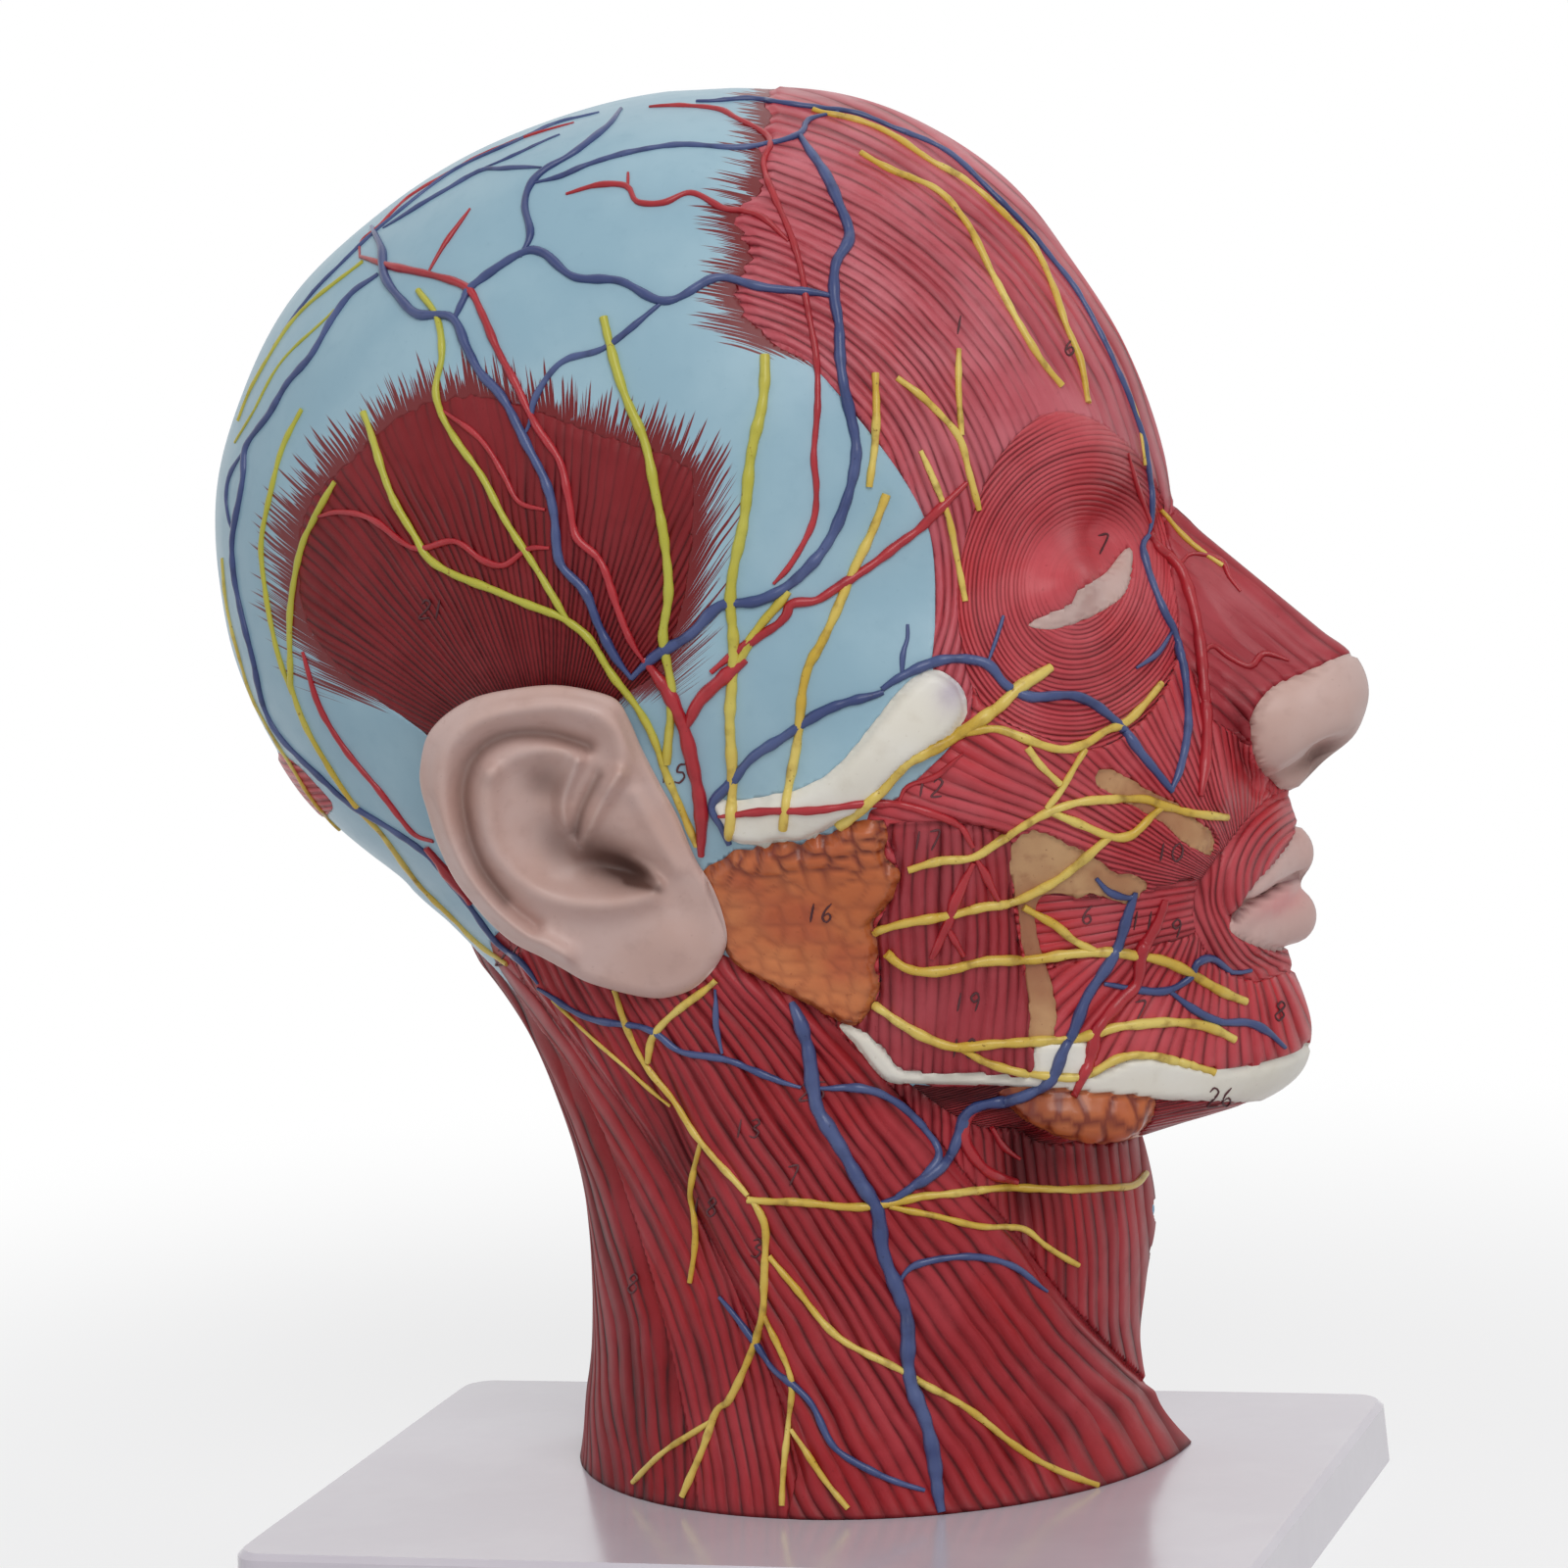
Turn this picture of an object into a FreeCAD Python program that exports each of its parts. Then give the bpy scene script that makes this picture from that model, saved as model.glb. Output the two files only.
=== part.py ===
# Anatomical half head: the right half of a life-size head and neck, cut at its middle plane, on a board.
# The frame stands under the board: x runs to the face, y to the cut side, z is up, in millimetres.
# Outlines on the head are shares of the head's length (x) and of the crown's height above the board (z).
import FreeCAD, Part
import math
import os
import Sketcher
from FreeCAD import Vector

SIZES = (
    # board
    ("board_length", 206.4),
    ("board_depth", 144.4),
    ("board_height", 13.0),
    ("board_skin", 3.0),
    ("board_wall", 3.0),
    ("board_corner", 7.0),
    ("board_edge", 1.2),
    ("board_draft", 3.0),
    ("board_offset", 5.0),
    ("rib_width", 2.0),
    ("rib_lift", 2.0),
    ("boss_radius", 7.5),
    ("boss_lift", 5.0),
    # fasteners under the board
    ("screw_radius", 2.1),
    ("screw_reach", 8.0),
    ("screw_head_radius", 4.0),
    ("screw_head_height", 2.6),
    ("screw_slot_width", 1.0),
    ("screw_slot_depth", 1.2),
    ("screw_clearance", 0.2),
    ("washer_radius", 5.5),
    ("washer_height", 1.0),
    # head and neck
    ("cut_plane", 28.0),
    ("head_length", 200.0),
    ("crown_height", 280.0),
    ("half_breadth", 77.0),
    ("skin_depth", 8.0),
    ("muscle_rise", 1.2),
    ("gland_rise", 2.6),
    ("neck_muscle_rise", 1.6),
    ("deep_muscle_rise", 0.8),
    ("section_depth", 16.0),
    ("section_relief", 2.0),
    ("plug_height", 12.0),
    # relief pieces
    ("vein_radius", 1.3),
    ("artery_radius", 1.2),
    ("nerve_radius", 1.1),
    ("vessel_seat", 0.3),
    ("ear_length", 64.0),
    ("ear_width", 54.0),
    ("ear_standoff", 17.0),
    ("nose_breadth", 17.5),
    ("lip_breadth", 25.0),
    ("lip_depth", 7.0),
    ("gland_length", 26.0),
    ("gland_depth", 17.0),
    ("gland_drop", 14.0),
)

# Level rings of the head: height, rear, front, half breadth, widest place, and fullness in front and behind.
HEAD_SHARES = (
    (0.250, 0.225, 0.425, 0.470, 0.265, 2.00, 2.20),
    (0.271, 0.155, 0.485, 0.570, 0.215, 2.00, 2.30),
    (0.300, 0.095, 0.505, 0.635, 0.175, 2.00, 2.40),
    (0.330, 0.000, 0.498, 0.675, 0.135, 2.00, 2.40),
    (0.368, -0.200, 0.488, 0.715, 0.065, 2.05, 2.20),
    (0.407, -0.370, 0.498, 0.765, 0.025, 2.10, 2.10),
    (0.450, -0.455, 0.498, 0.830, -0.005, 2.15, 2.10),
    (0.493, -0.515, 0.475, 0.895, -0.045, 2.30, 2.10),
    (0.543, -0.555, 0.443, 0.948, -0.075, 2.40, 2.15),
    (0.600, -0.583, 0.410, 0.987, -0.100, 2.40, 2.20),
    (0.660, -0.595, 0.388, 1.000, -0.115, 2.25, 2.20),
    (0.725, -0.592, 0.378, 0.993, -0.125, 2.20, 2.20),
    (0.800, -0.555, 0.350, 0.948, -0.125, 2.20, 2.20),
    (0.868, -0.500, 0.298, 0.857, -0.120, 2.15, 2.15),
    (0.920, -0.430, 0.235, 0.740, -0.110, 2.10, 2.10),
    (0.960, -0.355, 0.155, 0.600, -0.100, 2.05, 2.05),
    (0.986, -0.265, 0.085, 0.415, -0.085, 2.00, 2.00),
    (0.996, -0.165, 0.025, 0.220, -0.070, 2.00, 2.00),
)
NECK_SHARES = (
    (0.000, -0.275, 0.373, 0.838, 0.055, 2.00, 2.00),
    (0.030, -0.268, 0.325, 0.812, 0.055, 2.00, 2.00),
    (0.071, -0.260, 0.313, 0.779, 0.050, 2.10, 2.00),
    (0.121, -0.255, 0.325, 0.760, 0.045, 2.10, 2.10),
    (0.171, -0.253, 0.335, 0.747, 0.040, 2.10, 2.10),
    (0.221, -0.260, 0.325, 0.740, 0.035, 2.10, 2.10),
    (0.271, -0.280, 0.305, 0.740, 0.025, 2.10, 2.10),
    (0.329, -0.315, 0.285, 0.740, 0.010, 2.10, 2.10),
    (0.379, -0.365, 0.265, 0.753, -0.005, 2.10, 2.10),
    (0.429, -0.425, 0.225, 0.753, -0.025, 2.10, 2.10),
)
# Every second ring is enough for the inner cast, which the outer pieces cover.
INNER_HEAD_SHARES = (0.250, 0.300, 0.368, 0.450, 0.543, 0.660, 0.800, 0.920, 0.986)
INNER_NECK_SHARES = (0.071, 0.171, 0.271, 0.379, 0.429)

# Lateral pieces of the head, first come first served: name, rise, and outline in shares.
HEAD_REGION_SHARES = (
    ("eyelid", "gland_rise", ((0.31, 0.625), (0.345, 0.645), (0.375, 0.665), (0.382, 0.655), (0.37, 0.63),
                              (0.34, 0.62))),
    ("zygomatic_arch", "muscle_rise", ((0.02, 0.51), (0.085, 0.525), (0.145, 0.54), (0.185, 0.565),
                                       (0.22, 0.59), (0.26, 0.587), (0.262, 0.57), (0.25, 0.555),
                                       (0.205, 0.54), (0.16, 0.52), (0.14, 0.505), (0.03, 0.485))),
    ("parotid_gland", "gland_rise", ((-0.005, 0.47), (0.04, 0.482), (0.095, 0.49), (0.17, 0.50),
                                     (0.175, 0.475), (0.19, 0.46), (0.155, 0.43), (0.145, 0.395),
                                     (0.135, 0.355), (0.11, 0.345), (0.07, 0.37), (0.0, 0.40),
                                     (-0.008, 0.43))),
    ("mandible", "muscle_rise", ((0.105, 0.347), (0.125, 0.347), (0.145, 0.325), (0.165, 0.314),
                                 (0.29, 0.307), (0.29, 0.332), (0.34, 0.332), (0.34, 0.307),
                                 (0.375, 0.307), (0.45, 0.297), (0.50, 0.297), (0.60, 0.297),
                                 (0.60, 0.262), (0.49, 0.262), (0.45, 0.27), (0.395, 0.28),
                                 (0.325, 0.287), (0.26, 0.29), (0.195, 0.30), (0.145, 0.305),
                                 (0.12, 0.32))),
    ("orbicularis_oculi_muscle", "muscle_rise", ((0.335, 0.765), (0.285, 0.74), (0.262, 0.675),
                                                 (0.275, 0.615), (0.33, 0.583), (0.385, 0.59),
                                                 (0.408, 0.63), (0.41, 0.67), (0.395, 0.73))),
    ("auricular_muscle", "muscle_rise", ((-0.07, 0.585), (-0.035, 0.61), (0.015, 0.69), (0.0, 0.755),
                                         (-0.085, 0.775), (-0.185, 0.80), (-0.295, 0.785), (-0.39, 0.73),
                                         (-0.41, 0.655), (-0.385, 0.62), (-0.285, 0.56), (-0.18, 0.565))),
    ("frontalis_muscle", "muscle_rise", ((0.035, 1.10), (0.035, 0.985), (0.045, 0.92), (0.05, 0.865),
                                         (0.08, 0.835), (0.165, 0.78), (0.225, 0.70), (0.235, 0.655),
                                         (0.225, 0.60), (0.262, 0.587), (0.30, 0.60), (0.62, 0.69),
                                         (0.62, 1.10))),
    ("masseter_muscle", "muscle_rise", ((0.15, 0.50), (0.285, 0.48), (0.285, 0.30), (0.12, 0.30),
                                        (0.10, 0.36))),
    ("buccal_fat_pad", "muscle_rise", ((0.285, 0.48), (0.365, 0.47), (0.40, 0.44), (0.365, 0.425),
                                       (0.32, 0.43), (0.31, 0.335), (0.31, 0.30), (0.285, 0.30))),
    ("cheek_muscles", "muscle_rise", ((0.13, 0.49), (0.16, 0.52), (0.25, 0.555), (0.262, 0.587),
                                      (0.30, 0.61), (0.62, 0.70), (0.62, 0.455), (0.42, 0.455),
                                      (0.365, 0.47), (0.285, 0.48))),
    ("orbicularis_oris_muscle", "muscle_rise", ((0.42, 0.456), (0.62, 0.456), (0.62, 0.365), (0.43, 0.365),
                                                (0.41, 0.41))),
    ("buccinator_muscle", "muscle_rise", ((0.31, 0.335), (0.32, 0.43), (0.365, 0.425), (0.40, 0.44),
                                          (0.42, 0.456), (0.41, 0.41), (0.43, 0.365), (0.40, 0.335))),
    ("chin_muscles", "muscle_rise", ((0.31, 0.29), (0.62, 0.29), (0.62, 0.366), (0.43, 0.366),
                                     (0.40, 0.336), (0.31, 0.336))),
    ("digastric_muscle", "muscle_rise", ((0.18, 0.30), (0.26, 0.29), (0.325, 0.287), (0.395, 0.28),
                                         (0.45, 0.27), (0.49, 0.262), (0.62, 0.262), (0.62, 0.20),
                                         (0.18, 0.20))),
    ("occipitalis_muscle", "muscle_rise", ((-0.70, 0.555), (-0.51, 0.55), (-0.45, 0.50), (-0.42, 0.46),
                                           (-0.45, 0.445), (-0.70, 0.445))),
)
# Pieces of the neck, in the same way.
NECK_REGION_SHARES = (
    ("sternocleidomastoid_muscle", "neck_muscle_rise", ((-0.20, 0.46), (0.01, 0.46), (0.05, 0.36),
                                                        (0.105, 0.34), (0.175, 0.27), (0.225, 0.21),
                                                        (0.25, 0.17), (0.295, 0.105), (0.34, 0.045),
                                                        (0.40, 0.0), (0.065, 0.0), (0.035, 0.07),
                                                        (-0.005, 0.15), (-0.045, 0.205), (-0.105, 0.27),
                                                        (-0.19, 0.33), (-0.245, 0.375))),
    ("trapezius_muscle", "muscle_rise", ((-0.60, 0.46), (-0.35, 0.46), (-0.25, 0.37), (-0.175, 0.29),
                                         (-0.13, 0.20), (-0.075, 0.095), (-0.055, 0.0), (-0.60, 0.0))),
    ("deep_neck_muscles", "deep_muscle_rise", ((-0.35, 0.46), (-0.20, 0.46), (-0.15, 0.34), (0.06, 0.12),
                                             (0.07, 0.0), (-0.055, 0.0), (-0.175, 0.29))),
)
STRAP_REGION_SHARES = ((0.0, 0.46), (0.62, 0.46), (0.62, 0.0), (0.0, 0.0))
THYROID_SHARES = ((0.27, 0.125), (0.40, 0.12), (0.40, 0.215), (0.30, 0.205))

# Pieces of the cut face, first come first served: name and outline in shares.
SECTION_SHARES = (
    ("corpus_callosum", ((0.12, 0.715), (0.13, 0.75), (0.07, 0.79), (-0.05, 0.807), (-0.17, 0.79),
                         (-0.25, 0.743), (-0.24, 0.715), (-0.21, 0.725), (-0.16, 0.757), (-0.05, 0.775),
                         (0.05, 0.761), (0.085, 0.736), (0.085, 0.71))),
    ("brain_stem", ((-0.07, 0.715), (-0.14, 0.715), (-0.19, 0.68), (-0.20, 0.63), (-0.165, 0.535),
                    (-0.165, 0.40), (-0.12, 0.40), (-0.11, 0.457), (-0.08, 0.50), (-0.07, 0.555),
                    (-0.10, 0.60), (-0.07, 0.643), (-0.04, 0.68))),
    ("cerebellum", ((-0.21, 0.593), (-0.30, 0.593), (-0.40, 0.575), (-0.46, 0.535), (-0.43, 0.485),
                    (-0.34, 0.457), (-0.25, 0.465), (-0.19, 0.507), (-0.18, 0.555))),
    ("brain_half", ((0.265, 0.725), (0.265, 0.79), (0.215, 0.85), (0.12, 0.90), (0.0, 0.925),
                    (-0.15, 0.93), (-0.30, 0.895), (-0.41, 0.835), (-0.48, 0.76), (-0.51, 0.68),
                    (-0.49, 0.607), (-0.40, 0.595), (-0.30, 0.605), (-0.21, 0.63), (-0.125, 0.63),
                    (-0.05, 0.645), (0.12, 0.657), (0.22, 0.686))),
    ("spinal_cord", ((-0.165, 0.40), (-0.12, 0.40), (-0.10, 0.215), (-0.10, 0.045), (-0.14, 0.045),
                     (-0.14, 0.215))),
    ("nasal_cavity_wall", ((0.36, 0.63), (0.39, 0.57), (0.40, 0.52), (0.40, 0.505), (0.20, 0.505),
                           (0.18, 0.535), (0.20, 0.61), (0.29, 0.637))),
    ("hard_palate", ((0.41, 0.505), (0.42, 0.483), (0.25, 0.478), (0.20, 0.486), (0.20, 0.505))),
    ("soft_palate", ((0.20, 0.505), (0.20, 0.486), (0.15, 0.436), (0.11, 0.42), (0.115, 0.445),
                     (0.155, 0.49))),
    ("tongue", ((0.405, 0.42), (0.385, 0.455), (0.31, 0.47), (0.22, 0.464), (0.17, 0.42), (0.16, 0.37),
                (0.20, 0.35), (0.28, 0.355), (0.35, 0.375), (0.395, 0.385))),
    ("mandible_section", ((0.435, 0.37), (0.405, 0.365), (0.395, 0.33), (0.40, 0.30), (0.43, 0.295),
                          (0.445, 0.32))),
    ("hyoid_bone", ((0.24, 0.27), (0.27, 0.28), (0.275, 0.262), (0.25, 0.252))),
    ("epiglottis", ((0.17, 0.30), (0.18, 0.30), (0.215, 0.25), (0.205, 0.24))),
    ("trachea", ((0.205, 0.235), (0.255, 0.24), (0.255, 0.16), (0.225, 0.045), (0.165, 0.045),
                 (0.175, 0.14))),
    ("oesophagus", ((0.13, 0.235), (0.16, 0.235), (0.135, 0.14), (0.125, 0.045), (0.085, 0.045),
                    (0.095, 0.14))),
)
CONCHA_SHARES = ((0.215, 0.60, 0.14), (0.215, 0.568, 0.155), (0.215, 0.532, 0.165))
CONCHA_THICKNESS_SHARE = 0.018
# The neck bones: rear and front face of a body, the pitch from one to the next, and the part that bone takes.
SPINE_SHARES = {"rear": -0.09, "front": 0.005, "first": 0.375, "pitch": 0.0465, "bone": 0.74, "waist": 0.012}
SPINOUS_SHARES = {"front": -0.15, "rear": -0.20, "rise": 0.012, "height": 0.020}
VERTEBRA_COUNT = 7

# The auricle's outline about its centre, in half widths and half lengths, and its centre on the head.
EAR_OUTLINE_SHARES = (
    (-0.95, 0.35), (-0.85, 0.70), (-0.55, 0.92), (-0.15, 1.00), (0.25, 0.95), (0.55, 0.75), (0.65, 0.35),
    (0.80, 0.00), (0.95, -0.35), (1.00, -0.70), (0.80, -0.97), (0.35, -0.95), (-0.10, -0.80), (-0.55, -0.55),
    (-0.85, -0.10),
)
EAR_CENTER_SHARES = (-0.135, 0.487)
# Rings of the auricle from its root round the rim into the bowl: scale and standoff; and its lean backward.
EAR_RING_SHARES = ((0.72, -1.0), (0.80, 0.3), (1.0, 0.9), (0.97, 1.25), (0.815, 1.2), (0.735, 0.85),
                   (0.42, 0.62), (0.28, 0.15))
EAR_LEAN_SHARES = (0.55, 0.45)
# Sagittal outlines of the nose from the middle outward: share of its breadth, then points.
NOSE_SHARES = (
    (-0.02, ((0.30, 0.69), (0.385, 0.695), (0.445, 0.652), (0.522, 0.605), (0.57, 0.578), (0.592, 0.557),
             (0.592, 0.538), (0.562, 0.516), (0.51, 0.493), (0.492, 0.480), (0.38, 0.478), (0.34, 0.60))),
    (0.45, ((0.30, 0.66), (0.37, 0.665), (0.425, 0.630), (0.492, 0.588), (0.54, 0.562), (0.562, 0.548),
            (0.562, 0.533), (0.54, 0.513), (0.50, 0.493), (0.484, 0.482), (0.37, 0.482), (0.33, 0.58))),
    (0.85, ((0.30, 0.61), (0.36, 0.615), (0.395, 0.600), (0.44, 0.572), (0.48, 0.550), (0.505, 0.538),
            (0.508, 0.524), (0.498, 0.508), (0.475, 0.493), (0.458, 0.487), (0.36, 0.487), (0.32, 0.55))),
    (1.00, ((0.32, 0.59), (0.36, 0.585), (0.385, 0.572), (0.415, 0.557), (0.45, 0.540), (0.472, 0.530),
            (0.476, 0.520), (0.470, 0.508), (0.452, 0.498), (0.438, 0.494), (0.36, 0.494), (0.33, 0.54))),
)
NOSE_TIP_SHARES = ((0.535, 0.64), (0.70, 0.64), (0.70, 0.44), (0.43, 0.44), (0.455, 0.508), (0.48, 0.555))
# Profile of the lips: how far each point stands before the face, in lip depths, and its height.
LIP_PROFILE_SHARES = ((-0.96, 0.458), (-0.16, 0.462), (0.56, 0.445), (0.80, 0.430), (0.24, 0.413),
                      (0.72, 0.398), (0.67, 0.382), (-0.16, 0.364), (-0.96, 0.368))
LIP_SLICE_SHARES = ((0.0, 1.0), (0.45, 0.92), (0.80, 0.65), (1.0, 0.30))
MOUTH_HEIGHT_SHARE = 0.413
MOUTH_CORNER_SHARE = 0.45
# The gland under the jaw: its middle along the head, behind the cut plane and up.
GLAND_PLACE_SHARES = (0.335, 0.52, 0.268)
GLAND_TILTS = (-75, -45, -15, 15, 45, 75)
GLAND_SIDES = 10

# Relief vessels and nerves: points of each branch on the surface, in shares.
TREE_SHARES = (
    ("scalp_veins", "vein_radius", (
        ((-0.001, 0.515), (-0.05, 0.605), (-0.095, 0.665), (-0.12, 0.72), (-0.15, 0.775), (-0.20, 0.82),
         (-0.23, 0.855), (-0.295, 0.87), (-0.355, 0.915)),
        ((-0.23, 0.855), (-0.165, 0.895), (-0.11, 0.88), (-0.015, 0.862), (0.08, 0.868), (0.14, 0.857)),
        ((-0.165, 0.895), (-0.168, 0.94)),
        ((-0.015, 0.862), (-0.07, 0.832), (-0.13, 0.815), (-0.15, 0.775)),
        ((-0.05, 0.605), (0.01, 0.635), (0.11, 0.67), (0.158, 0.72), (0.16, 0.78), (0.14, 0.857),
         (0.147, 0.90)),
        ((-0.355, 0.915), (-0.38, 0.855), (-0.455, 0.79), (-0.505, 0.735), (-0.51, 0.65), (-0.49, 0.585),
         (-0.42, 0.51), (-0.35, 0.44)),
    )),
    ("temporal_arteries", "artery_radius", (
        ((-0.006, 0.557), (-0.04, 0.618), (-0.078, 0.687), (-0.114, 0.756), (-0.18, 0.834), (-0.22, 0.875),
         (-0.36, 0.897)),
        ((-0.006, 0.557), (0.03, 0.605), (0.105, 0.68), (0.132, 0.754), (0.13, 0.818), (0.096, 0.90),
         (0.056, 0.95)),
        ((0.03, 0.605), (0.105, 0.653), (0.17, 0.672), (0.22, 0.696), (0.26, 0.725)),
        ((-0.13, 0.936), (-0.067, 0.939), (-0.027, 0.927), (0.05, 0.919), (0.09, 0.897)),
    )),
    ("auriculotemporal_nerves", "nerve_radius", (
        ((-0.04, 0.567), (-0.07, 0.605), (-0.14, 0.655), (-0.256, 0.692), (-0.288, 0.729), (-0.33, 0.79)),
        ((-0.27, 0.874), (-0.24, 0.83), (-0.22, 0.77), (-0.14, 0.655)),
        ((-0.02, 0.53), (-0.016, 0.595), (-0.016, 0.724), (-0.074, 0.853)),
    )),
    ("occipital_nerves", "nerve_radius", (
        ((-0.36, 0.744), (-0.41, 0.697), (-0.44, 0.607), (-0.42, 0.552), (-0.38, 0.46)),
        ((-0.407, 0.794), (-0.463, 0.67), (-0.44, 0.607)),
    )),
    ("supraorbital_nerves", "nerve_radius", (
        ((0.135, 0.952), (0.21, 0.92), (0.25, 0.883), (0.29, 0.83), (0.328, 0.785)),
        ((0.20, 0.80), (0.252, 0.759), (0.27, 0.707)),
        ((0.221, 0.75), (0.248, 0.694), (0.257, 0.645)),
    )),
    ("facial_nerve_branches", "nerve_radius", (
        ((0.025, 0.52), (0.05, 0.66), (0.07, 0.742), (0.082, 0.82)),
        ((0.08, 0.535), (0.13, 0.626), (0.178, 0.695), (0.182, 0.805)),
        ((0.134, 0.508), (0.197, 0.55), (0.255, 0.575), (0.303, 0.585)),
        ((0.19, 0.46), (0.277, 0.476), (0.346, 0.50), (0.403, 0.498), (0.46, 0.476)),
        ((0.16, 0.416), (0.221, 0.427), (0.295, 0.436), (0.357, 0.463), (0.403, 0.498)),
        ((0.16, 0.399), (0.217, 0.386), (0.30, 0.391), (0.40, 0.383), (0.46, 0.35)),
        ((0.15, 0.361), (0.194, 0.335), (0.301, 0.334), (0.406, 0.337), (0.455, 0.318)),
    )),
    ("facial_vein", "vein_radius", (
        ((0.26, 0.60), (0.348, 0.573), (0.386, 0.547), (0.426, 0.50)),
        ((0.36, 0.446), (0.384, 0.426), (0.369, 0.393), (0.341, 0.358), (0.315, 0.321), (0.302, 0.304)),
    )),
    ("facial_arteries", "artery_radius", (
        ((0.415, 0.425), (0.391, 0.386), (0.349, 0.345), (0.328, 0.30)),
        ((0.254, 0.465), (0.227, 0.433), (0.203, 0.395)),
    )),
)
NECK_TREE_SHARES = (
    ("external_jugular_vein", "vein_radius", (
        ((0.07, 0.33), (0.08, 0.29), (0.133, 0.214), (0.147, 0.161), (0.158, 0.098), (0.176, 0.035)),
        ((-0.09, 0.345), (-0.02, 0.326), (0.075, 0.31)),
        ((0.08, 0.29), (0.154, 0.28), (0.175, 0.257), (0.133, 0.214)),
    )),
    ("cervical_nerves", "nerve_radius", (
        ((-0.11, 0.345), (-0.07, 0.296), (0.002, 0.226), (0.115, 0.22)),
        ((0.002, 0.226), (0.02, 0.187), (0.013, 0.144), (-0.024, 0.08), (-0.08, 0.01)),
        ((0.02, 0.187), (0.08, 0.135), (0.13, 0.11)),
    )),
)

RING_COUNT = 14
INNER_RING_COUNT = 10
TUBE_SIDES = 4
# A run of a vessel longer than this bends once more over the surface.
LONG_RUN_SHARE = 0.09
# A solid smaller than this share of its piece's largest is a waste sliver of the cutting.
SLIVER_SHARE = 0.04
# Screws about the middle of the neck's foot, and the long ribs from the board's middle.
SCREW_PLACE_SHARES = ((-0.15, 0.05), (0.15, 0.05), (0.0, -0.09))
RIB_PLACE_SHARE = 0.34
# Outlines that hold the whole head, the whole cut face, and the bony part of it.
WHOLE_HEAD_SHARES = ((-0.9, 0.20), (0.9, 0.20), (0.9, 1.2), (-0.9, 1.2))
WHOLE_CUT_SHARES = ((-0.9, -0.1), (0.9, -0.1), (0.9, 1.2), (-0.9, 1.2))
CRANIUM_SHARES = ((-0.9, 0.44), (-0.2, 0.44), (-0.1, 0.40), (0.0, 0.40), (0.12, 0.49), (0.19, 0.51),
                  (0.9, 0.51), (0.9, 1.2), (-0.9, 1.2))
CARTILAGE_DEPTH_SHARE = 0.75

doc = FreeCAD.newDocument("half_head")
sheet = doc.addObject("Spreadsheet::Sheet", "Sizes")
for line, (alias, value) in enumerate(SIZES, start=1):
    sheet.set("A%d" % line, alias)
    sheet.set("B%d" % line, str(value))
    sheet.setAlias("B%d" % line, alias)
doc.recompute()


def size(alias):
    """Return one size of the sheet in millimetres."""
    return float(getattr(sheet, alias))


def along(share):
    """Return the x of a share of the head's length."""
    return share * size("head_length")


def up(share):
    """Return the z of a share of the crown's height above the board."""
    return size("board_height") + share * size("crown_height")


def out(depth):
    """Return the y of a depth behind the cut plane, toward the outer side."""
    return size("cut_plane") - depth


def add_part(name, shape):
    """Add a piece whose outline no standard feature gives, with its own label and placement."""
    piece = doc.addObject("Part::Feature", name)
    piece.Shape = shape
    piece.Label = name
    piece.Placement = FreeCAD.Placement(Vector(0, 0, 0), FreeCAD.Rotation())
    return piece


def flat_faces(corners):
    """Return one face through four corners, or two triangles where they do not lie flat."""
    a, b, c, d = corners
    normal = (b - a).cross(c - a)
    if normal.Length > 0 and abs((d - a).dot(normal)) < 1e-7 * normal.Length:
        groups = ((a, b, c, d),)
    else:
        groups = ((a, b, c), (a, c, d))
    faces = []
    for group in groups:
        points = []
        for point in group:
            if not points or point.distanceToPoint(points[-1]) > 1e-6:
                points.append(point)
        if points[0].distanceToPoint(points[-1]) < 1e-6:
            points.pop()
        if len(points) > 2:
            faces.append(Part.Face(Part.makePolygon(points + points[:1])))
    return faces


def close_solid(faces):
    """Sew faces into one solid that points outward."""
    shell = Part.makeShell(faces)
    shell.sewShape()
    solid = Part.makeSolid(shell)
    if solid.Volume < 0:
        solid.reverse()
    return solid


def ring_solid(rings):
    """Return the faceted solid that closed rings of points bound, with flat ends."""
    faces = []
    count = len(rings[0])
    for low, high in zip(rings, rings[1:]):
        for k in range(count):
            n = (k + 1) % count
            faces += flat_faces((low[k], low[n], high[n], high[k]))
    for ring in (rings[0], rings[-1]):
        faces += end_faces(ring)
    return close_solid(faces)


def end_faces(ring):
    """Return the end of a ring: one face, or triangles from its middle where it is not flat."""
    middle = Vector(0, 0, 0)
    for point in ring:
        middle = middle + point * (1.0 / len(ring))
    normal = Vector(0, 0, 0)
    for k in range(len(ring)):
        normal = normal + (ring[k] - middle).cross(ring[(k + 1) % len(ring)] - middle)
    normal.normalize()
    if max(abs((point - middle).dot(normal)) for point in ring) < 1e-7:
        return [Part.Face(Part.makePolygon(list(ring) + [ring[0]]))]
    return [Part.Face(Part.makePolygon([middle, ring[k], ring[(k + 1) % len(ring)], middle]))
            for k in range(len(ring))]


def half_solid(rings):
    """Return the faceted solid between open rings that start and end on the cut plane."""
    faces = []
    for low, high in zip(rings, rings[1:]):
        for k in range(len(low) - 1):
            faces += flat_faces((low[k], low[k + 1], high[k + 1], high[k]))
    for ring in (rings[0], rings[-1]):
        faces.append(Part.Face(Part.makePolygon(ring + ring[:1])))
    outline = [ring[0] for ring in rings] + [ring[-1] for ring in reversed(rings)]
    faces.append(Part.Face(Part.makePolygon(outline + outline[:1])))
    return close_solid(faces)


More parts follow.
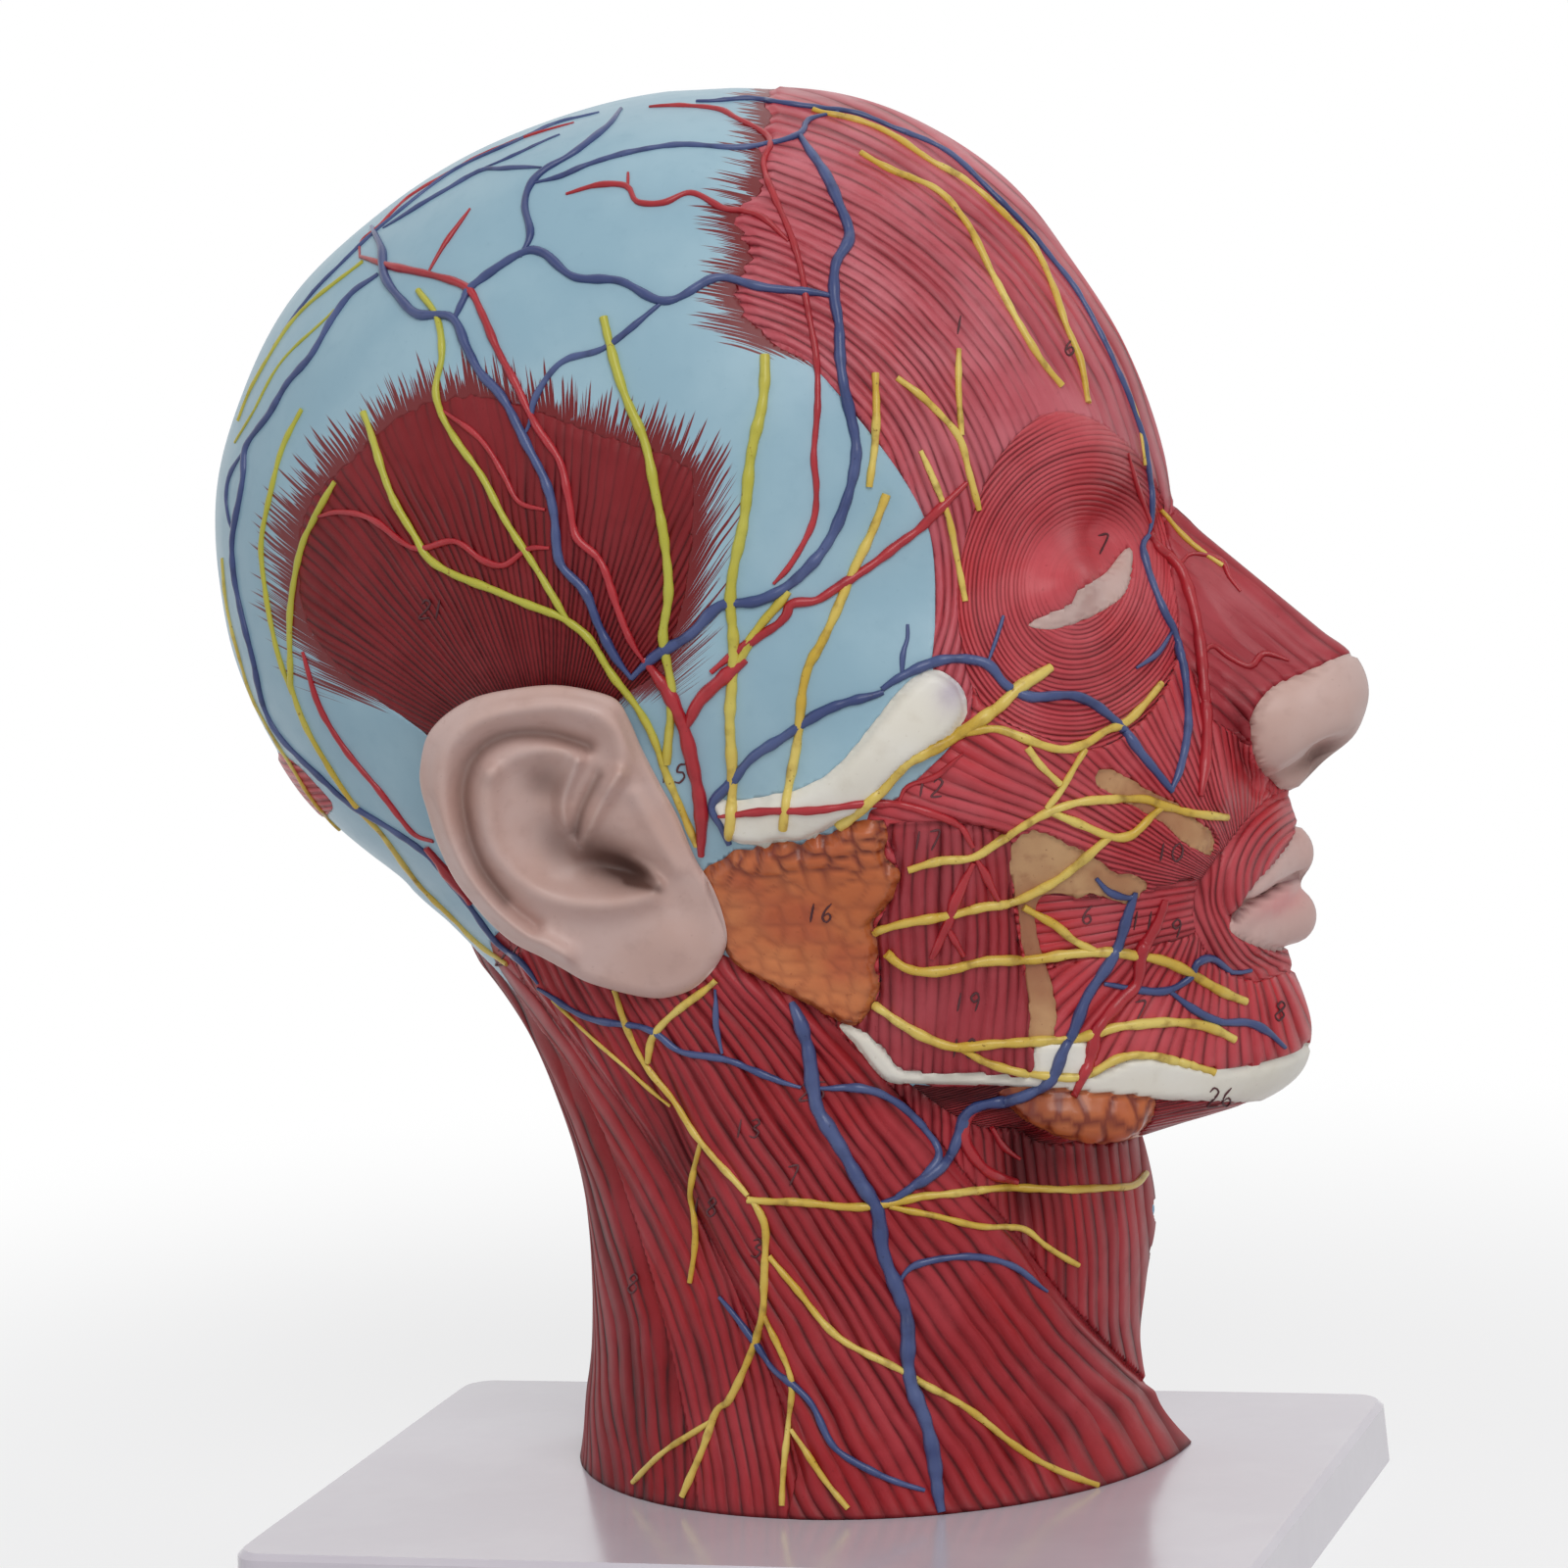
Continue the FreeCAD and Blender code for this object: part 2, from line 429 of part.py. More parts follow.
def ring_shares(table, height):
    """Return a ring's shares at any height, along a smooth curve through the table's rows."""
    i = 0
    while i < len(table) - 2 and height > table[i + 1][0]:
        i += 1
    low, high = table[i], table[i + 1]
    width = high[0] - low[0]
    u = min(max((height - low[0]) / width, 0.0), 1.0)

    def slope(j, column):
        first, last = table[max(j - 1, 0)], table[min(j + 1, len(table) - 1)]
        return (last[column] - first[column]) / (last[0] - first[0]) * width

    return [(2 * u ** 3 - 3 * u ** 2 + 1) * low[c] + (u ** 3 - 2 * u ** 2 + u) * slope(i, c)
            + (3 * u ** 2 - 2 * u ** 3) * high[c] + (u ** 3 - u ** 2) * slope(i + 1, c) for c in range(1, 7)]


def lift_share(table, height):
    """Return how much of an offset acts upward: all of it at the crown, downward under the jaw."""
    if table is NECK_SHARES:
        return 0.0
    if height > 0.66:
        return min((height - 0.66) / 0.32, 1.0)
    return -min(max((0.36 - height) / 0.11, 0.0), 1.0)


def form_ring(table, height, offset, count):
    """Return one level ring of the head or neck, moved outward by an offset."""
    rear, front, half, widest, full_front, full_rear = ring_shares(table, height)
    rear_x, front_x, widest_x = along(rear) - offset, along(front) + offset, along(widest)
    half_y = half * size("half_breadth") + offset
    z = up(height) + offset * lift_share(table, height)
    points = []
    for k in range(count + 1):
        angle = math.pi * k / count
        cosine, sine = math.cos(angle), math.sin(angle)
        power = full_front if cosine >= 0 else full_rear
        reach = (abs(cosine) ** power + abs(sine) ** power) ** (-1.0 / power)
        span = front_x - widest_x if cosine >= 0 else widest_x - rear_x
        depth = half_y * sine * reach if 0 < k < count else 0.0
        points.append(Vector(widest_x + span * cosine * reach, out(depth), z))
    return points


def form_solid(table, offset, heights, count):
    """Return the half head or half neck as a solid, grown or shrunk by an offset."""
    return half_solid([form_ring(table, height, offset, count) for height in heights])


def surface_depth(table, x, height, offset):
    """Return how far the surface lies behind the cut plane at a place."""
    rear, front, half, widest, full_front, full_rear = ring_shares(table, height)
    rear_x, front_x, widest_x = along(rear) - offset, along(front) + offset, along(widest)
    power = full_front if x >= widest_x else full_rear
    span = front_x - widest_x if x >= widest_x else widest_x - rear_x
    ratio = min(abs(x - widest_x) / span, 1.0)
    return (half * size("half_breadth") + offset) * (1.0 - ratio ** power) ** (1.0 / power)


def main_solids(shape):
    """Return a shape without the slivers that cutting leaves."""
    least = SLIVER_SHARE * max(solid.Volume for solid in shape.Solids)
    kept = [solid for solid in shape.Solids if solid.Volume > least]
    return kept[0] if len(kept) == 1 else Part.makeCompound(kept)


def outline_face(shares, depth=0.0):
    """Return a flat face of an outline, parallel to the cut plane."""
    points = [Vector(along(x), out(depth), up(z)) for x, z in shares]
    return Part.Face(Part.makePolygon(points + points[:1]))


def outward_block(face):
    """Return a face of the cut plane, extruded through the outer side."""
    return face.extrude(Vector(0, -2 * size("half_breadth"), 0))


def separate_faces(regions):
    """Return the flat face of each region less the faces that come before it."""
    taken = None
    faces = []
    for name, rise, shares in regions:
        face = outline_face(shares)
        own = face.cut(taken) if taken else face
        faces.append((name, rise, own))
        taken = taken.fuse(face) if taken else face
    return faces, taken


def build_board():
    """Build the moulded board: a drafted tray with ribs, and bosses that take the screws."""
    body = doc.addObject("PartDesign::Body", "base_board")
    body.Label = "base_board"

    def new_sketch(name, lift=""):
        sketch = body.newObject("Sketcher::SketchObject", name)
        plane = [f for f in body.Origin.OriginFeatures if f.Role == "XY_Plane"][0]
        sketch.AttachmentSupport = [(plane, "")]
        sketch.MapMode = "FlatFace"
        if lift:
            sketch.setExpression("AttachmentOffset.Base.z", lift)
        return sketch

    def add_rectangle(sketch, length, depth, center_y=""):
        first = sketch.GeometryCount
        corners = (Vector(-1, -1, 0), Vector(1, -1, 0), Vector(1, 1, 0), Vector(-1, 1, 0))
        for k in range(4):
            sketch.addGeometry(Part.LineSegment(corners[k], corners[(k + 1) % 4]), False)
        for k in range(4):
            sketch.addConstraint(Sketcher.Constraint("Coincident", first + k, 2, first + (k + 1) % 4, 1))
        for k in (0, 2):
            sketch.addConstraint(Sketcher.Constraint("Horizontal", first + k))
            sketch.addConstraint(Sketcher.Constraint("Vertical", first + k + 1))
        for value, kind, edge in ((length, "DistanceX", 0), (depth, "DistanceY", 1)):
            number = sketch.addConstraint(Sketcher.Constraint(kind, first + edge, 1, first + edge, 2, 10.0))
            sketch.setExpression("Constraints[%d]" % number, value)
        if center_y:
            number = sketch.addConstraint(Sketcher.Constraint("DistanceY", -1, 1, first, 1, 10.0))
            sketch.setExpression("Constraints[%d]" % number, center_y)
            number = sketch.addConstraint(Sketcher.Constraint("DistanceX", first, 1, -1, 1, 10.0))
            sketch.setExpression("Constraints[%d]" % number, "(%s) / 2" % length)
        else:
            sketch.addConstraint(Sketcher.Constraint("Symmetric", first, 1, first + 1, 2, -1, 1))

    def add_feature(kind, name, sketch, length, reverse=False):
        feature = body.newObject(kind, name)
        feature.Profile = sketch
        feature.setExpression("Length", length)
        feature.Reversed = reverse
        doc.recompute()
        return feature

    slab_sketch = new_sketch("slab_outline")
    add_rectangle(slab_sketch, "Sizes.board_length", "Sizes.board_depth")
    slab = add_feature("PartDesign::Pad", "slab", slab_sketch, "Sizes.board_height")
    slab.setExpression("TaperAngle", "-Sizes.board_draft")
    doc.recompute()
    upright = ["Edge%d" % n for n, edge in enumerate(slab.Shape.Edges, 1)
               if abs(edge.Vertexes[0].Z - edge.Vertexes[-1].Z) > size("board_edge")]
    corners = body.newObject("PartDesign::Fillet", "corners")
    corners.Base = (slab, upright)
    corners.setExpression("Radius", "Sizes.board_corner")
    doc.recompute()
    top = ["Edge%d" % n for n, edge in enumerate(corners.Shape.Edges, 1)
           if edge.BoundBox.ZMin > size("board_height") - 1e-6]
    bevel = body.newObject("PartDesign::Chamfer", "top_edge")
    bevel.Base = (corners, top)
    bevel.setExpression("Size", "Sizes.board_edge")
    doc.recompute()
    hollow_sketch = new_sketch("hollow_outline")
    inner_length = "Sizes.board_length - 2 * Sizes.board_wall - 2 * Sizes.board_edge"
    inner_depth = "Sizes.board_depth - 2 * Sizes.board_wall - 2 * Sizes.board_edge"
    add_rectangle(hollow_sketch, inner_length, inner_depth)
    add_feature("PartDesign::Pocket", "hollow", hollow_sketch, "Sizes.board_height - Sizes.board_skin", True)
    rib_height = "Sizes.board_height - Sizes.board_skin - Sizes.rib_lift"
    for number, side in enumerate((1, -1)):
        rib_sketch = new_sketch("long_rib_outline_%d" % number, "Sizes.rib_lift")
        place = "%f * Sizes.board_depth" % (side * RIB_PLACE_SHARE)
        add_rectangle(rib_sketch, inner_length, "Sizes.rib_width", place)
        add_feature("PartDesign::Pad", "long_rib_%d" % number, rib_sketch, rib_height)
    boss_sketch = new_sketch("boss_outlines", "Sizes.boss_lift")
    hole_sketch = new_sketch("hole_outlines", "Sizes.boss_lift")
    hole_radius = "Sizes.screw_radius + Sizes.screw_clearance"
    middle_share, half_share = foot_shares()
    for sketch, radius in ((boss_sketch, "Sizes.boss_radius"), (hole_sketch, hole_radius)):
        for number, (share_x, share_y) in enumerate(SCREW_PLACE_SHARES):
            place = screw_place(share_x, share_y)
            center = Vector(place.x - size("board_offset"), place.y, 0)
            sketch.addGeometry(Part.Circle(center, Vector(0, 0, 1), 2), False)
            row = sketch.addConstraint(Sketcher.Constraint("Radius", number, 2.0))
            sketch.setExpression("Constraints[%d]" % row, radius)
            row = sketch.addConstraint(Sketcher.Constraint("DistanceX", -1, 1, number, 3, center.x))
            sketch.setExpression("Constraints[%d]" % row,
                                 "%f * Sizes.head_length - Sizes.board_offset" % (middle_share + share_x))
            row = sketch.addConstraint(Sketcher.Constraint("DistanceY", -1, 1, number, 3, center.y))
            sketch.setExpression("Constraints[%d]" % row,
                                 "Sizes.cut_plane - %f * Sizes.half_breadth + %f * Sizes.head_length"
                                 % (half_share, share_y))
    add_feature("PartDesign::Pad", "bosses", boss_sketch,
                "Sizes.board_height - Sizes.board_skin - Sizes.boss_lift")
    add_feature("PartDesign::Pocket", "screw_holes", hole_sketch, "2 * Sizes.board_height", True)
    body.setExpression("Placement.Base.x", "Sizes.board_offset")
    doc.recompute()
    return body


def foot_shares():
    """Return the middle of the neck's foot: along the head, and behind the cut plane."""
    rear, front, half = NECK_SHARES[0][1:4]
    return (rear + front) / 2, half / 2


def screw_place(share_x, share_y):
    """Return where a screw stands: about the middle of the neck's foot."""
    middle_share, half_share = foot_shares()
    depth = half_share * size("half_breadth")
    return Vector(along(middle_share + share_x), out(depth) + along(share_y), 0)


def screw_places():
    """Return the centres of all screws."""
    return [screw_place(x, y) for x, y in SCREW_PLACE_SHARES]


def build_screws():
    """Build the slotted screws and their washers, each kind as one group."""
    screws, washers = [], []
    seat = size("boss_lift")
    clearance = size("screw_clearance")
    for place in screw_places():
        foot = seat - size("washer_height")
        washer = Part.makeCylinder(size("washer_radius"), size("washer_height"), place + Vector(0, 0, foot))
        bore = Part.makeCylinder(size("screw_radius") + clearance, size("washer_height"),
                                 place + Vector(0, 0, foot))
        washers.append(washer.cut(bore))
        head_base = place + Vector(0, 0, foot - size("screw_head_height"))
        head = Part.makeCylinder(size("screw_head_radius"), size("screw_head_height"), head_base)
        slot_corner = head_base - Vector(2 * size("screw_head_radius"), size("screw_slot_width") / 2, 0)
        slot = Part.makeBox(4 * size("screw_head_radius"), size("screw_slot_width"), size("screw_slot_depth"),
                            slot_corner)
        length = size("board_height") + size("screw_reach") - foot
        shank = Part.makeCylinder(size("screw_radius"), length, place + Vector(0, 0, foot))
        screws.append(head.cut(slot).fuse(shank).removeSplitter())
    add_part("mounting_screws", Part.makeCompound(screws))
    add_part("screw_washers", Part.makeCompound(washers))


def plug_share():
    """Return the height of the neck's plug as a share."""
    return size("plug_height") / size("crown_height")


def build_plug():
    """Build the plug that closes the neck's foot and holds the screws."""
    plug = form_solid(NECK_SHARES, -size("skin_depth"), (0.0, plug_share()), INNER_RING_COUNT)
    for place in screw_places():
        hole = Part.makeCylinder(size("screw_radius"), size("screw_reach"),
                                 place + Vector(0, 0, size("board_height")))
        plug = plug.cut(hole)
    add_part("neck_plug", plug)


def build_ear(outer):
    """Build the auricle: a dished shell with a thick rim that stands off behind."""
    center_x, center_z = along(EAR_CENTER_SHARES[0]), up(EAR_CENTER_SHARES[1])
    seat = surface_depth(HEAD_SHARES, center_x, EAR_CENTER_SHARES[1], 0.0)
    middle_lean, lean_slope = EAR_LEAN_SHARES
    rings = []
    for scale, standoff in EAR_RING_SHARES:
        ring = []
        for u, v in EAR_OUTLINE_SHARES:
            lean = middle_lean - lean_slope * u
            x = center_x + u * scale * size("ear_width") / 2
            z = center_z + v * scale * size("ear_length") / 2
            ring.append(Vector(x, out(seat + standoff * lean * size("ear_standoff")), z))
        rings.append(ring)
    add_part("ear", main_solids(ring_solid(rings).cut(outer)))


def build_nose(outer):
    """Build the nose in sagittal slices, and part its tip from the muscle on its bridge."""
    rings = []
    for share, points in NOSE_SHARES:
        depth = max(share * size("nose_breadth"), 0.0)
        rings.append([Vector(along(x), out(depth), up(z)) for x, z in points])
    nose = ring_solid(rings).cut(outer)
    block = outward_block(outline_face(NOSE_TIP_SHARES))
    add_part("nose_tip", main_solids(nose.common(block)))
    add_part("nasalis_muscle", main_solids(nose.cut(block)))


def build_lips(outer):
    """Build both lips in slices from the middle to the mouth's corner."""
    rings = []
    for breadth, taper in LIP_SLICE_SHARES:
        depth = breadth * size("lip_breadth")
        ring = []
        for stand, height in LIP_PROFILE_SHARES:
            rear, front, half, widest, full_front, full_rear = ring_shares(HEAD_SHARES, height)
            ratio = min(depth / (half * size("half_breadth")), 1.0)
            face_x = along(widest) + along(front - widest) * (1.0 - ratio ** full_front) ** (1.0 / full_front)
            spread = MOUTH_CORNER_SHARE + (1.0 - MOUTH_CORNER_SHARE) * taper
            z = up(MOUTH_HEIGHT_SHARE + (height - MOUTH_HEIGHT_SHARE) * spread)
            reach = stand * taper if stand > 0 else stand
            ring.append(Vector(face_x + size("muscle_rise") + reach * size("lip_depth"), out(depth), z))
        rings.append(ring)
    add_part("lips", main_solids(ring_solid(rings).cut(outer)))


def build_submandibular_gland(others):
    """Build the egg-shaped gland under the jaw."""
    place_x, place_y, place_z = GLAND_PLACE_SHARES
    middle = Vector(along(place_x), out(place_y * size("half_breadth")), up(place_z))
    rings = []
    for tilt in GLAND_TILTS:
        angle = math.radians(tilt)
        ring = []
        for k in range(GLAND_SIDES):
            turn = 2 * math.pi * k / GLAND_SIDES
            ring.append(middle + Vector(0.5 * size("gland_length") * math.cos(angle) * math.cos(turn),
                                        0.5 * size("gland_depth") * math.cos(angle) * math.sin(turn),
                                        0.5 * size("gland_drop") * math.sin(angle)))
        rings.append(ring)
    return main_solids(ring_solid(rings).cut(others))


def build_head_regions(core):
    """Build the outer pieces of the head, each cut from the half head by its own outline."""
    forms = {}
    for rise in ("muscle_rise", "gland_rise"):
        forms[rise] = form_solid(HEAD_SHARES, size(rise), [row[0] for row in HEAD_SHARES], RING_COUNT)
    scalp = form_solid(HEAD_SHARES, 0.0, [row[0] for row in HEAD_SHARES], RING_COUNT)
    faces, taken = separate_faces(HEAD_REGION_SHARES)
    shapes = {}
    for name, rise, face in faces:
        shapes[name] = main_solids(forms[rise].common(outward_block(face)).cut(core))
    whole = outline_face(WHOLE_HEAD_SHARES)
    shapes["scalp_aponeurosis"] = main_solids(scalp.common(outward_block(whole.cut(taken))).cut(core))
    return forms["gland_rise"], shapes


def build_neck_regions(head, core):
    """Build the outer pieces of the neck under the head."""
    heights = [row[0] for row in NECK_SHARES]
    regions = NECK_REGION_SHARES + (("infrahyoid_muscles", "deep_muscle_rise", STRAP_REGION_SHARES),)
    faces, taken = separate_faces(regions)
    inner = form_solid(NECK_SHARES, -size("skin_depth"), (0.0, plug_share()), INNER_RING_COUNT)
    cartilage_depth = CARTILAGE_DEPTH_SHARE * size("section_depth")
    cartilage = outline_face(THYROID_SHARES).extrude(Vector(0, -cartilage_depth, 0))
    shapes = {}
    for name, rise, face in faces:
        neck = form_solid(NECK_SHARES, size(rise), heights, RING_COUNT)
        block = outward_block(face)
        shapes[name] = neck.common(block).cut([head, core, inner])
    raised = form_solid(NECK_SHARES, size("neck_muscle_rise"), heights, RING_COUNT)
    broad_muscle = shapes["sternocleidomastoid_muscle"]
    shapes["infrahyoid_muscles"] = shapes["infrahyoid_muscles"].cut(cartilage)
    shapes["thyroid_cartilage"] = raised.common(cartilage).cut([core, broad_muscle])
    return {name: main_solids(shape) for name, shape in shapes.items()}


def vertebra_outline(top):
    """Return a neck bone's body in section, waisted in front."""
    spine = SPINE_SHARES
    low = top - spine["pitch"] * spine["bone"]
    middle = (top + low) / 2
    return ((spine["rear"], top), (spine["front"], top), (spine["front"] - spine["waist"], middle),
            (spine["front"], low), (spine["rear"], low), (spine["rear"] + spine["waist"], middle))


def build_section(slab, core):
    """Build the pieces of the cut face, and return what is left of the slab for bone and flesh."""
    depth = size("section_depth")
    relief = size("section_relief")
    taken = None

    def section_piece(shares, rise=relief):
        nonlocal taken
        face = outline_face(shares, -rise)
        own = face.cut(taken) if taken else face
        taken = taken.fuse(face) if taken else face
        inside = own.extrude(Vector(0, -(depth + rise), 0)).common(core)
        front = own.extrude(Vector(0, -rise, 0))
        return inside.fuse(front).removeSplitter()

    pieces = {}
    for name, shares in SECTION_SHARES:
        pieces[name] = section_piece(shares)
    bones, discs = [], []
    for k in range(VERTEBRA_COUNT):
        top = SPINE_SHARES["first"] - k * SPINE_SHARES["pitch"]
        bones.append(section_piece(vertebra_outline(top)))
        low = top - SPINE_SHARES["pitch"] * SPINE_SHARES["bone"]
        behind = SPINOUS_SHARES
        bones.append(section_piece(((behind["front"], top), (behind["rear"], top - behind["rise"]),
                                    (behind["rear"], top - behind["rise"] - behind["height"]),
                                    (behind["front"], top - behind["height"]))))
        next_top = top - SPINE_SHARES["pitch"]
        if k < VERTEBRA_COUNT - 1:
            discs.append(section_piece(((SPINE_SHARES["rear"], low), (SPINE_SHARES["front"], low),
                                       (SPINE_SHARES["front"], next_top),
                                       (SPINE_SHARES["rear"], next_top))))
    pieces["cervical_vertebrae"] = Part.makeCompound(bones)
    pieces["intervertebral_discs"] = Part.makeCompound(discs)
    recess = outline_face(dict(SECTION_SHARES)["nasal_cavity_wall"], -2 * relief)
    pieces["nasal_cavity_wall"] = pieces["nasal_cavity_wall"].cut(recess.extrude(Vector(0, -4 * relief, 0)))
    conchae = []
    for start, height, length in CONCHA_SHARES:
        thick = CONCHA_THICKNESS_SHARE
        shares = ((start, height), (start + 0.3 * length, height + thick / 2),
                  (start + length, height - thick / 4), (start + 0.9 * length, height - thick),
                  (start + 0.3 * length, height - thick / 2))
        conchae.append(outline_face(shares, -relief / 2).extrude(Vector(0, -2.5 * relief, 0)))
    pieces["nasal_conchae"] = Part.makeCompound(conchae)
    rest = slab.cut(taken.extrude(Vector(0, -(depth + 2 * relief), 0)))
    return pieces, rest


def tube(points, radius):
    """Return a faceted tube along a route on the surface."""
    rings = []
    for k, point in enumerate(points):
        before, after = points[max(k - 1, 0)], points[min(k + 1, len(points) - 1)]
        run = (after - before).normalize()
        side = run.cross(Vector(0, -1, 0)).normalize()
        rise = side.cross(run).normalize()
        rings.append([point + side * (radius * math.cos(2 * math.pi * n / TUBE_SIDES))
                      + rise * (radius * math.sin(2 * math.pi * n / TUBE_SIDES)) for n in range(TUBE_SIDES)])
    return ring_solid(rings)


def build_trees(table, trees, rise, outer):
    """Build each group of vessels or nerves as tubes bedded on the surface, later groups under earlier."""
    earlier = []
    shapes = {}
    for name, radius_name, branches in trees:
        radius = size(radius_name)
        group = None
        for branch in branches:
            points = []
            for x, z in fill_route(branch):
                stand = size(rise) + size("vessel_seat")
                points.append(Vector(along(x), out(surface_depth(table, along(x), z, stand)), up(z)))
            piece = tube(points, radius)
            group = group.fuse(piece) if group else piece
        group = main_solids(group.cut(outer + earlier))
        earlier.append(group)
        shapes[name] = group
    return shapes


def fill_route(branch):
    """Return a branch's places with one more halfway along each long run."""
    places = [branch[0]]
    for low, high in zip(branch, branch[1:]):
        if math.hypot(high[0] - low[0], high[1] - low[1]) > LONG_RUN_SHARE:
            places.append(((low[0] + high[0]) / 2, (low[1] + high[1]) / 2))
        places.append(high)
    return places


def build_all():
    """Build every piece of the half head."""
    build_board()
    build_screws()
    build_plug()
    inset = -size("skin_depth")
    head_core = form_solid(HEAD_SHARES, inset, INNER_HEAD_SHARES, INNER_RING_COUNT)
    neck_core = form_solid(NECK_SHARES, inset, (plug_share(),) + INNER_NECK_SHARES, INNER_RING_COUNT)
    core = head_core.fuse(neck_core).removeSplitter()
    slab_block = outline_face(WHOLE_CUT_SHARES).extrude(Vector(0, -size("section_depth"), 0))
    add_part("inner_cast", core.cut(slab_block))
    pieces, rest = build_section(core.common(slab_block), core)
    bone_block = outline_face(CRANIUM_SHARES).extrude(Vector(0, -size("section_depth"), 0))
    pieces["skull_section"] = main_solids(rest.common(bone_block))
    pieces["throat_section"] = main_solids(rest.cut(bone_block))
    raised_head, head = build_head_regions(core)
    neck = build_neck_regions(raised_head, core)
    for group in (pieces, head, neck):
        for name, shape in group.items():
            add_part(name, shape)
    outer_head = list(head.values())
    outer_neck = list(neck.values())
    add_part("submandibular_gland", build_submandibular_gland(outer_head + outer_neck))
    build_ear(outer_head + [core])
    build_nose(outer_head + [core])
    build_lips(outer_head + [core])
    for name, shape in build_trees(HEAD_SHARES, TREE_SHARES, "muscle_rise", outer_head).items():
        add_part(name, shape)
    for name, shape in build_trees(NECK_SHARES, NECK_TREE_SHARES, "neck_muscle_rise",
                                   outer_head + outer_neck).items():
        add_part(name, shape)


def check_and_write():
    """Check every object of the document and write each piece to its own file."""
    doc.recompute()
    pieces = [o for o in doc.Objects if o.TypeId in ("Part::Feature", "PartDesign::Body")]
    for thing in doc.Objects:
        if "Invalid" in thing.State or "Error" in thing.State:
            raise ValueError("%s failed: %s" % (thing.Label, thing.State))
    for piece in pieces:
        if piece.Shape.isNull() or not piece.Shape.isValid() or not piece.Shape.Solids:
            raise ValueError("%s has no valid solid" % piece.Label)
    os.makedirs("parts", exist_ok=True)
    for piece in pieces:
        piece.Shape.exportStep("parts/%s.step" % piece.Label)
        print("%s: %d solid(s), %.0f mm3" % (piece.Label, len(piece.Shape.Solids), piece.Shape.Volume))


build_all()
check_and_write()
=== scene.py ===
"""Finished look of the anatomical half head: muscles, glands, bone, vessels, nerves, ear and board.

The outer skin is one sculpted surface that is parted into the model's pieces by outlines drawn in the
photograph's plane. Vessels, nerves and key numbers are laid on that surface along rays of the same camera.
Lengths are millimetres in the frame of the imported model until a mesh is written, which is in metres.
"""

import logging
import math
from dataclasses import dataclass
from enum import Enum
from typing import Callable, Dict, List, Optional, Sequence, Tuple

import bpy
import numpy as np
from mathutils import Matrix, Vector
from mathutils.bvhtree import BVHTree


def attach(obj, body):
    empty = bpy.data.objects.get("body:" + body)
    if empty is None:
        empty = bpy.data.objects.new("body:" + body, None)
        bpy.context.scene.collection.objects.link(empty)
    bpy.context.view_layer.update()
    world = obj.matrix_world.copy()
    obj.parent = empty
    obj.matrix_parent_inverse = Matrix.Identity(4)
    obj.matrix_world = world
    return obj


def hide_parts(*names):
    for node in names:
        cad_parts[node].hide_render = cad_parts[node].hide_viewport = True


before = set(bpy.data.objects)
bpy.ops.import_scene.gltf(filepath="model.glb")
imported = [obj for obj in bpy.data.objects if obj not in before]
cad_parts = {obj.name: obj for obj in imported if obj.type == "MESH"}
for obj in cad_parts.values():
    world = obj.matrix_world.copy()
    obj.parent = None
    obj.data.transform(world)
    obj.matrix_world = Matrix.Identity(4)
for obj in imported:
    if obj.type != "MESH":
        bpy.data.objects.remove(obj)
LOG = logging.getLogger("half_head")
logging.basicConfig(level=logging.INFO, format="%(name)s: %(message)s")

Pixel = Tuple[float, float]
Outline = Tuple[Pixel, ...]
Tone = Tuple[float, float, float, float]
MM = 0.001

# Head and neck
CUT_PLANE = 28.0
BOARD_TOP = 13.0
HEAD_LENGTH = 200.0
CROWN_HEIGHT = 280.0
HALF_BREADTH = 77.0
SKIN_DEPTH = 7.8
SHELL_DEPTH = 2.6
# The frame's own box, which every piece stays inside.
BOX_REAR = -118.9
BOX_FRONT = 118.3
BOX_TOP = 292.8
RING_COUNT = 408
SPOKE_COUNT = 340
FRONT_CROWDING = 0.35
# Where the skin turns away more than this from the camera, the outlines follow the skin and not the picture.
GRAZING_SLOPE = 0.35
GRAZING_BLEND = 0.5
# How wide the joint between head and neck is, and how the outermost skin is sought along a spoke.
JOINT_WIDTH = 5.0
SPOKE_REACH = 130.0
SPOKE_STEP = 2.0
SPOKE_HALVINGS = 9

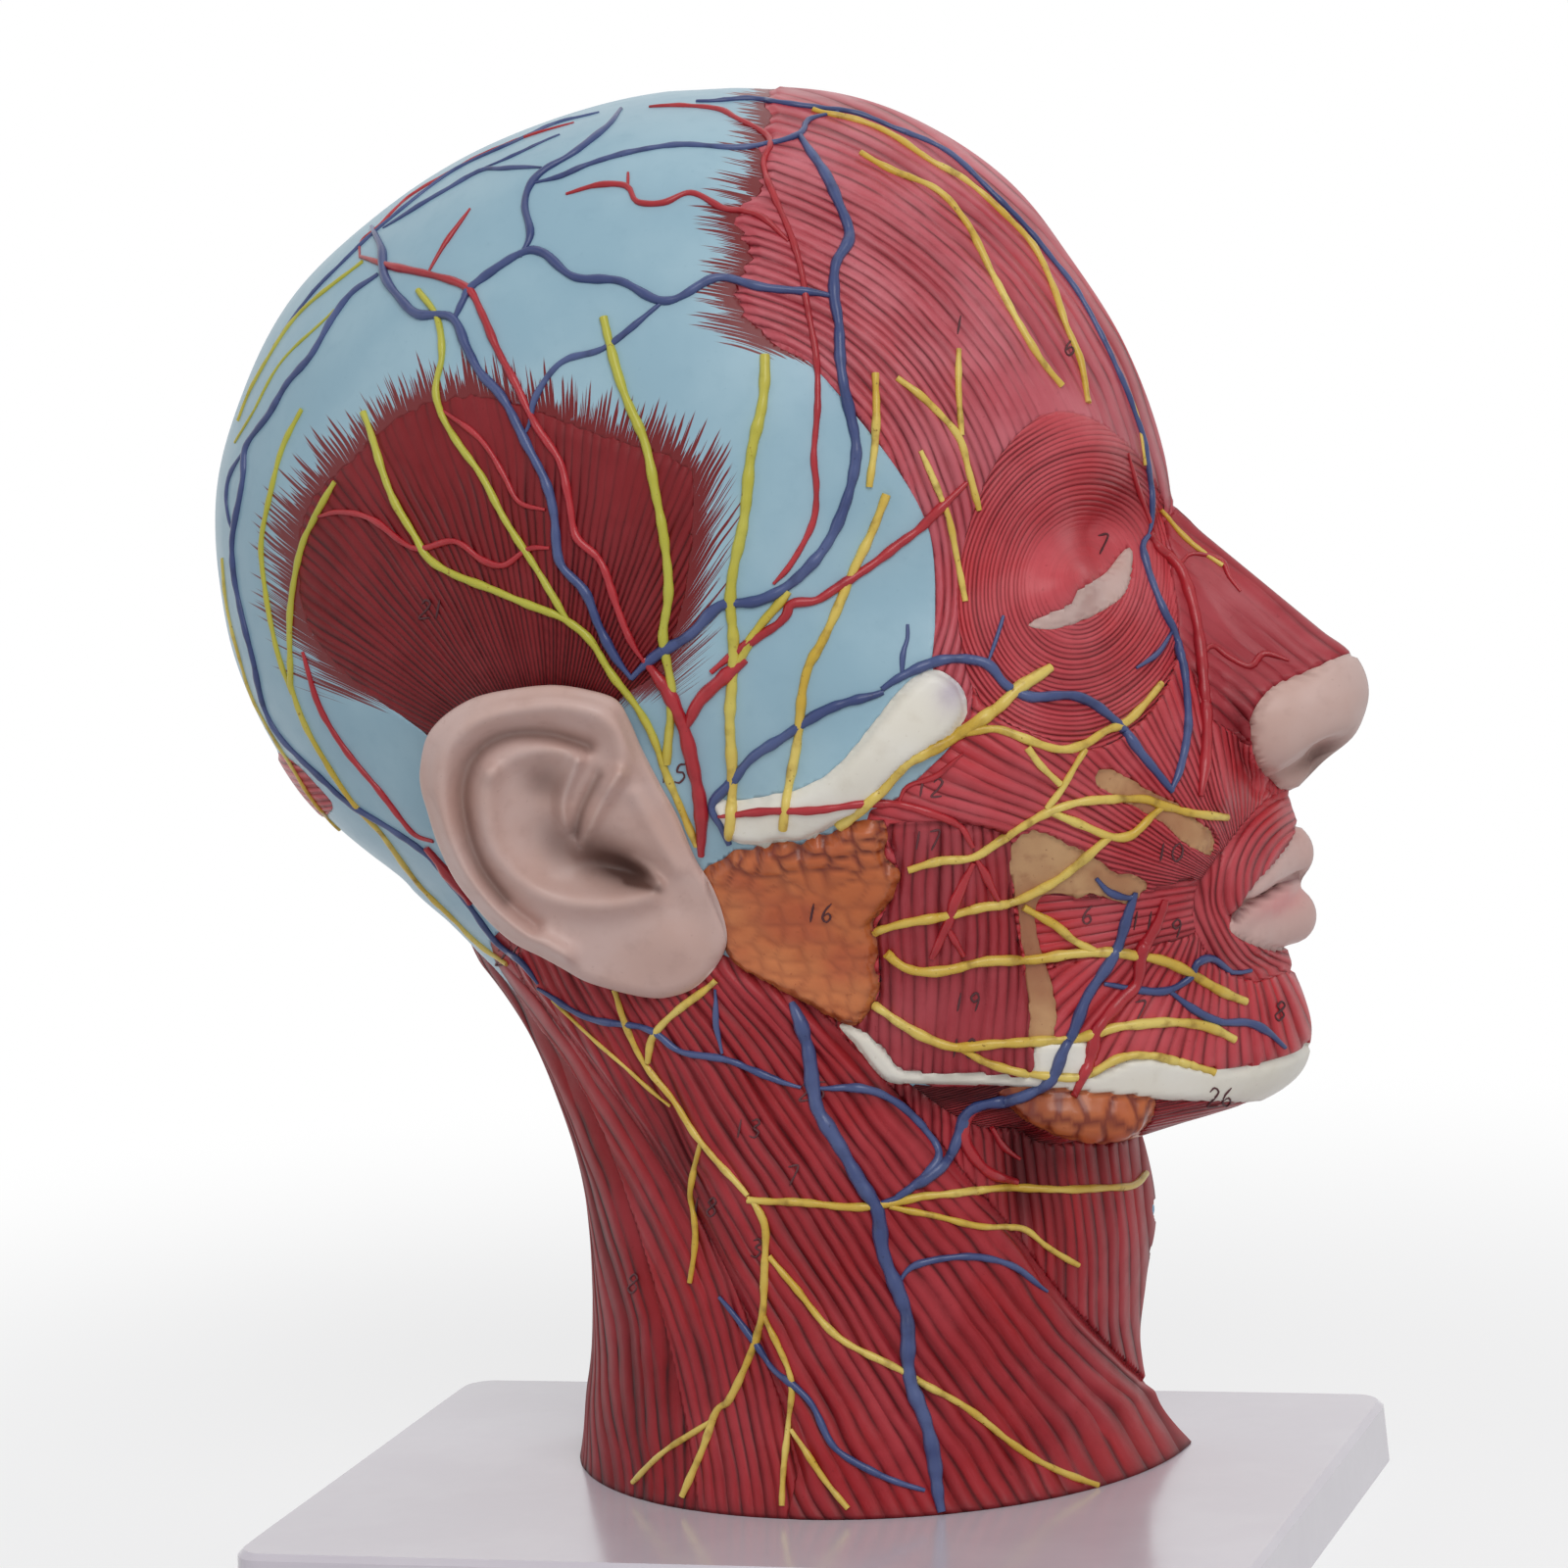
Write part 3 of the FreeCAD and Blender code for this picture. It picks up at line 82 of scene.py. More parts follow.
# Level rings of the head: height, rear, front, half breadth, widest place, and fullness in front and behind.
HEAD_SHARES = (
    (0.250, 0.225, 0.425, 0.470, 0.265, 2.00, 2.20),
    (0.271, 0.155, 0.485, 0.570, 0.215, 2.00, 2.30),
    (0.300, 0.095, 0.505, 0.635, 0.175, 2.00, 2.40),
    (0.330, 0.000, 0.500, 0.675, 0.135, 2.00, 2.40),
    (0.368, -0.200, 0.492, 0.715, 0.065, 2.05, 2.20),
    (0.407, -0.360, 0.508, 0.765, 0.025, 2.10, 2.10),
    (0.450, -0.450, 0.510, 0.830, -0.005, 2.15, 2.10),
    (0.493, -0.515, 0.488, 0.895, -0.045, 2.30, 2.10),
    (0.543, -0.555, 0.456, 0.948, -0.075, 2.40, 2.15),
    (0.600, -0.583, 0.424, 0.987, -0.100, 2.40, 2.20),
    (0.660, -0.595, 0.401, 1.000, -0.115, 2.25, 2.20),
    (0.725, -0.592, 0.390, 0.993, -0.125, 2.20, 2.20),
    (0.800, -0.555, 0.357, 0.948, -0.125, 2.20, 2.20),
    (0.868, -0.496, 0.302, 0.857, -0.120, 2.15, 2.15),
    (0.920, -0.409, 0.248, 0.740, -0.105, 2.10, 2.10),
    (0.960, -0.312, 0.173, 0.600, -0.085, 2.05, 2.05),
    (0.986, -0.208, 0.090, 0.400, -0.065, 2.00, 2.00),
    (1.000, -0.070, -0.070, 0.000, -0.070, 2.00, 2.00),
)
NECK_SHARES = (
    (0.000, -0.268, 0.373, 0.838, 0.055, 2.00, 2.00),
    (0.030, -0.258, 0.336, 0.812, 0.055, 2.00, 2.00),
    (0.071, -0.245, 0.322, 0.779, 0.050, 2.10, 2.00),
    (0.121, -0.236, 0.332, 0.760, 0.045, 2.10, 2.10),
    (0.171, -0.235, 0.345, 0.747, 0.040, 2.10, 2.10),
    (0.221, -0.242, 0.337, 0.740, 0.035, 2.10, 2.10),
    (0.271, -0.261, 0.315, 0.740, 0.025, 2.10, 2.10),
    (0.329, -0.295, 0.287, 0.740, 0.010, 2.10, 2.10),
    (0.379, -0.345, 0.265, 0.753, -0.005, 2.10, 2.10),
    (0.429, -0.418, 0.225, 0.753, -0.025, 2.10, 2.10),
)
# Where the spokes of a ring start, by height share.
SPOKE_CENTERS = ((0.0, 10.0), (0.30, 10.0), (0.45, 0.0), (0.70, -20.0), (1.0, -14.0))

# The camera that took the photograph: its place in the frame, its angles and its focal length in pixels.
CAMERA_PLACE = (345.1, -1116.2, 315.2)
CAMERA_YAW = 16.98
CAMERA_PITCH = 7.84
CAMERA_ROLL = -3.24
FOCAL_PIXELS = 6000.0
PHOTO_SIZE = 1600


class PhotoCamera:
    """The photograph's camera, which turns places into pixels and pixels into rays."""

    def __init__(self) -> None:
        yaw, pitch, roll = (math.radians(a) for a in (CAMERA_YAW, CAMERA_PITCH, CAMERA_ROLL))
        back = Vector((math.sin(yaw) * math.cos(pitch), -math.cos(yaw) * math.cos(pitch), math.sin(pitch)))
        forward = -back
        level = forward.cross(Vector((0, 0, 1))).normalized()
        upright = level.cross(forward).normalized()
        self.place = Vector(CAMERA_PLACE)
        self.right = level * math.cos(roll) + upright * math.sin(roll)
        self.up = upright * math.cos(roll) - level * math.sin(roll)
        self.forward = forward

    def pixels(self, points: np.ndarray) -> np.ndarray:
        """Project places onto the photograph.

        Args:
            points: places in millimetres, one row each.

        Returns:
            One row of two pixel coordinates for each place.
        """
        local = points - np.array(self.place)
        depth = local @ np.array(self.forward)
        across = local @ np.array(self.right)
        upward = local @ np.array(self.up)
        half = PHOTO_SIZE / 2
        return np.stack((half + FOCAL_PIXELS * across / depth, half - FOCAL_PIXELS * upward / depth), axis=1)

    def ray(self, pixel: Sequence[float]) -> Vector:
        """Return the direction in which a pixel looks.

        Args:
            pixel: its two coordinates in the photograph.

        Returns:
            A vector of length one.
        """
        half = PHOTO_SIZE / 2
        across, upward = (pixel[0] - half) / FOCAL_PIXELS, (half - pixel[1]) / FOCAL_PIXELS
        return (self.forward + self.right * across + self.up * upward).normalized()

    def build(self) -> bpy.types.Object:
        """Add the camera to the scene and make it the active one."""
        bpy.ops.object.camera_add(location=self.place * MM)
        camera = bpy.context.object
        axes = Matrix((self.right, self.up, -self.forward)).transposed()
        camera.rotation_euler = axes.to_euler()
        camera.data.sensor_width = 36.0
        camera.data.lens = camera.data.sensor_width * FOCAL_PIXELS / PHOTO_SIZE
        camera.data.clip_end = 10.0
        bpy.context.scene.camera = camera
        return camera


PHOTO = PhotoCamera()


# Numbers for surfaces

# How far from an outline, in pixels, its distance is still worked out.
OUTLINE_REACH = 60.0


def ease(values: np.ndarray, low: float, high: float) -> np.ndarray:
    """Return a smooth step from 0 at low to 1 at high."""
    t = np.clip((values - low) / (high - low), 0.0, 1.0)
    return t * t * (3.0 - 2.0 * t)


def soft_min(a: np.ndarray, b: np.ndarray, width: float) -> np.ndarray:
    """Return the smaller of two distances, rounded where they are close."""
    h = np.clip(1.0 - np.abs(a - b) / width, 0.0, 1.0)
    return np.minimum(a, b) - h * h * width * 0.25


# Large numbers that scatter the cells of the noise.
SCATTER_ACROSS = 127.1
SCATTER_UP = 311.7
SCATTER_SCALE = 43758.5453


def lattice_noise(x: np.ndarray, y: np.ndarray, seed: float = 0.0) -> np.ndarray:
    """Return smooth noise from -1 to 1 on a plane."""
    cell_x, cell_y = np.floor(x), np.floor(y)
    fade_x, fade_y = ease(x - cell_x, 0.0, 1.0), ease(y - cell_y, 0.0, 1.0)

    def corner(dx: int, dy: int) -> np.ndarray:
        spot = (cell_x + dx) * SCATTER_ACROSS + (cell_y + dy) * SCATTER_UP + seed * 74.7
        value = np.sin(spot) * SCATTER_SCALE
        return value - np.floor(value)

    low = corner(0, 0) * (1 - fade_x) + corner(1, 0) * fade_x
    high = corner(0, 1) * (1 - fade_x) + corner(1, 1) * fade_x
    return 2.0 * (low * (1 - fade_y) + high * fade_y) - 1.0


def cell_tops(x: np.ndarray, y: np.ndarray, seed: float) -> np.ndarray:
    """Return 0 on the seams between rounded cells of a plane and 1 on their tops."""
    nearest, second = np.full(len(x), 9.0), np.full(len(x), 9.0)
    for step_x in (-1, 0, 1):
        for step_y in (-1, 0, 1):
            cell_x, cell_y = np.floor(x) + step_x, np.floor(y) + step_y
            value = np.sin(cell_x * SCATTER_ACROSS + cell_y * SCATTER_UP + seed) * SCATTER_SCALE
            value = value - np.floor(value)
            other = value * 57.3 - np.floor(value * 57.3)
            away = np.hypot(cell_x + 0.15 + 0.7 * value - x, cell_y + 0.15 + 0.7 * other - y)
            second = np.minimum(second, np.maximum(nearest, away))
            nearest = np.minimum(nearest, away)
    return ease(second - nearest, 0.0, 0.45)


def rounded_outline(outline: Outline, steps: int = 3) -> np.ndarray:
    """Return a closed outline with points added along a smooth curve through its corners."""
    points = np.array(outline, dtype=float)
    before, after, far = np.roll(points, 1, 0), np.roll(points, -1, 0), np.roll(points, -2, 0)
    rows = []
    for step in range(steps):
        t = step / steps
        rows.append(0.5 * (2 * points + (after - before) * t
                           + (2 * before - 5 * points + 4 * after - far) * t ** 2
                           + (3 * points - before - 3 * after + far) * t ** 3))
    return np.stack(rows, axis=1).reshape(-1, 2)


def smooth_route(route: Outline, spacing: float = 7.0) -> np.ndarray:
    """Return an open route with evenly spaced points along a smooth curve through its points."""
    points = np.array(route, dtype=float)
    padded = np.vstack((2 * points[0] - points[1], points, 2 * points[-1] - points[-2]))
    rows = [points[0]]
    for k in range(len(points) - 1):
        a, b, c, d = padded[k:k + 4]
        count = max(int(np.linalg.norm(c - b) / spacing), 1)
        for step in range(1, count + 1):
            t = step / count
            rows.append(0.5 * (2 * b + (c - a) * t + (2 * a - 5 * b + 4 * c - d) * t ** 2
                               + (3 * b - a - 3 * c + d) * t ** 3))
    return np.array(rows)


def route_distance(pixels: np.ndarray, route: np.ndarray) -> np.ndarray:
    """Return each pixel's distance to an open route."""
    best = np.full(len(pixels), 1e9)
    for a, b in zip(route, route[1:]):
        run = b - a
        t = np.clip(((pixels - a) @ run) / max(run @ run, 1e-9), 0.0, 1.0)
        best = np.minimum(best, np.linalg.norm(pixels - a - t[:, None] * run, axis=1))
    return best


def outline_distance(pixels: np.ndarray, outline: np.ndarray, reach: float = OUTLINE_REACH) -> np.ndarray:
    """Return each pixel's distance to a closed outline, negative inside, and just a large value far away."""
    result = np.full(len(pixels), reach)
    low, high = outline.min(axis=0) - reach, outline.max(axis=0) + reach
    near = np.all((pixels > low) & (pixels < high), axis=1)
    part = pixels[near]
    ring = np.vstack((outline, outline[:1]))
    distance = route_distance(part, ring)
    inside = np.zeros(len(part), dtype=bool)
    for (ax, ay), (bx, by) in zip(ring, ring[1:]):
        crosses = (ay > part[:, 1]) != (by > part[:, 1])
        rise = by - ay if by != ay else 1e-9
        inside ^= crosses & (part[:, 0] < (bx - ax) * (part[:, 1] - ay) / rise + ax)
    result[near] = np.where(inside, -distance, distance)
    return result


# Sculpted form of the head


@dataclass(frozen=True)
class Stick:
    """A rounded bar between two places (x, depth behind the cut plane, height above the board)."""

    start: Tuple[float, float, float]
    start_radius: float
    end: Tuple[float, float, float]
    end_radius: float
    blend: float

    def distance(self, x: np.ndarray, depth: np.ndarray, height: np.ndarray) -> np.ndarray:
        """Return the distance of places to the bar's skin."""
        start, run = np.array(self.start), np.array(self.end) - np.array(self.start)
        px, py, pz = x - start[0], depth - start[1], height - start[2]
        t = np.clip((px * run[0] + py * run[1] + pz * run[2]) / max(run @ run, 1e-9), 0.0, 1.0)
        away = np.sqrt((px - t * run[0]) ** 2 + (py - t * run[1]) ** 2 + (pz - t * run[2]) ** 2)
        return away - (self.start_radius + t * (self.end_radius - self.start_radius))


@dataclass(frozen=True)
class Egg:
    """A rounded lump about a place (x, depth behind the cut plane, height above the board)."""

    center: Tuple[float, float, float]
    radii: Tuple[float, float, float]
    blend: float

    def distance(self, x: np.ndarray, depth: np.ndarray, height: np.ndarray) -> np.ndarray:
        """Return about the distance of places to the lump's skin."""
        u = (x - self.center[0]) / self.radii[0]
        v = (depth - self.center[1]) / self.radii[1]
        w = (height - self.center[2]) / self.radii[2]
        return (np.sqrt(u * u + v * v + w * w) - 1.0) * min(self.radii)


@dataclass(frozen=True)
class Brush:
    """A soft stroke that lifts or sinks the surface about a pixel."""

    center: Pixel
    radii: Tuple[float, float]
    turn: float
    lift: float

    def heights(self, pixels: np.ndarray) -> np.ndarray:
        """Return the lift at each pixel."""
        angle = math.radians(self.turn)
        dx, dy = pixels[:, 0] - self.center[0], pixels[:, 1] - self.center[1]
        u = (dx * math.cos(angle) + dy * math.sin(angle)) / self.radii[0]
        v = (dy * math.cos(angle) - dx * math.sin(angle)) / self.radii[1]
        return self.lift * np.exp(-(u * u + v * v))


@dataclass(frozen=True)
class Stroke:
    """A ridge, or a furrow, along a route of pixels."""

    route: Outline
    width: float
    lift: float

    def heights(self, pixels: np.ndarray) -> np.ndarray:
        """Return the lift at each pixel."""
        return self.lift * np.exp(-(route_distance(pixels, smooth_route(self.route)) / self.width) ** 2)


# Nose, lips and chin, as lumps that the head's rings are joined with.
FACE_LUMPS = (
    Stick((79.8, 0.0, 184.8), 5.0, (106.6, 0.0, 157.6), 8.0, 6.0),
    Stick((72.0, 5.0, 178.0), 8.0, (92.5, 7.0, 152.0), 9.0, 7.0),
    Stick((108.7, 0.0, 154.6), 8.5, (107.6, 2.5, 152.5), 8.3, 3.0),
    Egg((97.2, 10.0, 149.5), (10.5, 6.8, 9.0), 5.0),
    Stick((110.0, 0.0, 149.0), 4.0, (98.4, 0.0, 138.5), 4.5, 4.0),
    Stick((99.6, 0.0, 122.2), 5.2, (93.0, 14.0, 120.5), 4.2, 1.6),
    Stick((93.0, 14.0, 120.5), 4.2, (81.0, 26.0, 114.0), 1.6, 1.6),
    Stick((99.6, 0.0, 109.4), 5.2, (93.0, 14.0, 108.6), 4.6, 1.6),
    Stick((93.0, 14.0, 108.6), 4.6, (81.0, 26.0, 110.4), 1.8, 1.6),
    Egg((86.4, 2.0, 87.5), (14.5, 17.0, 13.0), 7.0),
)
MOUTH_LINE = ((1345, 890), (1325, 893), (1310, 901), (1297, 910), (1283, 918), (1270, 926), (1259, 938))

# Orbit, brow, cheek, temple, jaw, nostril and mouth, as strokes on the photograph.
FACE_BRUSHES = (
    Brush((1132, 560), (50, 66), 20, -7.0),
    Brush((1152, 530), (24, 34), 10, -3.5),
    Brush((1090, 594), (46, 32), -32, 6.2),
    Brush((1100, 455), (78, 30), 38, 2.2),
    Brush((1150, 700), (40, 60), 35, -1.8),
    Brush((1060, 760), (75, 42), -20, 2.6),
    Brush((930, 600), (85, 110), 0, -2.4),
    Brush((860, 795), (115, 30), -33, 2.4),
    Brush((1050, 930), (70, 75), 0, -2.6),
    Brush((940, 980), (60, 90), 0, 1.6),
    Brush((1262, 850), (18, 60), 30, -1.8),
    Brush((1236, 925), (18, 26), 0, -2.2),
    Brush((1300, 985), (34, 12), 0, -1.2),
    Brush((1344, 768), (30, 9), -33, -3.2),
    Brush((1046, 1210), (26, 80), -8, -4.5),
    Brush((700, 1180), (22, 90), -22, -2.6),
    Brush((622, 880), (52, 36), 25, -5.0),
    Stroke(MOUTH_LINE, 5.5, -2.4),
    Stroke(((1232, 690), (1236, 760), (1240, 815)), 9.0, 1.6),
    Stroke(((1262, 735), (1268, 775), (1288, 805)), 9.0, -1.8),
)

# Painted shade: places where the paint is darkened because shade falls there, in the orbit's corner, the
# nostril, beside the ala, the neck's hollows and furrows, the mouth line, under the jaw and behind the ear.
SHADES = (
    Brush((1146, 512), (22, 34), 10, 0.2),
    Brush((1344, 768), (28, 8), -33, 0.9),
    Brush((1160, 470), (13, 60), -10, 0.35),
    Brush((1266, 750), (10, 60), 0, 0.5),
    Brush((1046, 1200), (30, 70), -5, 0.8),
    Brush((980, 1118), (130, 13), 3, 0.75),
    Brush((560, 745), (120, 30), 0, 0.6),
    Brush((700, 1180), (20, 100), -22, 0.6),
    Stroke(MOUTH_LINE, 4.0, 0.9),
)

# Places where one muscle runs into the next with no step.
MERGES = (
    Brush((1100, 430), (110, 48), 15, 1.4),
    Brush((980, 560), (26, 120), 5, 0.9),
    Brush((1060, 760), (90, 26), 0, 0.8),
)

# Places where the fibres are smoothed away; there the paint is also made lighter, as painted light on the
# smooth faces.
CALMS = (
    Brush((1080, 412), (74, 32), 20, 0.9),
    Brush((1075, 270), (60, 60), 40, 0.4),
    Brush((1094, 574), (66, 46), -30, 1.1),
    Brush((1100, 590), (140, 150), 0, 0.3),
    Brush((1250, 625), (90, 50), 38, 1.0),
    Brush((1290, 795), (26, 42), 0, 0.8),
    Brush((470, 440), (150, 55), -10, 0.8),
    Brush((650, 490), (60, 60), 0, 0.8),
    Brush((985, 1045), (62, 45), 0, 0.7),
    Brush((870, 640), (30, 60), 0, 0.3),
)


class HeadForm:
    """The outer surface of the head and neck on a grid of level rings and spokes."""

    def __init__(self) -> None:
        self.heights = self._ring_heights()
        spokes = np.linspace(0.0, 1.0, SPOKE_COUNT + 1)
        self.angles = np.pi * (spokes - FRONT_CROWDING * np.sin(np.pi * spokes) / np.pi)
        self.neckness = np.zeros((len(self.heights), len(self.angles)))
        self.points = self._cast()
        self.normals = self._normals(self.points)
        self.pixels = PHOTO.pixels(self.points.reshape(-1, 3)).reshape(self.points.shape[:2] + (2,))
        self._stroke()
        self.pixels = self._laid_flat()
        LOG.info("form: %d rings of %d spokes", len(self.heights), len(self.angles))

    @staticmethod
    def _ring_heights() -> np.ndarray:
        """Return height shares, even up the side and closer over the crown."""
        side_share = 0.66
        side_count = int(RING_COUNT * 0.56)
        side = np.linspace(0.0, side_share, side_count, endpoint=False)
        lean = np.linspace(0.0, math.pi / 2, RING_COUNT - side_count)
        return np.concatenate((side, side_share + (0.99999 - side_share) * np.sin(lean)))

    @staticmethod
    def _rows(table: Sequence[Sequence[float]], heights: np.ndarray) -> np.ndarray:
        """Return a table's columns at other heights, along a curve that stays round at the crown."""
        rows = np.array(table)

        def spread(share: np.ndarray) -> np.ndarray:
            return 1.0 - np.sqrt(np.clip(1.0 - share, 0.0, 1.0))

        knots = spread(rows[:, 0])
        place = np.clip(spread(heights), knots[0], knots[-1])
        index = np.clip(np.searchsorted(knots, place, side="right") - 1, 0, len(knots) - 2)
        width = (knots[index + 1] - knots[index])[:, None]
        t = ((place - knots[index]) / width[:, 0])[:, None]
        slopes = np.gradient(rows[:, 1:], knots, axis=0)
        low, high = rows[index, 1:], rows[index + 1, 1:]
        return ((2 * t ** 3 - 3 * t ** 2 + 1) * low + (t ** 3 - 2 * t ** 2 + t) * slopes[index] * width
                + (3 * t ** 2 - 2 * t ** 3) * high + (t ** 3 - t ** 2) * slopes[index + 1] * width)

    @staticmethod
    def _ring_distance(row: np.ndarray, x: np.ndarray, depth: np.ndarray) -> np.ndarray:
        """Return the distance of places to one ring, measured from the ring's widest place."""
        rear, front, widest = (row[k] * HEAD_LENGTH for k in (0, 1, 3))
        half = row[2] * HALF_BREADTH
        ahead = x >= widest
        span = np.where(ahead, max(front - widest, 0.05), max(widest - rear, 0.05))
        power = np.where(ahead, row[4], row[5])
        norm = ((np.abs(x - widest) / span) ** power + (depth / max(half, 0.05)) ** power) ** (1.0 / power)
        away = np.hypot(x - widest, depth)
        return away * (1.0 - 1.0 / np.maximum(norm, 1e-6))

    def _cast(self) -> np.ndarray:
        """Find the outermost skin along every spoke of every ring."""
        head_rows = self._rows(HEAD_SHARES, self.heights)
        neck_rows = self._rows(NECK_SHARES, self.heights)
        centers = np.interp(self.heights, *zip(*SPOKE_CENTERS))
        points = np.zeros((len(self.heights), len(self.angles), 3))
        cosine, sine = np.cos(self.angles), np.sin(self.angles)
        for k, share in enumerate(self.heights):
            height = share * CROWN_HEIGHT

            def skin(radius: np.ndarray, spread: Tuple[np.ndarray, np.ndarray]) -> Tuple[np.ndarray,
                                                                                         np.ndarray]:
                x, depth = centers[k] + radius * spread[0], radius * spread[1]
                head = self._ring_distance(head_rows[k], x, depth)
                head = -soft_min(-head, np.full_like(x, height - HEAD_SHARES[0][0] * CROWN_HEIGHT),
                                 JOINT_WIDTH)
                neck = self._ring_distance(neck_rows[k], x, depth)
                neck = -soft_min(-neck, np.full_like(x, NECK_SHARES[-1][0] * CROWN_HEIGHT - height),
                                 JOINT_WIDTH)
                for lump in FACE_LUMPS:
                    head = soft_min(head, lump.distance(x, depth, np.full_like(x, height)), lump.blend)
                return soft_min(head, neck, JOINT_WIDTH), neck - head

            trial = np.arange(SPOKE_REACH, -0.1, -SPOKE_STEP)[:, None]
            values, _ = skin(trial + 0 * cosine[None, :], (cosine[None, :], sine[None, :]))
            first = np.argmax(values < 0.0, axis=0)
            low, high = trial[first, 0], trial[np.maximum(first - 1, 0), 0]
            for _ in range(SPOKE_HALVINGS):
                middle = (low + high) / 2
                value, _ = skin(middle, (cosine, sine))
                low, high = np.where(value < 0.0, middle, low), np.where(value < 0.0, high, middle)
            radius = np.where(values.min(axis=0) < 0.0, (low + high) / 2, 0.0)
            self.neckness[k] = -skin(radius, (cosine, sine))[1]
            points[k, :, 0] = centers[k] + radius * cosine
            points[k, :, 1] = CUT_PLANE - radius * sine
            points[k, :, 2] = BOARD_TOP + height
        return points

    @staticmethod
    def _normals(points: np.ndarray) -> np.ndarray:
        """Return outward normals of the grid, flat in the cut plane at both ends of a ring."""
        normals = np.cross(np.gradient(points, axis=0), np.gradient(points, axis=1))
        normals /= np.maximum(np.linalg.norm(normals, axis=2, keepdims=True), 1e-9)
        outward = points - np.array((0.0, CUT_PLANE, 150.0))
        if np.sum(normals[200, 100] * outward[200, 100]) < 0:
            normals = -normals
        for column in (0, -1):
            normals[:, column, 1] = 0.0
            length = np.linalg.norm(normals[:, column], axis=1, keepdims=True)
            normals[:, column] /= np.maximum(length, 1e-9)
        return normals

    def _stroke(self) -> None:
        """Lift and sink the face with its brushes, and read normals and pixels again."""
        flat = self.pixels.reshape(-1, 2)
        lift = sum(brush.heights(flat) for brush in FACE_BRUSHES).reshape(self.points.shape[:2])
        facing = np.clip(-self.normals[..., 1] * 4.0, 0.0, 1.0)
        self.points = self.points + self.normals * (lift * facing)[..., None]
        self.normals = self._normals(self.points)
        self.pixels = PHOTO.pixels(self.points.reshape(-1, 3)).reshape(self.points.shape[:2] + (2,))

    def _laid_flat(self) -> np.ndarray:
        """Return the pixels, carried on past the rear edge of each ring as if the skin lay flat there."""
        moves = np.diff(self.pixels[..., 0], axis=1)
        steps = np.linalg.norm(np.diff(self.points, axis=1), axis=2) * PIXELS_PER_MM
        slopes = -moves / np.maximum(steps, 1e-6)
        turned = GRAZING_SLOPE + (1.0 - GRAZING_SLOPE) * ease(GRAZING_SLOPE - slopes, 0.0, GRAZING_BLEND)
        turned = np.where(slopes < GRAZING_SLOPE, -turned * steps, moves)
        moves[:, SPOKE_COUNT // 2:] = turned[:, SPOKE_COUNT // 2:]
        pixels = self.pixels.copy()
        pixels[:, 1:, 0] = pixels[:, :1, 0] + np.cumsum(moves, axis=1)
        return pixels


# Fibres and regions


class Grain(Enum):
    """How the fibres of a region run."""

    RINGS = "rings about a pixel"
    FAN = "rays from a pixel"


PIXELS_PER_MM = 5.0
# How fibres wander: their share of a fibre's pitch, and the size in pixels of a coarse and of a fine bend.
WANDER_SHARE = 0.32
COARSE_BEND = 90.0
FINE_BEND = 30.0
FINE_BEND_SHARE = 0.25


@dataclass(frozen=True)
class Fibres:
    """The run of a region's fibres.

    The center is a pixel. The pitch is in millimetres for rings and in degrees for rays. After every so many
    fibres, the bundle, the surface has a groove of that depth in millimetres.
    """

    grain: Grain
    center: Pixel
    pitch: float
    bundle: float = 0.0
    groove: float = 0.0
    stretch: float = 1.0
    turn: float = 0.0

    def coordinates(self, pixels: np.ndarray) -> np.ndarray:
        """Return how many fibres across and how many millimetres along each pixel lies.

        Args:
            pixels: pixel coordinates, one row each.

        Returns:
            One row of across and along for each pixel.
        """
        angle = math.radians(self.turn)
        dx, dy = pixels[:, 0] - self.center[0], pixels[:, 1] - self.center[1]
        across = (dx * math.cos(angle) + dy * math.sin(angle)) / self.stretch
        upward = dy * math.cos(angle) - dx * math.sin(angle)
        radius, bearing = np.hypot(across, upward), np.arctan2(upward, across)
        if self.grain is Grain.RINGS:
            count = radius / PIXELS_PER_MM / self.pitch
            along = np.abs(bearing) * radius.mean() / PIXELS_PER_MM
        else:
            count, along = np.degrees(bearing) / self.pitch, radius / PIXELS_PER_MM
        wander = lattice_noise(pixels[:, 0] / COARSE_BEND, pixels[:, 1] / COARSE_BEND, 4.0)
        wander = wander + FINE_BEND_SHARE * lattice_noise(pixels[:, 0] / FINE_BEND,
                                                          pixels[:, 1] / FINE_BEND, 6.0)
        return np.stack((count + WANDER_SHARE * wander, along), axis=1)


@dataclass(frozen=True)
class Region:
    """One piece of the outer skin: its node, outlines on the photograph, relief, fibres and finish."""

    node: str
    outlines: Tuple[Outline, ...]
    finish: str
    rise: float = 1.2
    edge: float = 7.0
    ragged: float = 0.0
    fibres: Optional[Fibres] = None
    zone: int = 0
    reach: float = 0.0
    lobes: float = 0.0
    # Strength of the painted shade along the region's edge.
    seam: float = 0.0
    tint: Optional[Brush] = None
    fringe_heights: Tuple[float, float] = (700.0, 760.0)

    def border(self, pixels: np.ndarray, neckness: np.ndarray) -> np.ndarray:
        """Return each place's distance in pixels to the region, negative inside."""
        border = np.full(len(pixels), OUTLINE_REACH)
        for outline in self.outlines:
            border = np.minimum(border, outline_distance(pixels, rounded_outline(outline)))
        if self.ragged:
            if self.fibres:
                strands = self.fibres.coordinates(pixels)
                fringe = lattice_noise(strands[:, 0] * 1.7, strands[:, 1] * 0.05, 3.0)
                fringe = fringe + 0.6 * lattice_noise(strands[:, 0] * 3.9, strands[:, 1] * 0.1, 5.0)
            else:
                fringe = lattice_noise(pixels[:, 0] / 7.0, pixels[:, 1] / 7.0, 2.0)
            if self.fibres:
                fringe = fringe * (1.0 - ease(pixels[:, 1], *self.fringe_heights))
            border = border + self.ragged * fringe
        if self.zone:
            border = np.maximum(border, (self.zone * neckness - self.reach) * 8.0)
        return border


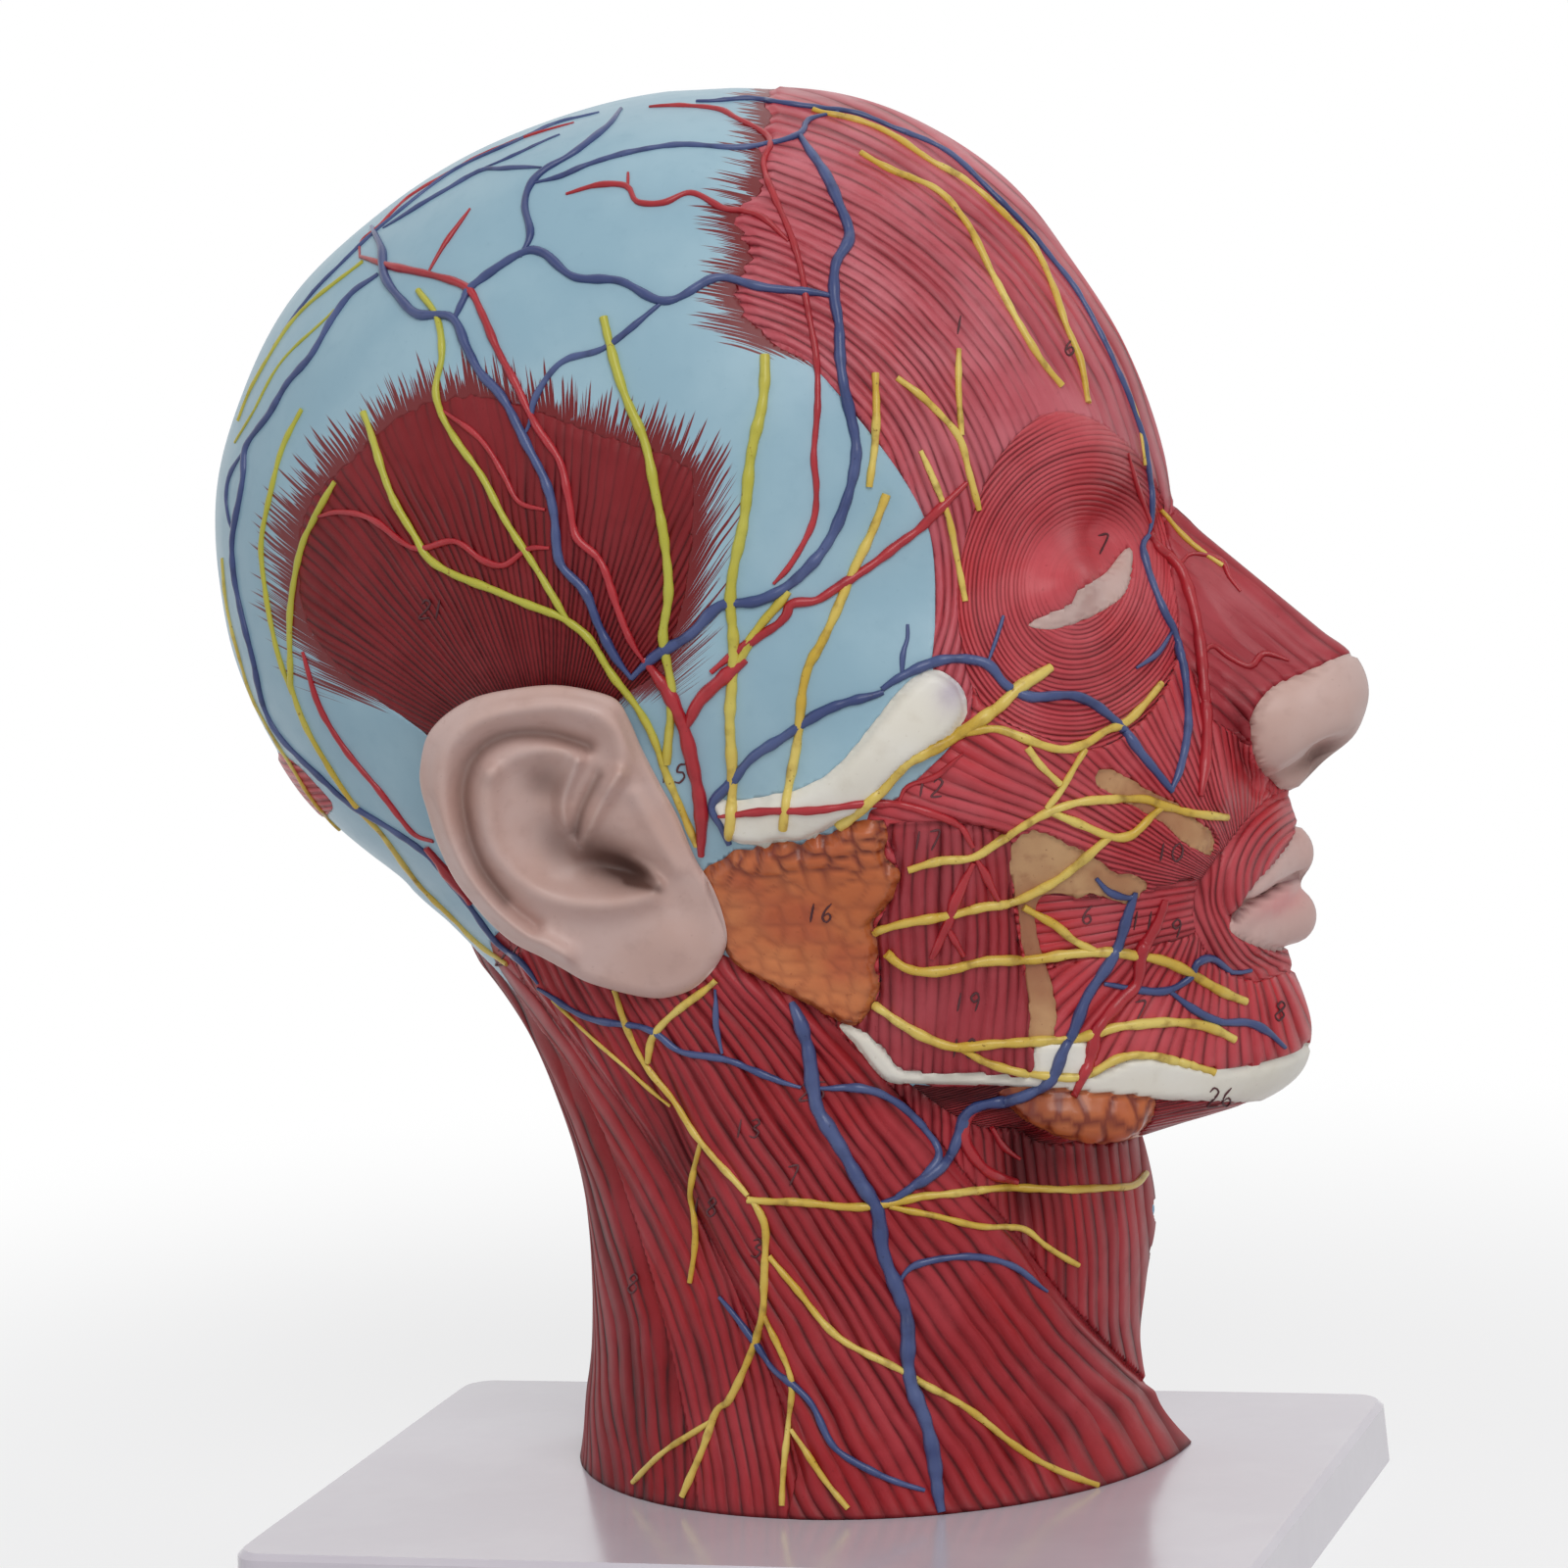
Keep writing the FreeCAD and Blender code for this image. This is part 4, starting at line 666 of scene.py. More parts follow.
EYELID = ((1048, 638), (1070, 625), (1090, 616), (1096, 604), (1110, 595), (1127, 586), (1142, 567),
          (1152, 560), (1154, 580), (1146, 607), (1127, 622), (1102, 633), (1072, 642))
NOSE_TIP = ((1300, 701), (1282, 720), (1276, 743), (1283, 775), (1300, 799), (1318, 806), (1420, 806),
            (1520, 780), (1520, 640), (1420, 648), (1390, 664), (1361, 673), (1330, 688))
LIPS = ((1326, 840), (1420, 835), (1420, 968), (1327, 963), (1306, 969), (1281, 964), (1262, 956),
        (1253, 945), (1262, 923), (1281, 897), (1297, 880), (1308, 866), (1318, 852))
ARCH = ((727, 818), (754, 816), (786, 811), (821, 803), (856, 780), (891, 738), (919, 703), (945, 684),
        (962, 686), (978, 698), (986, 716), (984, 734), (966, 755), (930, 778), (905, 800), (890, 822),
        (856, 839), (821, 857), (796, 857), (779, 862), (751, 860), (737, 846))
PAROTID = ((717, 889), (737, 876), (752, 866), (765, 868), (780, 858), (803, 857), (817, 862), (830, 851),
           (848, 851), (868, 838), (898, 836), (906, 850), (902, 871), (918, 889), (912, 913), (903, 925),
           (890, 944), (897, 966), (892, 985), (899, 1003), (888, 1030), (874, 1046), (850, 1039),
           (821, 1022), (786, 1004), (751, 984), (738, 961), (734, 941), (724, 915))
JAW = ((855, 1044), (882, 1052), (903, 1070), (920, 1090), (950, 1093), (1000, 1094), (1052, 1095),
       (1056, 1066), (1085, 1061), (1112, 1062), (1112, 1092), (1130, 1090), (1160, 1078), (1200, 1082),
       (1240, 1090), (1280, 1086), (1317, 1074), (1343, 1060), (1420, 1058), (1420, 1130), (1300, 1124),
       (1246, 1123), (1170, 1121), (1096, 1115), (1046, 1109), (990, 1106), (916, 1105), (896, 1096),
       (873, 1066))
GLAND = ((1020, 1112), (1067, 1108), (1120, 1114), (1172, 1118), (1178, 1130), (1170, 1148), (1150, 1160),
         (1120, 1166), (1084, 1160), (1050, 1145), (1030, 1128))
EYE_RING = ((1060, 425), (1016, 470), (986, 540), (976, 610), (985, 680), (1010, 728), (1060, 752),
            (1110, 764), (1150, 748), (1186, 706), (1202, 650), (1193, 575), (1183, 510), (1152, 460),
            (1108, 428))
FAN = ((632, 715), (665, 690), (690, 640), (705, 560), (707, 490), (690, 470), (650, 455), (600, 440),
       (560, 425), (500, 405), (445, 410), (400, 430), (360, 470), (320, 510), (305, 560), (310, 620),
       (335, 670), (380, 710), (430, 745), (500, 800), (600, 790))
BROW = ((860, 40), (785, 125), (775, 200), (752, 222), (766, 262), (750, 300), (780, 340), (830, 375),
        (870, 420), (915, 478), (944, 530), (953, 575), (954, 640), (953, 690), (990, 735), (1010, 650),
        (1190, 600), (1205, 512), (1500, 512), (1500, 40))
BRIDGE = ((1186, 520), (1215, 500), (1500, 500), (1500, 740), (1330, 740), (1280, 760), (1258, 748),
          (1236, 732), (1215, 690), (1196, 640), (1180, 570))
MASSETER = ((905, 842), (960, 838), (1020, 848), (1035, 870), (1032, 915), (1046, 1000), (1058, 1100),
            (990, 1104), (917, 1100), (857, 1044), (893, 1025), (898, 985), (893, 950), (905, 925),
            (917, 885))
FAT_STRIP = ((1031, 888), (1032, 862), (1053, 847), (1084, 858), (1117, 875), (1136, 889), (1157, 892),
             (1169, 904), (1150, 922), (1117, 911), (1094, 914), (1072, 911), (1058, 922), (1058, 950),
             (1066, 982), (1076, 1022), (1073, 1066), (1051, 1066), (1050, 1030), (1044, 970), (1037, 920))
FAT_PATCH = ((1117, 788), (1131, 785), (1166, 804), (1201, 822), (1224, 841), (1239, 856), (1232, 871),
             (1213, 864), (1187, 842), (1158, 824), (1131, 810), (1116, 797))
MOUTH_RING = ((1322, 806), (1420, 806), (1420, 992), (1330, 990), (1280, 1002), (1242, 985), (1218, 945),
              (1222, 900), (1252, 858), (1290, 818))
CHEEK_DEEP = ((1040, 915), (1140, 915), (1225, 895), (1232, 940), (1200, 958), (1120, 975), (1060, 985),
              (1050, 950))
CHIN = ((1046, 985), (1068, 990), (1120, 965), (1216, 940), (1245, 985), (1420, 975), (1420, 1130),
        (1050, 1130))
CHEEK = ((1000, 600), (1230, 560), (1240, 735), (1420, 700), (1420, 1010), (1030, 1110), (880, 1060),
         (880, 850), (915, 815), (980, 748), (968, 706), (985, 655))
DIGASTRIC = ((862, 1055), (916, 1104), (1046, 1108), (1170, 1117), (1246, 1119), (1296, 1114), (1345, 1088),
             (1500, 1085), (1500, 1200), (850, 1200))
OCCIPITAL_PATCH = ((-60, 765), (100, 765), (200, 766), (268, 768), (296, 775), (322, 800), (340, 826),
                   (300, 838), (200, 850), (100, 852), (-60, 852))
BROAD = ((520, 975), (560, 940), (700, 960), (740, 975), (790, 1003), (845, 1038), (865, 1062), (900, 1098),
         (945, 1150), (1000, 1217), (1040, 1266), (1075, 1312), (1120, 1362), (1160, 1402), (1190, 1412),
         (1400, 1440), (1400, 1640), (840, 1640), (815, 1500), (790, 1410), (755, 1325), (715, 1245),
         (655, 1155), (585, 1062))
TRAPEZIUS = ((-400, 912), (-100, 914), (150, 917), (300, 922), (380, 935), (455, 962), (500, 985),
             (545, 1040), (600, 1120), (650, 1250), (690, 1400), (712, 1540), (715, 1640), (380, 1640),
             (-400, 1640))
DEEP_NECK = ((500, 960), (600, 960), (760, 1200), (860, 1400), (880, 1640), (690, 1640), (560, 1100))
STRAPS = ((700, 900), (1500, 900), (1500, 1640), (900, 1640), (700, 1100))
CARTILAGE = ((1178, 1222), (1260, 1210), (1260, 1292), (1176, 1286), (1178, 1254))

REGIONS = (
    Region("eyelid", (EYELID,), "skin", 1.0, 5.0, zone=1),
    Region("nose_tip", (NOSE_TIP,), "skin", 1.1, 6.0, zone=1),
    Region("lips", (LIPS,), "lip_skin", 0.9, 7.0, zone=1, tint=Brush((1304, 920), (30, 13), -22, 1.0)),
    Region("zygomatic_arch", (ARCH,), "bone", 2.2, 11.0, 1.0, zone=1,
           tint=Brush((972, 706), (17, 24), 20, 1.0)),
    Region("parotid_gland", (PAROTID,), "gland", 2.8, 10.0, 1.5, zone=1, reach=6.0, lobes=1.0, seam=0.3),
    Region("submandibular_gland", (GLAND,), "gland", 4.6, 22.0, 0.5, lobes=0.45),
    Region("mandible", (JAW,), "bone", 1.2, 6.0, zone=1, reach=7.0),
    Region("digastric_muscle", (DIGASTRIC,), "neck_muscle", 0.4, 8.0, 0.0,
           Fibres(Grain.FAN, (-500, 1500), 0.09, 3.0, 0.3), 1, seam=0.5),
    Region("orbicularis_oculi_muscle", (EYE_RING,), "face_muscle", 0.9, 14.0, 0.0,
           Fibres(Grain.RINGS, (1102, 590), 1.05, 5.0, 0.16, 0.80, 14.0), 1),
    Region("auricular_muscle", (FAN,), "dark_muscle", 0.35, 12.0, 2.0,
           Fibres(Grain.FAN, (565, 800), 1.7, 2.0, 0.25)),
    Region("frontalis_muscle", (BROW,), "brow_muscle", 0.9, 9.0, 5.0,
           Fibres(Grain.RINGS, (675, 590), 1.9, 3.0, 0.4), 1, fringe_heights=(350.0, 400.0)),
    Region("nasalis_muscle", (BRIDGE,), "flank_muscle", 0.7, 8.0, 0.0,
           Fibres(Grain.FAN, (-500, -800), 0.35), 1),
    Region("buccal_fat_pad", (FAT_STRIP, FAT_PATCH), "fat", 0.3, 5.0, 1.5, zone=1),
    Region("masseter_muscle", (MASSETER,), "flank_muscle", 1.2, 8.0, 0.0,
           Fibres(Grain.FAN, (1010, -1500), 0.27, 2.0, 0.9), 1, seam=0.5),
    Region("orbicularis_oris_muscle", (MOUTH_RING,), "face_muscle", 1.1, 10.0, 0.0,
           Fibres(Grain.RINGS, (1352, 905), 1.7, 3.0, 0.2), 1, seam=0.2),
    Region("buccinator_muscle", (CHEEK_DEEP,), "face_muscle", 0.3, 8.0, 0.0,
           Fibres(Grain.FAN, (1500, 880), 1.4, 2.0, 0.3), 1, seam=0.5),
    Region("chin_muscles", (CHIN,), "face_muscle", 0.9, 8.0, 0.0,
           Fibres(Grain.FAN, (1245, 870), 3.4, 2.0, 0.3), 1, reach=2.0, seam=0.3),
    Region("cheek_muscles", (CHEEK,), "face_muscle", 1.1, 8.0, 0.0,
           Fibres(Grain.FAN, (1268, 912), 2.4, 3.0, 0.4), 1, reach=2.0, seam=0.2),
    Region("occipitalis_muscle", (OCCIPITAL_PATCH,), "face_muscle", 0.8, 7.0, 3.0,
           Fibres(Grain.FAN, (900, 900), 0.6)),
    Region("thyroid_cartilage", (CARTILAGE,), "cartilage", 0.8, 6.0),
    Region("sternocleidomastoid_muscle", (BROAD,), "neck_muscle", 2.4, 16.0, 0.0,
           Fibres(Grain.FAN, (300, 400), 0.76, 2.0, 0.7), seam=0.3),
    Region("trapezius_muscle", (TRAPEZIUS,), "nape_muscle", 1.4, 12.0, 0.0,
           Fibres(Grain.RINGS, (-200, 1500), 2.2, 3.0, 0.6), seam=0.3),
    Region("deep_neck_muscles", (DEEP_NECK,), "neck_muscle", 0.3, 9.0, 0.0,
           Fibres(Grain.RINGS, (-180, 1640), 2.3, 3.0, 0.5), seam=0.6),
    Region("infrahyoid_muscles", (STRAPS,), "neck_muscle", 0.8, 9.0, 0.0,
           Fibres(Grain.FAN, (900, -1500), 0.22, 4.0, 0.5), -1, seam=0.3),
)
REST = Region("scalp_aponeurosis", (), "aponeurosis", 0.0)
FRINGED = ("auricular_muscle", "frontalis_muscle")
FRINGE_END = 20.0


# Finishes


def tone(red: int, green: int, blue: int) -> Tone:
    """Return a colour of the screen, given as bytes, as the renderer's linear colour."""
    linear = [((c / 255 + 0.055) / 1.055) ** 2.4 if c > 10 else c / 255 / 12.92 for c in (red, green, blue)]
    return linear[0], linear[1], linear[2], 1.0


class Graph:
    """Adds nodes to a node tree and wires them."""

    def __init__(self, tree: bpy.types.NodeTree) -> None:
        self.tree = tree

    def add(self, kind: str, settings: Optional[Dict] = None, wires: Optional[Dict] = None) -> bpy.types.Node:
        """Add a node.

        Args:
            kind: the node's type.
            settings: the node's own properties.
            wires: input names or numbers, with an output to link or a constant to set.

        Returns:
            The node.
        """
        node = self.tree.nodes.new(kind)
        for key, value in (settings or {}).items():
            setattr(node, key, value)
        for key, value in (wires or {}).items():
            if isinstance(value, bpy.types.NodeSocket):
                self.tree.links.new(value, node.inputs[key])
            else:
                node.inputs[key].default_value = value
        return node

    def math(self, operation: str, first, second=0.0) -> bpy.types.NodeSocket:
        """Add a math node and return its value."""
        return self.add("ShaderNodeMath", {"operation": operation}, {0: first, 1: second}).outputs[0]

    def blend(self, factor, first, second, mode: str = "MIX") -> bpy.types.NodeSocket:
        """Mix two colours and return the result."""
        node = self.add("ShaderNodeMix", {"data_type": "RGBA", "blend_type": mode},
                        {0: factor, 6: first, 7: second})
        return node.outputs[2]

    def step(self, value, low: float, high: float) -> bpy.types.NodeSocket:
        """Return a smooth step of a value from 0 at low to 1 at high."""
        node = self.add("ShaderNodeMapRange", {"interpolation_type": "SMOOTHSTEP"},
                        {"Value": value, "From Min": low, "From Max": high})
        return node.outputs[0]


def fibre_group() -> bpy.types.NodeTree:
    """Return the shared group that makes ridges, grooves, streaks and strand values of fibre coordinates."""
    name = "fibre_pattern"
    if name in bpy.data.node_groups:
        return bpy.data.node_groups[name]
    tree = bpy.data.node_groups.new(name, "ShaderNodeTree")
    tree.interface.new_socket("Vector", in_out="INPUT", socket_type="NodeSocketVector")
    tree.interface.new_socket("Width", in_out="INPUT", socket_type="NodeSocketFloat")
    for output in ("Ridge", "Groove", "Streak", "Strand"):
        tree.interface.new_socket(output, in_out="OUTPUT", socket_type="NodeSocketFloat")
    graph = Graph(tree)
    source = graph.add("NodeGroupInput")
    parts = graph.add("ShaderNodeSeparateXYZ", None, {0: source.outputs["Vector"]})
    slow = graph.add("ShaderNodeMapping", None,
                     {"Vector": source.outputs["Vector"], "Scale": (0.22, 0.022, 1.0)})
    wobble = graph.add("ShaderNodeTexNoise", None, {"Vector": slow.outputs[0], "Scale": 1.0, "Detail": 1.0})
    shift = graph.math("MULTIPLY", graph.math("SUBTRACT", wobble.outputs[0], 0.5), 1.1)
    across = graph.math("ADD", parts.outputs[0], shift)
    fold = graph.math("MULTIPLY", graph.math("PINGPONG", across, 0.5), 2.0)
    away = graph.math("SUBTRACT", 1.0, fold)
    ridge = graph.math("SUBTRACT", 1.0, graph.math("MULTIPLY", away, away))
    edge = graph.add("ShaderNodeMapRange", {"interpolation_type": "SMOOTHSTEP"},
                     {"Value": fold, "From Min": 0.0, "From Max": source.outputs["Width"], "To Min": 1.0,
                      "To Max": 0.0})
    strand = graph.add("ShaderNodeTexWhiteNoise", {"noise_dimensions": "1D"},
                       {"W": graph.math("FLOOR", across)})
    broken = graph.add("ShaderNodeMapping", None,
                       {"Vector": source.outputs["Vector"], "Scale": (0.9, 0.07, 1.0)})
    gaps = graph.add("ShaderNodeTexNoise", None, {"Vector": broken.outputs[0], "Scale": 1.0, "Detail": 2.0})
    groove = graph.math("MULTIPLY", edge.outputs[0], graph.step(gaps.outputs[0], 0.36, 0.62))
    fine = graph.add("ShaderNodeMapping", None,
                     {"Vector": source.outputs["Vector"], "Scale": (3.1, 0.16, 1.0)})
    streak = graph.add("ShaderNodeTexNoise", None, {"Vector": fine.outputs[0], "Scale": 1.0, "Detail": 4.0,
                                                    "Roughness": 0.6})
    graph.add("NodeGroupOutput", None, {"Ridge": ridge, "Groove": groove, "Streak": streak.outputs[0],
                                        "Strand": strand.outputs[0]})
    return tree


def mottle_group() -> bpy.types.NodeTree:
    """Return the shared group of cloudy and speckled paint over the object's own coordinates."""
    name = "paint_mottle"
    if name in bpy.data.node_groups:
        return bpy.data.node_groups[name]
    tree = bpy.data.node_groups.new(name, "ShaderNodeTree")
    tree.interface.new_socket("Vector", in_out="INPUT", socket_type="NodeSocketVector")
    for output in ("Cloud", "Speck", "Grain", "Patch"):
        tree.interface.new_socket(output, in_out="OUTPUT", socket_type="NodeSocketFloat")
    graph = Graph(tree)
    source = graph.add("NodeGroupInput").outputs["Vector"]
    cloud = graph.add("ShaderNodeTexNoise", None, {"Vector": source, "Scale": 55.0, "Detail": 4.0})
    speck = graph.add("ShaderNodeTexNoise", None, {"Vector": source, "Scale": 900.0, "Detail": 2.0})
    grain = graph.add("ShaderNodeTexNoise", None, {"Vector": source, "Scale": 260.0, "Detail": 5.0})
    patch = graph.add("ShaderNodeTexNoise", None, {"Vector": source, "Scale": 34.0, "Detail": 3.0})
    graph.add("NodeGroupOutput", None, {"Cloud": cloud.outputs[0],
                                        "Speck": graph.step(speck.outputs[0], 0.68, 0.76),
                                        "Grain": grain.outputs[0],
                                        "Patch": graph.step(patch.outputs[0], 0.46, 0.66)})
    return tree


class Accent(Enum):
    """Where a finish carries its second paint."""

    FRINGE = "tips of the fibres that lie over the edge of the next muscle"
    PATCH = "a patch, as strong as the fibre map says"
    SCALP = "over the blue side of the head"


@dataclass(frozen=True)
class Finish:
    """Paint on cast plastic.

    The base colour runs into the light and the dark one, and into the shade tone, which is painted shade in
    hollows, in grooves and along seams. The light one also lies on the ridge tops, as dry-brushed paint and
    as a painted highlight, and on smooth places as painted light.
    Fibre is how strongly the brush follows the fibres, and relief the depth of the brushwork in millimetres.
    """

    slot: str
    base: Tone
    dark: Tone
    light: Tone
    shade_tone: Tone
    roughness: float = 0.38
    coat: float = 0.25
    fibre: float = 0.0
    width: float = 0.42
    relief: float = 0.35
    speckle: float = 0.3
    folds: float = 0.0
    flush: Optional[Tone] = None
    accent: Optional[Accent] = None
    accent_tone: Tone = (0.0, 0.0, 0.0, 1.0)

    def material(self, name: str) -> bpy.types.Material:
        """Return the finish as a material, made once."""
        name = "finish_" + name
        if name in bpy.data.materials:
            return bpy.data.materials[name]
        material = bpy.data.materials.new(name)
        material.use_nodes = True
        material.node_tree.nodes.clear()
        graph = Graph(material.node_tree)
        place = graph.add("ShaderNodeTexCoord").outputs["Object"]
        mottle = graph.add("ShaderNodeGroup", {"node_tree": mottle_group()}, {"Vector": place})
        cloud, speck, grain = (mottle.outputs[key] for key in ("Cloud", "Speck", "Grain"))
        paint = graph.add("ShaderNodeSeparateXYZ", None,
                          {0: graph.add("ShaderNodeUVMap", {"uv_map": "paint"}).outputs[0]})
        color = graph.blend(graph.step(cloud, 0.35, 0.7), self.base, self.light)
        if self.flush:
            color = graph.blend(graph.math("MULTIPLY", mottle.outputs["Patch"], 0.75), color, self.flush)
        color = graph.blend(graph.math("MULTIPLY", graph.step(grain, 0.5, 0.8), self.speckle), color,
                            self.dark)
        height = graph.math("MULTIPLY", grain, 0.12)
        if self.fibre:
            color, height = self._add_fibres(graph, paint.outputs[1], color, height)
        if self.folds:
            color, height = self._add_folds(graph, place, color, height)
        if self.accent:
            color = graph.blend(self._accent_share(graph, place, grain), color, self.accent_tone)
        color = graph.blend(graph.math("MULTIPLY", speck, self.speckle), color, self.dark)
        # Painted shade: the shade tone laid in hollows, grooves and along seams, as strong as the paint map
        # says.
        color = graph.blend(paint.outputs[0], color, self.shade_tone)
        bump = graph.add("ShaderNodeBump", None,
                         {"Height": height, "Strength": 1.0, "Distance": self.relief * MM})
        gloss = graph.add("ShaderNodeMapRange", None, {"Value": grain, "To Min": self.roughness - 0.06,
                                                       "To Max": self.roughness + 0.12})
        shader = graph.add("ShaderNodeBsdfPrincipled", None, {
            "Base Color": color, "Roughness": gloss.outputs[0], "Coat Weight": self.coat,
            "Coat Roughness": 0.22, "Specular IOR Level": 0.26, "Normal": bump.outputs[0]})
        graph.add("ShaderNodeOutputMaterial", None, {"Surface": shader.outputs[0]})
        return material

    def _add_fibres(self, graph: Graph, depth, color, height) -> Tuple:
        """Lay ridges, grooves and brush streaks over the colour and the height, with painted highlights on
        the ridge tops, painted light on smooth places and painted shade in the grooves.
        """
        fibre = graph.add("ShaderNodeUVMap", {"uv_map": "fibre"}).outputs[0]
        pattern = graph.add("ShaderNodeGroup", {"node_tree": fibre_group()},
                            {"Vector": fibre, "Width": self.width})
        ridge, groove, streak, strand = (pattern.outputs[key] for key in ("Ridge", "Groove", "Streak",
                                                                          "Strand"))
        color = graph.blend(graph.math("MULTIPLY", graph.step(streak, 0.45, 0.75), 0.5), color, self.light)
        color = graph.blend(graph.math("MULTIPLY", graph.step(strand, 0.45, 1.0), 0.3), color, self.dark)
        # The ridge tops are lighter: partly the model's dry-brushed paint, partly a painted highlight where
        # light catches them.
        drybrush_and_highlight = graph.math("MULTIPLY", graph.math("MULTIPLY", graph.step(ridge, 0.6, 1.0), depth), 0.35)
        color = graph.blend(drybrush_and_highlight, color, self.light)
        # Painted light: smooth places, where the fibres are calmed, are made lighter, as the forehead and the
        # nose catch more light.
        color = graph.blend(graph.math("MULTIPLY", graph.math("SUBTRACT", 1.0, depth), 0.5), color,
                            self.light)
        # Painted shade in the grooves between the fibres.
        keep = graph.math("MULTIPLY", graph.math("ADD", graph.math("MULTIPLY", depth, 0.92), 0.08),
                          self.fibre)
        color = graph.blend(graph.math("MULTIPLY", groove, keep), color, self.shade_tone)
        height = graph.math("ADD", height, graph.math("MULTIPLY", streak, 0.12))
        uneven = graph.math("ADD", graph.math("MULTIPLY", strand, 0.7), 0.5)
        return color, graph.math("ADD", height,
                                 graph.math("MULTIPLY", graph.math("MULTIPLY", ridge, depth), uneven))

    def _add_folds(self, graph: Graph, place, color, height) -> Tuple:
        """Lay the folds of a gland or a brain over the colour and the height, with painted shade along the
        folds.
        """
        warp = graph.add("ShaderNodeTexNoise", None,
                         {"Vector": place, "Scale": self.folds * 0.8, "Detail": 2.0})
        moved = graph.add("ShaderNodeMix", {"data_type": "VECTOR"},
                          {0: 0.02, 4: place, 5: warp.outputs["Color"]})
        cells = graph.add("ShaderNodeTexVoronoi", {"feature": "DISTANCE_TO_EDGE"},
                          {"Vector": moved.outputs[1], "Scale": self.folds})
        seam = graph.math("SUBTRACT", 1.0, graph.step(cells.outputs["Distance"], 0.0, 0.16))
        # Painted shade along the folds.
        color = graph.blend(graph.math("MULTIPLY", seam, 0.6), color, self.dark)
        return color, graph.math("SUBTRACT", height, graph.math("MULTIPLY", seam, 1.6))

    def _accent_share(self, graph: Graph, place, grain) -> bpy.types.NodeSocket:
        """Return how much of the second paint covers the first."""
        if self.accent is Accent.SCALP:
            away = graph.add("ShaderNodeVectorMath", {"operation": "DISTANCE"}, {0: place, 1: SCALP_MIDDLE})
            return graph.math("SUBTRACT", 0.8, graph.step(away.outputs["Value"], 0.052, 0.095))
        fibre = graph.add("ShaderNodeUVMap", {"uv_map": "fibre"}).outputs[0]
        parts = graph.add("ShaderNodeSeparateXYZ", None, {0: fibre})
        if self.accent is Accent.PATCH:
            crumbs = graph.math("ADD", graph.math("MULTIPLY", grain, 0.7), 0.4)
            return graph.math("MULTIPLY", graph.math("MULTIPLY", parts.outputs[0], crumbs), 0.9)
        share = None
        for fineness, length in ((2.7, 8.5), (6.3, 7.0)):
            finer = graph.add("ShaderNodeMapping", None, {"Vector": fibre, "Scale": (fineness, 1.0, 1.0)})
            pattern = graph.add("ShaderNodeGroup", {"node_tree": fibre_group()},
                                {"Vector": finer.outputs[0], "Width": 0.5})
            reach = graph.math("MULTIPLY", graph.math("POWER", pattern.outputs["Strand"], 1.4), length)
            used = graph.math("DIVIDE", parts.outputs[1], graph.math("ADD", reach, 2.4))
            stroke = graph.step(graph.math("SUBTRACT", pattern.outputs["Ridge"], used), -0.08, 0.10)
            share = stroke if share is None else graph.math("MAXIMUM", share, stroke)
        return share


SCALP_MIDDLE = (-0.045, -0.045, 0.225)

